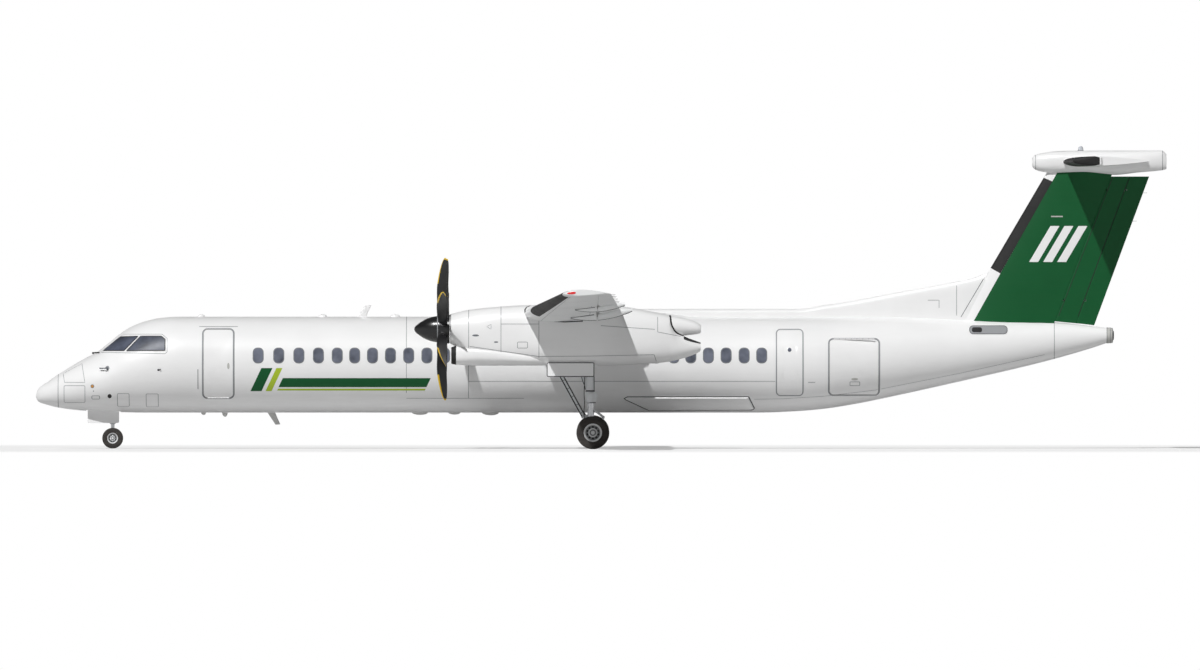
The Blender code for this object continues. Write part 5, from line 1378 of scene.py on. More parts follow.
def make_wing():
    """The one piece wing with the bays, hinge lugs and the fixed halves of the track fairings."""
    rings = list(reversed(tip_rings(wing_panel(-1)))) + tip_rings(wing_panel(1))
    wing = piece_of("wing_skin", [(lofted(rings), "wing_paint")], "airframe", ("wing",), sharp=WING_SHARP)
    cutters = []
    for side, _ in SIDES:
        inner, outer = centre_panel(side), wing_panel(side)
        cutters += [bay_cutter(inner, INNER_FLAP, FLAP_NOSE, True, side),
                    bay_cutter(outer, OUTER_FLAP, FLAP_NOSE, True, side),
                    bay_cutter(outer, AILERON, AILERON_START, False, side)]
    cut_from(wing, cutters, sharp=WING_SHARP, lining="lining_grey")
    for side, word in SIDES:
        inner, outer = centre_panel(side), wing_panel(side)
        fixed = []
        for panel, track in ((inner, TRACK_INNER), (outer, TRACK_MIDDLE), (outer, TRACK_OUTER)):
            here = sided(track, side)
            pivot_x = flap_pivot(panel, here).x
            bay_x = panel.point(at_y(panel, here[0]), FLAP_NOSE - 0.07).x
            fixed.append((track_fairing(panel, here, here[1], pivot_x - 0.018, False), "wing_paint"))
            fixed.append((track_keel(panel, here, here[1] + 0.02, pivot_x - 0.02), "pane_frame"))
            fixed.append((track_seals(panel, here, here[1] + 0.02, min(pivot_x - 0.03, bay_x)), "pane_frame"))
        ends = [outer.on_skin(at_y(outer, side * y), AILERON_START, 0) for y in AILERON_LUGS]
        for point in ends:
            lug, pin = lug_at(point, ends[1] - ends[0], 0.14)
            fixed += [(lug, "wing_paint"), (pin, "wing_paint")]
        piece_of("flap_track_fronts_" + word, fixed, "airframe")
        make_flap("flap_inboard_" + word, inner, [side * y for y in INNER_FLAP], [sided(TRACK_INNER, side)])
        make_flap("flap_outboard_" + word, outer, [side * y for y in OUTER_FLAP],
                  [sided(TRACK_MIDDLE, side), sided(TRACK_OUTER, side)])
        reach = [side * y for y in AILERON]
        rings = [outer.skin(at_y(outer, y), AILERON_START) for y in steps(*reach, 9)]
        aileron = piece_of("aileron_skin_" + word, [(lofted(rings), "wing_paint")], "aileron_" + word,
                           ("aileron_" + word,), sharp=WING_SHARP)
        cut_from(aileron, [lug_notch(point, ends[1] - ends[0]) for point in ends], sharp=WING_SHARP)


def make_flap(name, panel, reach, tracks):
    """A flap with the moving rear halves of its track fairings."""
    rings = [panel.skin(at_y(panel, y), FLAP_NOSE, fullness=0.97) for y in steps(*reach, 9)]
    parts = [(lofted(rings), "wing_paint")]
    pivots = [flap_pivot(panel, track) for track in tracks]
    axis = (pivots[-1] - pivots[0]).normalized() if len(pivots) > 1 else Vector((0, 1, 0))
    for track, pivot in zip(tracks, pivots):
        parts.append((track_fairing(panel, track, pivot.x + 0.018, track[2], True), "wing_paint"))
        parts.append((track_keel(panel, track, pivot.x + 0.02, track[2] - 0.004), "pane_frame"))
        parts.append((bar(pivot - axis * 0.055, pivot + axis * 0.055, 0.03, 20), "wing_paint"))
    piece_of(name + "_skin", parts, name, (name,), sharp=WING_SHARP)


def make_wing_fairing():
    """The humped fairing over the joint of wing and fuselage."""
    rings = []
    for x in steps(WING_FAIRING[0][0], WING_FAIRING[-1][0], 60):
        top, half = row_at(WING_FAIRING, x)
        ring = []
        for k in range(41):
            angle = math.pi * k / 40
            ring.append((x, -half * signed_power(math.cos(angle), 0.7),
                         FAIRING_BASE_Z + (top - FAIRING_BASE_Z) * math.sin(angle) ** 0.7))
        rings.append(ring)
    piece_of("wing_root_fairing", [(lofted(rings), "white_paint")], "airframe", ("wing_fairing",))


def make_wing_boots():
    """Rubber de-icing boots on the wing's leading edges, with a gap at each nacelle."""
    boots = []
    for side, _ in SIDES:
        boots.append(nose_wrap(wing_panel(side), (0.15, 0.965), (0.098, 0.13), BOOT_LIFT))
        inner = tuple(y / PANEL_BREAK_Y for y in INNER_BOOT)
        boots.append(nose_wrap(centre_panel(side), inner, (0.09, 0.09), BOOT_LIFT))
    piece_of("wing_deice_boots", [(boot, "deice_boot") for boot in boots], "airframe")


# Nacelles and propellers

NACELLE_STATIONS = steps(NACELLE_FRONT_X, -3.4, 14) + steps(-3.3, 1.4, 26) + steps(1.5, NACELLE_TAIL_X, 24)


def oval(x, y, z, half_width, half_height, sides, power=2.0):
    """A superellipse section at x."""
    ring = []
    for k in range(sides):
        angle = 2 * math.pi * k / sides
        ring.append((x, y + half_width * signed_power(math.sin(angle), 2 / power),
                     z + half_height * signed_power(math.cos(angle), 2 / power)))
    return ring


def chin_ring(x, y, grow=0.0):
    """A section of the air intake's chin at x."""
    low, high, half = row_at(CHIN, x)
    return oval(x, y, (low + high) / 2, half + grow, (high - low) / 2 + grow, 48, INTAKE_POWER)


def make_nacelles():
    for side, word in SIDES:
        y = side * NACELLE_Y
        body = lofted([nacelles[side].ring(x, 64) for x in NACELLE_STATIONS])
        low, high = INTAKE_HEIGHT
        chin = [chin_ring(x, y) for x in steps(INTAKE_FRONT_X, -4.2, 6) + steps(-4.14, CHIN[-1][0], 30)]
        bore = INTAKE_HALF_WIDTH - INTAKE_WALL, (high - low) / 2 - INTAKE_WALL
        duct = lofted([oval(x, y, (low + high) / 2, *bore, 48, INTAKE_POWER)
                       for x in (INTAKE_FRONT_X - 0.1, INTAKE_FRONT_X + 0.40)])
        nacelle = piece_of("nacelle_cowling_" + word, [(body, "white_paint")], "airframe", ("nacelle_" + word,))
        lip_rows = ([(INTAKE_FRONT_X - 0.003, -0.030), (INTAKE_FRONT_X - 0.003, 0.0)]
                    + [(x, 0.004) for x in steps(INTAKE_FRONT_X, LIP_BACK_X, 8)] + [(LIP_BACK_X + 0.002, -0.001)])
        lip = lofted([chin_ring(x, y, grow) for x, grow in lip_rows], caps=False)
        intake = piece_of("chin_intake_" + word, [(lofted(chin), "white_paint"), (lip, "deice_boot")],
                          "airframe")
        well_low, well_high, well_half, well_top = MAIN_WELL
        pipe = lofted([oval(x, y, z, w + 0.01, h + 0.01, 40) for x, z, w, h in JET_PIPE])
        mouth = bar((NACELLE_FRONT_X - 0.1, y, SHAFT_Z), (-3.7, y, SHAFT_Z), 0.26, 40)
        cut_from(nacelle, [duct, mouth], lining="dark_steel")
        cut_from(intake, [duct], lining="dark_steel")
        cut_from(nacelle, [pipe], lining="dark_steel")
        well = block((well_low, y - well_half, 2.0), (well_high, y + well_half, well_top), 0)
        cut_from(nacelle, [well], lining="bay_green")
        make_jet_pipe(y, word)
        engine = block(*(Vector(corner) + Vector((0, y, 0)) for corner in ENGINE_BLOCK), 0.05)
        shaft_back, shaft_front, shaft_radius = ENGINE_SHAFT
        shaft = bar((shaft_back, y, SHAFT_Z), (shaft_front, y, SHAFT_Z), shaft_radius, 24)
        piece_of("engine_core_" + word, [(engine, "dark_steel"), (shaft, "chrome_rod")],
                 "airframe", ("engine_" + word,))


def pipe_edge(pod, y):
    """The line where the jet pipe comes out of the nacelle."""
    def reach_at(x, angle):
        z, w, h = row_at(JET_PIPE, x)
        spot = Vector((x, y + w * math.sin(angle), z + h * math.cos(angle)))
        top, bottom, half, power, _ = pod.section(x)
        across, rise = abs(spot.y - y) / half, abs(spot.z - (top + bottom) / 2) * 2 / (top - bottom)
        return across**power + rise**power, spot

    path = []
    for angle in steps(-math.pi, math.pi, 73):
        spots = [spot for reach, spot in (reach_at(x, angle) for x in steps(1.6, 2.86, 190)) if reach > 1.0]
        if spots:
            path.append(spots[0])
    return path


def make_jet_pipe(y, word):
    """The jet pipe, open at the back. The black sheet over the nacelle's stepped top and the black bar along the pipe's
    way out are painted shade of the opening around the pipe.
    """
    stations = [(x, *row_at(JET_PIPE, x)) for x in steps(1.55, 2.7, 13) + [2.75, 2.79, 2.82, 2.845, 2.865, 2.88]]
    outer = [oval(x, y, z, w, h, 48) for x, z, w, h in stations]
    inner = [oval(x, y, z, w - JET_PIPE_WALL, h - JET_PIPE_WALL, 48) for x, z, w, h in reversed(stations[5:])]
    shroud, bore = lofted(outer, caps=False), lofted([outer[-1]] + inner, caps=False)
    end = ([Vector(point) for point in inner[-1]], [tuple(range(48))])
    pod = nacelles[-1 if y < 0 else 1]
    cover = pod.around()
    # A black sheet over the nacelle's stepped top: painted shade of the scarfed opening around the pipe.
    rows = [[cover.lift(x, angle, 0.004)[0] for angle in steps(-0.8, 0.8, 17)] for x in steps(2.38, 2.865, 14)]
    # A black bar along the line where the pipe leaves the nacelle: painted shade of the gap there.
    lip = pipe_edge(pod, y)
    parts = [(shroud, "white_paint"), (bore, "hot_metal"), (end, "hot_metal"),
             (lofted(rows, False, False), "tread_black"), (tube(lip, 0.032, 12), "tread_black")]
    piece_of("jet_pipe_" + word, parts, "airframe", ("exhaust_" + word,))


def blade_rings(reaches, grow=0.0):
    """Sections of a propeller blade that points up from the hub's middle."""
    rings = []
    for reach in reaches:
        chord, pitch = eased(BLADE_CHORD, reach), math.radians(eased(BLADE_PITCH, reach))
        thick, sweep = eased(BLADE_THICKNESS, reach), eased(BLADE_SWEEP, reach)
        ring = []
        for k in range(BLADE_SIDES):
            angle = 2 * math.pi * k / BLADE_SIDES
            u = (chord / 2 + grow) * math.cos(angle)
            v = (chord / 2 * thick + grow) * math.sin(angle) * (1 - 0.25 * math.cos(angle))
            ring.append(Vector((sweep + u * math.sin(pitch) + v * math.cos(pitch),
                                -u * math.cos(pitch) + v * math.sin(pitch), reach)))
        rings.append(ring)
    return rings


def edge_sheet(reaches, turns):
    """A sheet on a blade over some turns of its section."""
    rings = [[ring[k % BLADE_SIDES] for k in turns] for ring in blade_rings(reaches, 0.0012)]
    return lofted(rings, closed=False, caps=False)


def make_propellers():
    for side, word in SIDES:
        y = side * NACELLE_Y
        centre = Vector((PROPELLER_X, y, SHAFT_Z))
        reaches = steps(0.30, 1.9, 20) + [1.94, 1.98, 2.01, 2.035, 2.048, PROPELLER_RADIUS]
        blade = lofted(blade_rings(reaches))
        outer = [reach for reach in reaches if reach > 1.28]
        tip = [reach for reach in reaches if reach > 2.0]
        yellow = joined(edge_sheet(outer, range(9, 16)), edge_sheet(tip, range(-9, 10)))
        guard = edge_sheet([reach for reach in reaches if 0.45 < reach < 1.3], range(9, 16))
        root = turned([(0.24, 0.10), (0.30, 0.125), (0.37, 0.125), (0.40, 0.115), (0.40, 0.0)],
                      (0, 0, 0), (0, 0, 1), 32)
        parts = []
        for k in range(BLADE_COUNT):
            turn = Matrix.Translation(centre) @ Matrix.Rotation(2 * math.pi * k / BLADE_COUNT, 4, "X")
            parts += [(turned_by(blade, turn), "blade_black"), (turned_by(yellow, turn), "blade_yellow"),
                      (turned_by(guard, turn), "deice_boot"), (turned_by(root, turn), "dark_steel")]
        place = (0, y, SHAFT_Z), (1, 0, 0), 72
        profile_xs = [-5.404, -5.399, -5.385, -5.36, -5.33] + steps(-5.29, -4.40, 22)
        profile = [(x, eased(SPINNER_PROFILE, x)) for x in profile_xs]
        spinner = turned(profile + [(-4.378, 0.420), (-4.375, 0.416), (-4.375, 0.0)], *place)
        seam = turned([(x, eased(SPINNER_PROFILE, x) + lift) for x, lift in
                       ((-4.735, 0.0005), (-4.73, 0.0015), (-4.715, 0.0015), (-4.71, 0.0005))], *place)
        parts += [(spinner, "spinner_black"), (seam, "seam_line")]
        piece_of("propeller_assembly_" + word, parts, "propeller_" + word, ("propeller_" + word,),
                 sharp=40)


# Tail

def make_fin():
    """The fin, the two part rudder and their hinge lugs."""
    low = fin_level(FIN_BASE_Z - 0.35)
    levels = steps(low, 1.0, 20) + [fin_level(FIN_ROOT_IN_BULLET_Z)]
    fin = piece_of("fin_skin", [(lofted([fin_panel.skin(t) for t in levels]), "green_paint")], "airframe", ("fin",),
                   sharp=WING_SHARP)
    rudder_bay, gap_cutter = (lofted([fin_panel.bay(t, mix(line, t), False) for t in steps(low - 0.02, top, 6)])
                              for line, top in ((rudder_parts, 1.06), (trail_parts, 1.02)))
    # The bay's cut faces are near black: painted shade in the gap between fin and rudder.
    cut_from(fin, [rudder_bay], sharp=WING_SHARP, lining="tread_black")
    span = steps(fin_level(FIN_BASE_Z - 0.3), fin_level(RUDDER_TOP_Z), 14)
    foot = [(12.6, 3.0), (16.6, 3.0)] + [(x, eased(CROWN, x) + 0.03) for x in (16.6, 14.6, 14.0, 13.144, 12.6)]
    foot_cutter = lofted([[(x, y, z) for x, z in foot] for y in (-0.8, 0.8)])
    rows = (("rudder_fore", "airframe", rudder_parts, [gap_cutter, foot_cutter]),
            ("rudder_trailing", "rudder_fore", trail_parts, [foot_cutter]))
    pieces = []
    for name, _, line, _ in rows:
        skin = lofted([fin_panel.skin(t, mix(line, t)) for t in span])
        pieces.append(piece_of(name + "_skin", [(skin, "green_paint")], name, (name,),
                               sharp=WING_SHARP))
    for piece, (name, carrier, line, cutters) in zip(pieces, rows):
        ends = [fin_panel.on_skin(fin_level(z), mix(line, fin_level(z)), 0) for z in RUDDER_LUG_ZS]
        cut_from(piece, cutters + [lug_notch(point, ends[1] - ends[0]) for point in ends], sharp=WING_SHARP)
        lugs = []
        for point in ends:
            lug, pin = lug_at(point, ends[1] - ends[0], 0.25)
            lugs += [(lug, "green_paint"), (pin, "green_paint")]
        piece_of(name + "_lugs", lugs, carrier)


def make_dorsal():
    """The long spine from the wing's fairing up into the fin."""
    rings = []
    for x in steps(0.75, 11.13, 90):
        top, half, base = spine_section(x)
        ring = [(x, -half, base)]
        for k in range(17):
            angle = math.pi * (DORSAL_EDGE + (1 - 2 * DORSAL_EDGE) * k / 16)
            ring.append((x, -half * DORSAL_WAIST * math.cos(angle),
                         base + (top - base) * (DORSAL_SHOULDER + DORSAL_ROOF * math.sin(angle))))
        rings.append(ring + [(x, half, base)])
    piece_of("dorsal_spine", [(lofted(rings), "white_paint")], "airframe", ("dorsal_fin",), sharp=40)


def make_tail_bullet():
    """The bullet where fin and tailplane meet, with its beacon."""
    stations = ([12.508, 12.515, 12.53, 12.56, 12.62, 12.70] + steps(12.8, 16.2, 40)
                + [16.28, 16.33, 16.37, 16.395, 16.406])
    shell = lofted([bullet.ring(x, 56) for x in stations])
    place = BEACON_PLACE, (0, 0, 1), 40
    base = turned([(-0.03, 0.09), (0.012, 0.09), (0.02, 0.085), (0.02, 0.0)], *place)
    lamp = turned([(0.015, 0.0), (0.015, 0.076), (0.05, 0.076), (0.09, 0.071), (0.12, 0.058), (0.136, 0.03),
                   (0.1395, 0.0)], *place)
    piece_of("bullet_fairing", [(shell, "white_paint"), (base, "window_rim"), (lamp, "clear_lens")], "airframe",
             ("tail_bullet",))


def tail_part(panel, t):
    return (ELEVATOR_HINGE_X - panel.point(t, 0).x) / panel.chord(t)


def tip_boot(panel, reach):
    """The end of a boot, around a rounded tip."""
    rings = []
    for t, size in ((0.972, 1.0), (0.985, 1.0), (0.992, 0.955), (0.997, 0.87), (1.0008, 0.73)):
        middle = middle_of(panel.skin(t))
        core = middle + (panel.point(t, reach * 0.6) - middle) * size
        ring = [middle + (point - middle) * size for point in panel.skin(t, end=reach)]
        rings.append([point + (point - core).normalized() * 0.006 for point in ring])
    return lofted(rings)


def tip_rib(panel, start):
    """The white end rib between the boot and the elevator."""
    rings = []
    for t, size in ((0.9876, 0.98), (0.992, 0.955), (0.997, 0.86), (1.0004, 0.74)):
        level = middle_of(panel.skin(t)).z
        stations = steps(start, panel.part_at(t, ELEVATOR_HINGE_X - 0.004), 8)
        ring = [panel.on_skin(t, u, 1) for u in reversed(stations)] + [panel.on_skin(t, u, -1) for u in stations]
        rings.append([Vector((point.x, point.y, level + (point.z - level) * size)) for point in ring])
    return lofted(rings)


def make_tailplane():
    """The tailplane with its boots, and the elevators on their lugs."""
    left, right = tail_panel(-1), tail_panel(1)
    tip = [(0.985, 1.0), (0.992, 0.95), (0.997, 0.86), (1.0, 0.72)]
    sections = [(left, t, size) for t, size in tip[::-1] + [(t, 1.0) for t in steps(0.93, 0.0, 12)]]
    sections += [(right, t, size) for t, size in [(t, 1.0) for t in steps(0.08, 0.93, 11)] + tip]
    rings = [shrunk(panel.skin(t), size) for panel, t, size in sections]
    plane = piece_of("tailplane_skin", [(lofted(rings), "white_paint")], "airframe", ("tailplane",),
                     sharp=WING_SHARP)
    inner, gap = ELEVATOR_INNER_Y / TAILPLANE_HALF_SPAN, SURFACE_END_GAP / TAILPLANE_HALF_SPAN
    cut_from(plane, [lofted([panel.bay(t, tail_part(panel, t), False) for t in steps(inner - gap, 1.05, 5)])
                     for panel in (left, right)], sharp=WING_SHARP, lining="lining_grey")
    lugs = []
    for panel, (_, word) in zip((left, right), SIDES):
        rings = [panel.skin(t, tail_part(panel, t)) for t in steps(inner, ELEVATOR_OUTER_PART, 11)]
        elevator = piece_of("elevator_skin_" + word, [(lofted(rings), "white_paint")], "elevators",
                            ("elevator_" + word,), sharp=WING_SHARP)
        ends = [panel.on_skin(t, tail_part(panel, t), 0) for t in ELEVATOR_LUG_PARTS]
        cut_from(elevator, [lug_notch(point, Vector((0, 1, 0))) for point in ends], sharp=WING_SHARP)
        for point in ends:
            lug, pin = lug_at(point, Vector((0, 1, 0)), 0.2)
            lugs += [(lug, "white_paint"), (pin, "white_paint")]
        boot = nose_wrap(panel, (0.085, 0.978), (0.15, TAIL_BOOT_REACH), BOOT_LIFT)
        lugs += [(boot, "deice_boot"), (tip_boot(panel, TAIL_BOOT_REACH), "deice_boot"),
                 (tip_rib(panel, TAIL_BOOT_REACH - 0.005), "white_paint")]
    piece_of("tailplane_boots_and_lugs", lugs, "airframe")


# Details on the skin

def spot_on(cover, x, z, half_x, half_z, height=0.004):
    """A round or oval button on the skin."""
    angles = [2 * math.pi * k / 20 for k in range(20)]
    outline = [(x + half_x * math.cos(angle), z + half_z * math.sin(angle)) for angle in angles]
    return plate_on(cover, outline, [(1.0, -0.002), (0.97, height * 0.8), (0.85, height), (0, height)], 1.0)


def seen_spot(cover, px, py, half_px, half_py, height=0.004):
    x, z = seen_at(px, py)
    return spot_on(cover, x, z, half_px * PIXEL, half_py * PIXEL, height)


def seen_frame(cover, low_px, high_px, top_py, low_py, radius=0.03, width=0.016):
    """The seam around a small rectangular panel."""
    (x0, z1), (x1, z0) = seen_at(low_px, top_py), seen_at(high_px, low_py)
    return strip_on(cover, rounded(x0, x1, z0, z1, radius, 4), width, SEAM_LIFT, 0.05, closed=True)


def ring_seam(pod, x, low=-math.pi, high=math.pi, width=0.016):
    """A seam around a pod at x, between two angles from its crown."""
    return strip_on(pod.around(), [(x, angle) for angle in steps(low, high, 64)], width, SEAM_LIFT, 1.0)


def dome(x, y, z, half_x, half_y, height):
    """A low streamlined dome that stands on a skin; a negative height hangs it below."""
    rows = []
    for k in range(8):
        rise = math.sin(math.pi / 2 * k / 7)
        size = math.cos(math.pi / 2 * k / 7) if k < 7 else 0.05
        rows.append([(x + half_x * size * math.cos(2 * math.pi * i / 28) + half_x * 0.08 * rise,
                      y + half_y * size * math.sin(2 * math.pi * i / 28), z + height * rise) for i in range(28)])
    return lofted(rows)


def blade_aerial(outline, half):
    """A swept blade aerial: an outline with a lens shaped section."""
    a, b, c, d = (Vector((x, 0, z)) for x, z in outline)
    rings = []
    for t in steps(0.0, 1.0, 7):
        front, back = a.lerp(b, t), d.lerp(c, t)
        ring = []
        for k in range(20):
            u = 0.5 * (1 - math.cos(2 * math.pi * k / 20))
            thick = half * (1 - 0.35 * t) * 2.2 * math.sqrt(max(0.0, u * (1 - u))) * (1 if k < 10 else -1)
            ring.append(front.lerp(back, u) + Vector((0, thick, 0)))
        rings.append(ring)
    return lofted(rings)


LOW_SEAM_BEFORE_DOOR = ((754, 399.2), (783, 398.6), (824, 396.1), (833, 395.0))
LOW_SEAM_ON_DOOR = ((838, 394.4), (875, 390), (877.4, 389.5))
LOW_SEAM_BEHIND_DOOR = ((880.6, 388.9), (960, 373.1), (1044.5, 354.6))
HOLD_PANEL = (849.6, 859.4, 381.8, 385.5)


def make_body_seams():
    """Panel seams of the fuselage, at the places the drawing gives."""
    parts = [ring_seam(hull, RADOME_SEAM_X, width=0.020), ring_seam(hull, FRONT_SEAM_X, -2.2, 2.2),
             ring_seam(hull, CONE_SEAM_X, width=0.018)]
    nose_panel = seen_path((63.5, 373.7), (82.3, 363.6), (85.5, 382.4), (65.0, 382.4))
    for cover in (LEFT, RIGHT):
        parts += [strip_on(cover, seen_path((406.7, 398.2), (524.0, 398.2)), 0.016),
                  strip_on(cover, seen_path((468.7, 362.0), (468.7, 398.2)), 0.016),
                  strip_on(cover, seen_path((468.7, 381.2), (775.0, 381.2)), 0.014),
                  strip_on(cover, nose_panel, 0.014, closed=True),
                  seen_frame(cover, 64.5, 85.5, 385.6, 402.4), seen_frame(cover, 118.0, 129.7, 393.5, 406.3),
                  seen_frame(cover, 146.7, 158.8, 393.8, 406.7),
                  strip_on(cover, seen_path((807.8, 382.2), (814.9, 382.2)), 0.018),
                  strip_on(cover, seen_path((199.6, 326.7), (238.2, 326.7)), 0.022, 0.006),
                  strip_on(cover, seen_path((198.6, 369.2), (198.6, 389.0)), 0.022, 0.006)]
    parts += [strip_on(LEFT, seen_path(*path), 0.012) for path in (LOW_SEAM_BEFORE_DOOR, LOW_SEAM_BEHIND_DOOR)]
    parts += [strip_on(RIGHT, seen_path(*LOW_SEAM_BEFORE_DOOR, *LOW_SEAM_ON_DOOR, *LOW_SEAM_BEHIND_DOOR), 0.012),
              seen_frame(RIGHT, *HOLD_PANEL, 0.015)]
    piece_of("fuselage_seams", [(shape, "seam_line") for shape in parts], "airframe")


def make_body_details():
    """Ports, lights, probes and handles on the fuselage's sides."""
    parts = []
    for cover, out in ((LEFT, -1), (RIGHT, 1)):
        parts += [(seen_spot(cover, 93.0, 386.2, 1.9, 1.9, 0.003), "window_rim"),
                  (seen_spot(cover, 93.0, 386.2, 1.3, 1.3, 0.007), "amber_lens"),
                  (seen_spot(cover, 94.1, 391.0, 0.6, 0.6), "seam_line"),
                  (seen_frame(cover, 92.4, 100.2, 395.7, 399.0, 0.03, 0.02), "seam_line"),
                  (seen_spot(cover, 110.2, 396.1, 2.1, 2.1), "deice_boot"),
                  (seen_spot(cover, 789.2, 349.8, 2.0, 2.0, 0.008), "cabin_glass"),
                  (seen_spot(cover, 159.2, 369.9, 1.2, 1.0), "pane_frame"),
                  (seen_spot(cover, 108.2, 367.9, 1.9, 1.9, 0.012), "window_rim")]
        (low_x, z0), (high_x, z0) = seen_path((100.2, 368.2), (108.2, 368.2))
        root = hull.at_height(high_x, z0, out)
        tip = Vector((low_x, hull.at_height(low_x, z0, out).y + out * 0.10, z0))
        route = [root, root + Vector((-0.01, out * 0.05, 0)), Vector((high_x - 0.03, root.y + out * 0.09, z0)), tip]
        parts.append((tube(smoothed(route), 0.018, 14), "window_rim"))
        x, z = seen_at(159.2, 369.9)
        root = hull.at_height(x, z, out)
        parts.append((bar(root, root + Vector((0.07, out * 0.05, 0.02)), 0.012, 12), "pane_frame"))
    slot_low, slot_high = seen_at(969.0, 334.2), seen_at(1007.2, 325.6)
    slot = rounded(slot_low[0], slot_high[0], slot_low[1], slot_high[1], 0.11)
    parts.append((plate_on(LEFT, slot, [(1.0, -0.002), (0.97, 0.006), (0.9, 0.006), (0, 0.006)], 0.1), "seam_line"))
    parts.append((strip_on(LEFT, spread(slot, -0.006), 0.016, 0.008, 0.05, closed=True), "pane_frame"))
    # The black plate inside the slot is painted shade of its opening.
    dark_low, dark_high = seen_at(971.5, 332.4), seen_at(981.8, 327.4)
    mouth = rounded(dark_low[0], dark_high[0], dark_low[1], dark_high[1], 0.06)
    parts.append((plate_on(LEFT, mouth, [(1.0, 0.005), (0.95, 0.009), (0, 0.009)], 0.1), "tread_black"))
    piece_of("fuselage_fittings", parts, "airframe")
    handle = [(seen_spot(LEFT, 854.3, 379.0, 3.4, 1.2), "lining_grey"),
              (seen_frame(LEFT, *HOLD_PANEL, 0.015), "seam_line"),
              (strip_on(LEFT, seen_path(*LOW_SEAM_ON_DOOR), 0.012), "seam_line")]
    piece_of("aft_baggage_handle", handle, "aft_baggage_door")
    airstair = [(seen_spot(LEFT, 229.0, 366.0, 1.2, 3.2), "lining_grey")]
    piece_of("airstair_handle", airstair, "airstair_door")
    piece_of("forward_baggage_handle", [(spot_on(RIGHT, -11.1, 1.82, 0.10, 0.035), "lining_grey")],
             "forward_baggage_door")


BELLY_LINE_PY = 412.6


def make_aerials():
    """Aerials on the fuselage's crown and belly."""
    crown, belly = eased(CROWN, 0.0), eased(BELLY, 0.0)
    parts = []
    for low_px, high_px in ((197.0, 205.0), (318.0, 327.0), (390.0, 400.0)):
        x0, x1 = seen_at(low_px, 0)[0], seen_at(high_px, 0)[0]
        parts.append((dome((x0 + x1) / 2, 0, crown - 0.01, (x1 - x0) / 2, 0.09, 0.085), "white_paint"))
    for low_px, high_px, low_py, half in ((411.5, 427.8, 414.9, 0.14), (448.0, 460.4, 414.6, 0.14),
                                          (481.6, 498.8, 415.3, 0.14), (201.0, 206.0, 415.0, 0.05),
                                          (222.0, 227.7, 416.8, 0.05)):
        x0, x1 = seen_at(low_px, 0)[0], seen_at(high_px, 0)[0]
        depth = (low_py - BELLY_LINE_PY) * PIXEL + 0.01
        parts.append((dome((x0 + x1) / 2, 0, belly + 0.01, (x1 - x0) / 2, half, -depth), "antenna_grey"))
    parts.append((blade_aerial([(-7.08, 3.80), (-6.852, 4.156), (-6.674, 4.156), (-6.84, 3.80)], 0.016), "white_paint"))
    parts.append((blade_aerial([(-9.70, 1.06), (-9.453, 0.69), (-9.315, 0.70), (-9.47, 1.06)], 0.016), "antenna_grey"))
    piece_of("fuselage_aerials", parts, "airframe")


STRIPES = (([(251, 391), (262, 368), (273, 368), (262, 391)], "dark_green"),
           ([(266, 391), (277, 368), (283, 368), (272, 391)], "lime_green"),
           ([(279, 387), (283.3, 378), (431, 378), (426.7, 387)], "dark_green"),
           ([(277.6, 390.4), (278.6, 388.6), (426.0, 388.6), (425.0, 390.4)], "lime_green"))


def make_livery():
    """A plain green and lime stripe forward, and slanted white bars on the fin."""
    body, fin = [], []
    for cover, out, lift in ((LEFT, -1, PAINT_LIFT), (RIGHT, 1, OVER_DOOR_LIFT)):
        body += [(quad_on(cover, seen_path(*corners), lift), paint) for corners, paint in STRIPES]
        face = fin_face(out)
        for start in FIN_BAR_PXS:
            outline = seen_path((start, 262), (start + 21.3, 226), (start + 30.3, 226), (start + 9.0, 262))
            fin.append((quad_on(face, outline), "white_paint"))
    piece_of("fuselage_stripes", body, "airframe")
    piece_of("fin_bars", fin, "airframe")


def slanted_wrap(front, back, reach, lift):
    """A sheet around the fin's leading edge whose ends are at one height in front and another behind."""
    rows = []
    for v in steps(0, 1, 24):
        ends = mix(front, v), mix(back, v)
        rows.append((reach, lambda part, ends=ends: fin_level(mix(ends, part))))
    return wrapped(fin_panel, rows, lift)


def hinge_path(line, shift, high_z):
    """A line along one of the rudder's hinges, moved back by shift."""
    return [(mix(line, fin_level(z)) + shift, z) for z in steps(3.84, high_z, 20)]


def make_fin_edge():
    """The fin's white leading edge with the black boot on its upper part."""
    low, high = fin_level(FIN_BASE_Z - 0.2), fin_level(FIN_ROOT_IN_BULLET_Z - 0.005)
    parts = [(nose_wrap(fin_panel, (low, high), (0.1036, 0.100), SEAM_LIFT), "white_paint"),
             (slanted_wrap((5.24, 7.86), (5.08, 7.75), 0.1018, 0.0045), "deice_boot")]
    for out in (-1, 1):
        face, spine = fin_face(out), spine_face(out)
        parts.append((strip_on(face, seen_path((1051.0, 216.5), (1062.7, 216.5)), 0.035, 0.003), "lining_grey"))
        parts.append((strip_on(spine, seen_path((927.8, 300.2), (939.0, 300.2), (939.0, 308.0)), 0.016), "seam_line"))
        parts.append((strip_on(spine, seen_path((956.6, 285.5), (956.6, 315.5)), 0.016), "seam_line"))
        parts.append((strip_on(spine, seen_path((983.5, 278.8), (960.8, 317.1)), 0.016), "pane_frame"))
    piece_of("fin_leading_edge", parts, "airframe")
    seals = [strip_on(fin_face(out), hinge_path(line, shift, RUDDER_TOP_Z - 0.03), 0.016, 0.002, 0.2)
             for out in (-1, 1) for line, shift in ((RUDDER_HINGE_X, 0.009), (TRAIL_HINGE_X, -0.045))]
    piece_of("rudder_seals", [(seal, "tread_black") for seal in seals], "rudder_fore")


def make_bullet_seams():
    piece_of("bullet_seams", [(ring_seam(bullet, x), "seam_line") for x in BULLET_SEAM_XS], "airframe")


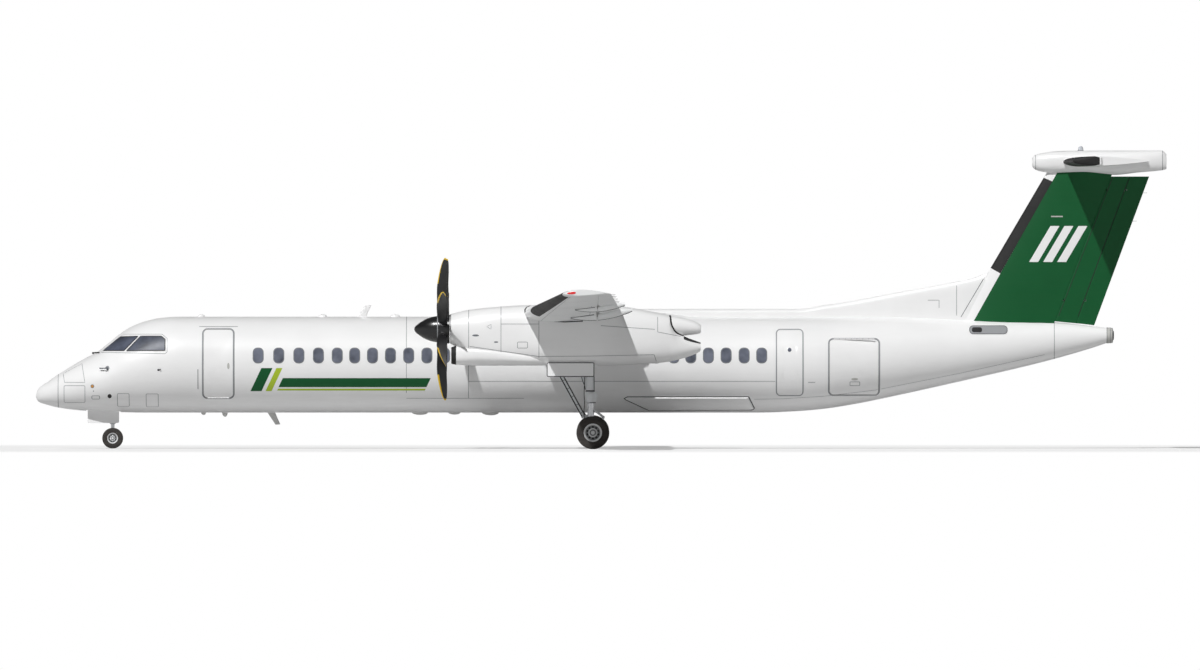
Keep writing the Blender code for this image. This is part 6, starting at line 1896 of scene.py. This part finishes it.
COWLING_SEAMS = (((501.6, 324.1), (539.3, 324.1)),
                 ((470.4, 346.3), (539.3, 356.3), (590, 355.9), (653.8, 354.5), (655.9, 361.0)),
                 ((657.3, 317.0), (657.3, 332.0), (680.0, 336.4)), ((600.8, 325.7), (654.7, 329.4)))
WING_ROOT_LINE = ((530.5, 306.0), (527, 307.5), (525.3, 310.0), (525.6, 313.2), (529, 316.4), (533, 318.5),
                  (540, 320.2), (548, 321.0), (565, 322.0), (583, 321.2))


def make_nacelle_details():
    """Cowling seams, vents and panels on both faces of each nacelle."""
    for side, word in SIDES:
        pod = nacelles[side]
        parts = [(ring_seam(pod, x, -turn, turn), "seam_line") for x, turn in zip(COWLING_SEAM_XS, (2.2, 2.3, 2.3))]
        parts.append((ring_seam(pod, NACELLE_FRONT_X + 0.012, width=0.02), "dark_steel"))
        for out in (-1, 1):
            face = pod.side(out)
            parts += [(strip_on(face, seen_path(*path), 0.015), "seam_line") for path in COWLING_SEAMS]
            triangle = seen_path((487.5, 326.8), (491.8, 324.3), (491.8, 329.2))
            parts += [(seen_frame(face, 518, 528, 342, 348), "seam_line"),
                      (seen_frame(face, 510.6, 516.3, 355.6, 359.5, 0.02), "seam_line"),
                      (strip_on(face, triangle, 0.012, closed=True), "seam_line"),
                      (seen_spot(face, 476.4, 335.4, 3.4, 1.0), "window_rim"),
                      (seen_spot(face, 496.8, 342.0, 2.2, 0.7), "window_rim")]
            if out == side:
                parts.append((strip_on(face, seen_path(*WING_ROOT_LINE), 0.032, 0.004, 0.04), "pane_frame"))
        piece_of("nacelle_fittings_" + word, parts, "airframe")


def make_wing_details():
    """Navigation lamps, aileron and flap seams and the static wicks."""
    for side, word in SIDES:
        x, y, z = TIP_LAMP
        lamp = turned([(-0.135, 0.0), (-0.12, 0.018), (-0.07, 0.034), (0.0, 0.042), (0.07, 0.038), (0.12, 0.022),
                       (0.135, 0.0)], (x, side * y, z), (1, 0, 0.06), 28)
        parts = [(lamp, "red_lens" if side < 0 else "green_lens")]
        panel = wing_panel(side)
        for low_y, high_y, u in ((PANEL_BREAK_Y + 0.05, 13.9, 0.16), (OUTER_FLAP[0], OUTER_FLAP[1], 0.66)):
            for face in (panel.face(1), panel.face(-1)):
                ends = [(u, at_y(panel, side * low_y)), (u, at_y(panel, side * high_y))]
                parts.append((strip_on(face, ends, 0.012, SEAM_LIFT, 0.05), "seam_line"))
        for y_seam in (7.4, 9.83, 12.0):
            for face in (panel.face(1), panel.face(-1)):
                t = at_y(panel, side * y_seam)
                parts.append((strip_on(face, [(0.14, t), (0.70, t)], 0.012, SEAM_LIFT, 0.05), "seam_line"))
        for wing, low_y, high_y in ((centre_panel(side), 1.75, 3.55), (panel, 5.4, 7.3), (panel, 7.45, 9.6)):
            near, far = at_y(wing, side * low_y), at_y(wing, side * high_y)
            frame_path = [(0.62, near), (0.74, near), (0.74, far), (0.62, far)]
            parts.append((strip_on(wing.face(1), frame_path, 0.014, SEAM_LIFT, 0.02, closed=True), "seam_line"))
        piece_of("wing_fittings_" + word, parts, "airframe")
        wicks = []
        for y_wick in (10.4, 11.6, 12.8, 13.7):
            end = panel.point(at_y(panel, side * y_wick), 0.995)
            wicks.append((bar(end, end + Vector((0.13, 0, -0.004)), 0.0045, 10), "hose_rubber"))
        piece_of("aileron_wicks_" + word, wicks, "aileron_" + word)
    for z_wick in (7.42, 6.6):
        end = fin_panel.point(fin_level(z_wick), 0.995)
        wick = bar(end, end + Vector((0.13, 0, 0)), 0.0045, 10)
        piece_of("rudder_wick_%d" % round(z_wick * 10), [(wick, "hose_rubber")], "rudder_trailing")


# Landing gear

def tyre_profile(radius, width, rim):
    """A tyre's section as (distance from its middle, radius) points, closed."""
    half, height = width / 2, radius - rim
    wall = [(-half * 0.76, rim), (-half * 0.82, rim + height * 0.06), (-half * 0.93, rim + height * 0.22),
            (-half, rim + height * 0.46), (-half * 0.97, rim + height * 0.68), (-half * 0.88, rim + height * 0.86),
            (-half * 0.76, radius - height * 0.035), (-half * 0.66, radius)]
    tread = []
    for k in range(TYRE_GROOVES):
        middle = half * 0.62 * (2 * (k + 0.5) / TYRE_GROOVES - 1)
        tread += [(middle - 0.0055, radius), (middle - 0.004, radius - 0.009), (middle + 0.004, radius - 0.009),
                  (middle + 0.0055, radius)]
    back = [(-reach, level) for reach, level in reversed(wall)]
    return wall + tread + back + [wall[0]]


def rim_profile(radius, width, out):
    """A wheel's section from its inner edge to the hub cap's middle; out is the side that faces away."""
    half = width / 2
    section = [(-0.80, 1.0), (-0.84, 1.03), (-0.78, 1.03), (-0.70, 0.95), (0.0, 0.93), (0.62, 0.94),
               (0.78, 1.03), (0.86, 1.035), (0.86, 0.99), (0.70, 0.93), (0.52, 0.84), (0.46, 0.74),
               (0.47, 0.52), (0.56, 0.47), (0.64, 0.38), (0.60, 0.33), (0.60, 0.22), (0.76, 0.19), (0.78, 0.0)]
    return [(out * half * reach, radius * part) for reach, part in section]


def make_wheels(name, centre, tyre, offset, holes):
    """Twin wheels on a live axle, with brake packs between them."""
    radius, width, rim = tyre
    for out in (-1, 1):
        word = ("right" if out > 0 else "left") if centre[1] == 0 else ("outer" if out * centre[1] > 0 else "inner")
        middle = Vector(centre) + Vector((0, out * offset, 0))
        cover = turned(tyre_profile(radius, width, rim), middle, (0, 1, 0), 96)
        piece_of(name + "_tyre_cover_" + word, [(cover, "tyre_rubber")], name, (name + "_tyre_" + word,),
                 weld=True)
    parts = []
    for out in (-1, 1):
        middle = Vector(centre) + Vector((0, out * offset, 0))
        profile = rim_profile(rim, width, out)
        # The mid grey bands on the dish and the hub step are painted shade of the wheel's recesses.
        for first, last, paint in ((0, 11, "wheel_paint"), (10, 13, "rim_shade"), (12, 15, "wheel_paint"),
                                   (14, 17, "rim_shade"), (16, 19, "wheel_paint")):
            parts.append((turned(profile[first:last], middle, (0, 1, 0), 72), paint))
        face = out * width / 2 * 0.485
        # Shallow black cups where the lightening holes would be: painted shade of the holes.
        for k in range(holes):
            angle = 2 * math.pi * (k + 0.5) / holes
            spot = middle + Vector((rim * 0.64 * math.cos(angle), face, rim * 0.64 * math.sin(angle)))
            hole_shade = turned([(-0.001, 0.0), (-0.001, rim * 0.10), (out * 0.006, rim * 0.118), (out * 0.007, rim * 0.105),
                          (out * 0.003, rim * 0.09), (out * 0.003, 0.0)], spot, (0, 1, 0), 20)
            parts.append((hole_shade, "tread_black"))
        for k in range(holes):
            angle = 2 * math.pi * k / holes
            spot = middle + Vector((rim * 0.46 * math.cos(angle), out * width / 2 * 0.50, rim * 0.46 * math.sin(angle)))
            parts.append((turned([(0, 0.0), (0, 0.011), (out * 0.012, 0.011), (out * 0.014, 0.007), (out * 0.014, 0.0)],
                                 spot, (0, 1, 0), 6), "bare_metal"))
    axle = 0.055 if centre[1] else 0.035
    start, end = (Vector(centre) + Vector((0, out * (offset + width * 0.3), 0)) for out in (-1, 1))
    parts.append((bar(start, end, axle * 0.97, 24), "chrome_rod"))
    piece_of(name + "_rims_and_axle", parts, name, (name + "_rims",), sharp=30)
    if centre[1]:
        packs = []
        for out in (-1, 1):
            middle = Vector(centre) + Vector((0, out * (offset - width * 0.42), 0))
            for k in range(5):
                disc = [(0.0, 0.07), (0.0, rim * 0.80), (0.010, rim * 0.82), (0.020, rim * 0.80), (0.020, 0.07)]
                packs.append((turned(disc, middle + Vector((0, (k - 2) * 0.024, 0)), (0, 1, 0), 40), "dark_steel"))
            barrel = [(-0.07, 0.06), (-0.07, 0.115), (0.07, 0.115), (0.07, 0.06)]
            packs.append((turned(barrel, middle, (0, 1, 0), 32), "bare_metal"))
        piece_of(name + "_brake_packs", packs, "airframe")


def make_main_gear():
    """Each main leg with its drag brace, torque links, hoses and doors."""
    for side, word in SIDES:
        y = side * NACELLE_Y
        top = MAIN_WELL[3]

        def spot(x, z, across=0.0):
            return Vector((x, y + across, z))

        collar = [(1.655, 0.0), (1.655, 0.128), (1.63, 0.150), (1.58, 0.163), (1.50, 0.167), (1.42, 0.160),
                  (1.36, 0.135), (1.341, 0.118), (1.341, 0.0)]
        high_band = [(1.70, 0.126), (1.69, 0.136), (1.668, 0.136), (1.658, 0.126)]
        low_band = [(1.352, 0.10), (1.352, 0.128), (1.328, 0.124), (1.328, 0.09)]
        gusset = [(LEG_X, 2.60), (-0.66, 2.60), (-0.60, 2.20), (-0.57, 2.075), (-0.53, 1.95), (-0.485, 1.84),
                  (-0.46, 1.718), (LEG_X, 1.70)]
        leg = [(bar(spot(LEG_X, top), spot(LEG_X, 2.0), 0.16, 32, 0.125), "gear_paint"),
               (bar(spot(LEG_X, 2.02), spot(LEG_X + 0.02, 1.34), 0.125, 32), "gear_paint"),
               (slab(gusset, y - 0.06, y + 0.06, 0.006), "gear_paint"),
               (turned(collar, spot(COLLAR_X, 0), (0, 0, 1), 40), "gear_paint"),
               (turned(high_band, spot(LEG_X + 0.01, 0), (0, 0, 1), 40), "pane_frame"),
               (turned(low_band, spot(COLLAR_X, 0), (0, 0, 1), 40), "pane_frame"),
               (bar(spot(LEG_X + 0.02, 1.40), spot(MAIN_AXLE_X - 0.06, MAIN_AXLE_Z + 0.05), 0.095, 32), "chrome_rod"),
               (bar(spot(MAIN_AXLE_X - 0.066, 0.72), spot(MAIN_AXLE_X - 0.06, MAIN_AXLE_Z + 0.02), 0.104, 32),
                "gear_paint"),
               (bar(spot(MAIN_AXLE_X, MAIN_AXLE_Z, -0.1), spot(MAIN_AXLE_X, MAIN_AXLE_Z, 0.1), 0.105, 32),
                "gear_paint"),
               (bar(spot(MAIN_AXLE_X, MAIN_AXLE_Z), spot(MAIN_AXLE_X, 0.30), 0.045, 20), "gear_paint")]
        head, foot = spot(*BRACE_TOP), spot(*BRACE_FOOT)
        aslant = (foot - head).cross(Vector((0, 1, 0))).normalized() * 0.046
        for offset in (-aslant, aslant):
            leg.append((bar(head + offset, foot + offset, 0.0185, 16), "pane_frame"))
        corners = [head - aslant, head + aslant, foot + aslant, foot - aslant]
        leg.append((slab([(corner.x, corner.z) for corner in corners], y - 0.008, y + 0.008, 0.001), "gear_paint"))
        for k in range(6):
            here = head.lerp(foot, (k + 0.5) / 6)
            leg.append((bar(here - aslant, here + aslant, 0.012, 10), "rim_shade"))
        leg += [(bar(head - Vector((0, 0.238, 0)), head + Vector((0, 0.238, 0)), 0.05, 24), "gear_paint"),
                (bar(head - aslant * 1.6, head + aslant * 1.6, 0.03, 16), "gear_paint"),
                (bar(foot - aslant * 1.6, foot + aslant * 1.6, 0.03, 16), "gear_paint"),
                (bar(foot, spot(LEG_X + 0.05, 0.88), 0.048, 20), "gear_paint")]
        for (x0, z0), (x1, z1) in LINKS:
            for across in (-0.055, 0.055):
                leg.append((bar(spot(x0, z0, across), spot(x1, z1, across * 0.5), 0.024, 14), "gear_paint"))
            web = [(x0, z0 - 0.012), (x0, z0 + 0.012), (x1, z1 + 0.012), (x1, z1 - 0.012)]
            leg.append((slab(web, y - 0.05, y + 0.05, 0.002), "gear_paint"))
        leg.append((bar(spot(*LINKS[0][1], -0.05), spot(*LINKS[0][1], 0.05), 0.03, 16), "bare_metal"))
        for across in (-0.063, 0.063):
            leg.append((tube([spot(x, z, across) for x, z in gusset[2:7]], 0.011, 10), "pane_frame"))
            leg.append((tube([spot(LEG_X + 0.125, z, across) for z in steps(2.2, 1.70, 6)], 0.011, 10), "pane_frame"))
        piece_of("main_leg_assembly_" + word, leg, "airframe", ("main_leg_" + word,))
        for across, kind in ((-0.07, "a"), (0.07, "b")):
            route = [spot(LEG_X - 0.13, 2.35, across), spot(LEG_X - 0.15, 2.0, across),
                     spot(LEG_X - 0.165, 1.6, across * 1.2), spot(LEG_X - 0.15, 1.3, across * 1.3),
                     spot(LEG_X - 0.17, 1.0, across * 1.4), spot(LEG_X - 0.10, 0.75, across * 1.4),
                     spot(MAIN_AXLE_X - 0.04, 0.58, across * 1.2)]
            piece_of("brake_hose_" + kind + "_" + word, [(tube(smoothed(route), 0.011, 12), "hose_rubber")], "airframe")
        low_x, high_x, low_z, high_z = MAIN_DOOR
        doors = [(block((low_x, y - 0.50, high_z - 0.06), (-1.42, y + 0.50, high_z - 0.03), 0.004), "white_paint")]
        for edge in (-1, 1):
            at = y + edge * 0.485
            doors.append((slab(rounded(low_x, high_x, low_z, high_z, 0.05), at - 0.0149, at + 0.0149), "white_paint"))
            face = Cover(lambda x, z, level=at + edge * 0.0150: Vector((x, level, z)),
                         lambda point, edge=edge: Vector((0, edge, 0)))
            seal = rounded(low_x + 0.018, high_x - 0.018, low_z + 0.018, high_z - 0.018, 0.035)
            doors.append((strip_on(face, seal, 0.026, 0.001, 0.1, closed=True), "pane_frame"))
        piece_of("main_gear_door_panels_" + word, doors, "airframe", ("main_gear_doors_" + word,))
        make_wheels("main_wheels_" + word, (MAIN_AXLE_X, y, MAIN_AXLE_Z), MAIN_TYRE, MAIN_WHEEL_Y, 10)


def smoothed(route):
    """A rounder path through the same points."""
    count = 8
    points = [route[0]] + list(route) + [route[-1]]
    path = []
    for a, b, c, d in zip(points, points[1:], points[2:], points[3:]):
        for k in range(count):
            t = k / count
            path.append(0.5 * (2 * b + (c - a) * t + (2 * a - 5 * b + 4 * c - d) * t**2
                               + (3 * b - a - 3 * c + d) * t**3))
    return path + [route[-1]]


def make_nose_gear():
    """The nose leg and brace, the steered fork, the bay doors and the wheels."""
    x, axle_z = NOSE_GEAR_X, NOSE_TYRE[0]
    low, high, half, top = NOSE_BAY
    leg = [(bar((x, 0, top), (x, 0, NOSE_SLEEVE_Z), 0.075, 32), "gear_paint"),
           (bar((x, -half, top - 0.1), (x, half, top - 0.1), 0.045, 24), "gear_paint"),
           (bar((x, 0, NOSE_SLEEVE_Z + 0.12), (high - 0.06, 0, top - 0.02), 0.035, 20), "gear_paint"),
           (bar((x, 0, 0.86), (x, 0, NOSE_SLEEVE_Z + 0.002), 0.09, 32), "gear_paint")]
    piece_of("nose_leg_assembly", leg, "airframe", ("nose_leg",))
    fork = [(bar((x, 0, NOSE_SLEEVE_Z), (x, 0, axle_z), 0.055, 28), "chrome_rod"),
            (bar((x, 0, NOSE_SLEEVE_Z - 0.002), (x, 0, NOSE_SLEEVE_Z - 0.07), 0.085, 32), "gear_paint"),
            (bar((x, 0, 0.43), (x, 0, axle_z), 0.062, 28), "gear_paint"),
            (bar((x, -0.06, axle_z), (x, 0.06, axle_z), 0.07, 28), "gear_paint"),
            (block((x - 0.145, -0.025, axle_z - 0.04), (x, 0.025, axle_z + 0.04), 0.006), "gear_paint")]
    piece_of("nose_fork_assembly", fork, "nose_fork", ("nose_fork",))
    for side, word in SIDES:
        at = side * (half + 0.02)
        panel = slab(rounded(low + 0.05, high - 0.05, 0.74, 1.25, 0.05), at - 0.011, at + 0.011)
        piece_of("nose_door_panel_" + word, [(panel, "white_paint")], "airframe", ("nose_gear_door_" + word,))
    make_wheels("nose_wheels", (x, 0, axle_z), NOSE_TYRE, NOSE_WHEEL_Y, 8)


def make_bay_ribs():
    """Ribs, pipes and the taxi lamps in and below the wheel bays."""
    bays = [(*MAIN_WELL, side * NACELLE_Y) for side, _ in SIDES] + [(*NOSE_BAY, 0.0)]
    parts = []
    for low, high, half, top, y in bays:
        for x in steps(low + 0.12, high - 0.12, 6):
            rib = block((x - 0.012, y - half + 0.003, top - 0.06), (x + 0.012, y + half - 0.003, top - 0.003), 0.003)
            parts.append((rib, "bay_green"))
        for across, radius in ((-0.16, 0.012), (-0.12, 0.009), (0.15, 0.014)):
            path = [(low + 0.02, y + across, top - 0.075), (high - 0.02, y + across, top - 0.075)]
            parts.append((tube(path, radius, 12), "bare_metal" if across < 0 else "hose_rubber"))
    for across in (-0.115, 0.115):
        place = (NOSE_GEAR_X - 0.03, across, 0.94), (-1, 0, 0), 32
        shell = [(-0.05, 0.0), (-0.05, 0.02), (-0.02, 0.045), (0.03, 0.06), (0.045, 0.058), (0.03, 0.05)]
        parts += [(turned(shell, *place), "gear_paint"),
                  (turned([(0.03, 0.0), (0.03, 0.055), (0.036, 0.052), (0.046, 0.03), (0.05, 0.0)], *place),
                   "clear_lens"),
                  (bar((NOSE_GEAR_X, 0, 0.94), (NOSE_GEAR_X - 0.01, across, 0.94), 0.016, 14), "gear_paint")]
    piece_of("wheel_bay_fittings", parts, "airframe")


# Studio

FLOOR_HALF_SIZES = (60, 28)
FLOOR_FADE_STARTS = (30.0, 16.0)
FLOOR_FADE_ENDS = (58.0, 28.0)
SUN_WAY = (0.39, 0.8, -1.0)
PHOTO_WIDTH = 1200
PHOTO_CENTRE = (600, 335)
LENS_LENGTH = 800.0


def floor_finish():
    """Pale matt paper that throws a little less light up than it shows."""
    material = bpy.data.materials.new("studio_paper")
    material.use_nodes = True
    nodes = Nodes(material.node_tree)
    seen = nodes.place("LightPath").outputs["Is Camera Ray"]
    where = nodes.place("TexCoord").outputs["Object"]
    level = nodes.multiply(nodes.spread(seen, 0.0, 1.0, 0.60, 0.99),
                           nodes.spread(nodes.noise(where, 0.3), 0.3, 0.7, 0.99, 1.0))
    shader = material.node_tree.nodes["Principled BSDF"]
    nodes.feed(shader, {"Base Color": nodes.place("CombineColor", {0: level, 1: level, 2: level}).outputs[0],
                        "Roughness": 0.95})
    place = nodes.place("SeparateXYZ", {0: where}).outputs
    ends = [nodes.spread(nodes.place("Math", {0: place[axis]}, operation="ABSOLUTE").outputs[0], low, high, 0.0, 1.0)
            for axis, low, high in zip((0, 1), FLOOR_FADE_STARTS, FLOOR_FADE_ENDS)]
    faded = nodes.place("Math", {0: ends[0], 1: ends[1]}, operation="MAXIMUM").outputs[0]
    shown = nodes.multiply(seen, nodes.spread(faded, 0.0, 1.0, 0.35, 1.0))
    white = nodes.place("Emission", {"Color": (1, 1, 1, 1), "Strength": 1.0}).outputs[0]
    mixed = nodes.place("MixShader", {0: shown, 1: shader.outputs[0], 2: white}).outputs[0]
    nodes.feed(material.node_tree.nodes["Material Output"], {"Surface": mixed})
    return material


def make_stage():
    """A pale floor, a broad sun from the upper left and a white surround that fills from the sides."""
    floor = bpy.data.meshes.new("studio_floor")
    x, y = FLOOR_HALF_SIZES
    floor.from_pydata([(-x, -y, 0), (x, -y, 0), (x, y, 0), (-x, y, 0)], [], [(0, 1, 2, 3)])
    floor.materials.append(floor_finish())
    ground = put_in_scene("studio_floor", floor)
    sun = bpy.data.lights.new("key_light", "SUN")
    sun.energy, sun.angle = 2.9, math.radians(1.2)
    lamp = put_in_scene("key_light", sun)
    lamp.rotation_euler = Vector(SUN_WAY).to_track_quat("-Z", "Y").to_euler()
    world = bpy.data.worlds.new("studio")
    bpy.context.scene.world = world
    world.use_nodes = True
    nodes = Nodes(world.node_tree)
    shown = nodes.place("LightPath").outputs["Is Camera Ray"]
    glow = world.node_tree.nodes["Background"]
    way = nodes.place("SeparateXYZ", {0: nodes.place("TexCoord").outputs["Generated"]}).outputs
    fill = nodes.multiply(nodes.spread(way[2], 0.05, 0.5, 1.0, 0.12), nodes.spread(way[1], -1.0, 1.0, 0.42, 0.66))
    nodes.feed(glow, {"Color": (1, 1, 1, 1), "Strength": nodes.spread(shown, 0.0, 1.0, fill, 1.0)})


def make_camera():
    """A very long lens square to the left side, as the drawing is."""
    lens = bpy.data.cameras.new("view")
    lens.lens, lens.sensor_width, lens.clip_start, lens.clip_end = LENS_LENGTH, 36.0, 10.0, 2000.0
    width = PHOTO_WIDTH * PIXEL
    camera = put_in_scene("view", lens)
    x, z = seen_at(*PHOTO_CENTRE)
    camera.location = (x, -width * lens.lens / lens.sensor_width, z)
    camera.rotation_euler = (math.pi / 2, 0, 0)
    bpy.context.scene.camera = camera
    bpy.context.scene.view_settings.view_transform = "Standard"


make_stage()
make_camera()
make_hull()
make_tail_cap()
make_cabin_windows()
make_cockpit_glass()
make_rooms()
make_hinged_doors()
make_airstair_steps()
make_hold_liners()
make_fixed_doors()
make_belly_fairings()
make_wing()
make_wing_fairing()
make_wing_boots()
make_nacelles()
make_propellers()
make_fin()
make_dorsal()
make_tail_bullet()
make_tailplane()
make_main_gear()
make_nose_gear()
make_bay_ribs()
make_body_seams()
make_body_details()
make_aerials()
make_livery()
make_fin_edge()
make_bullet_seams()
make_nacelle_details()
make_wing_details()
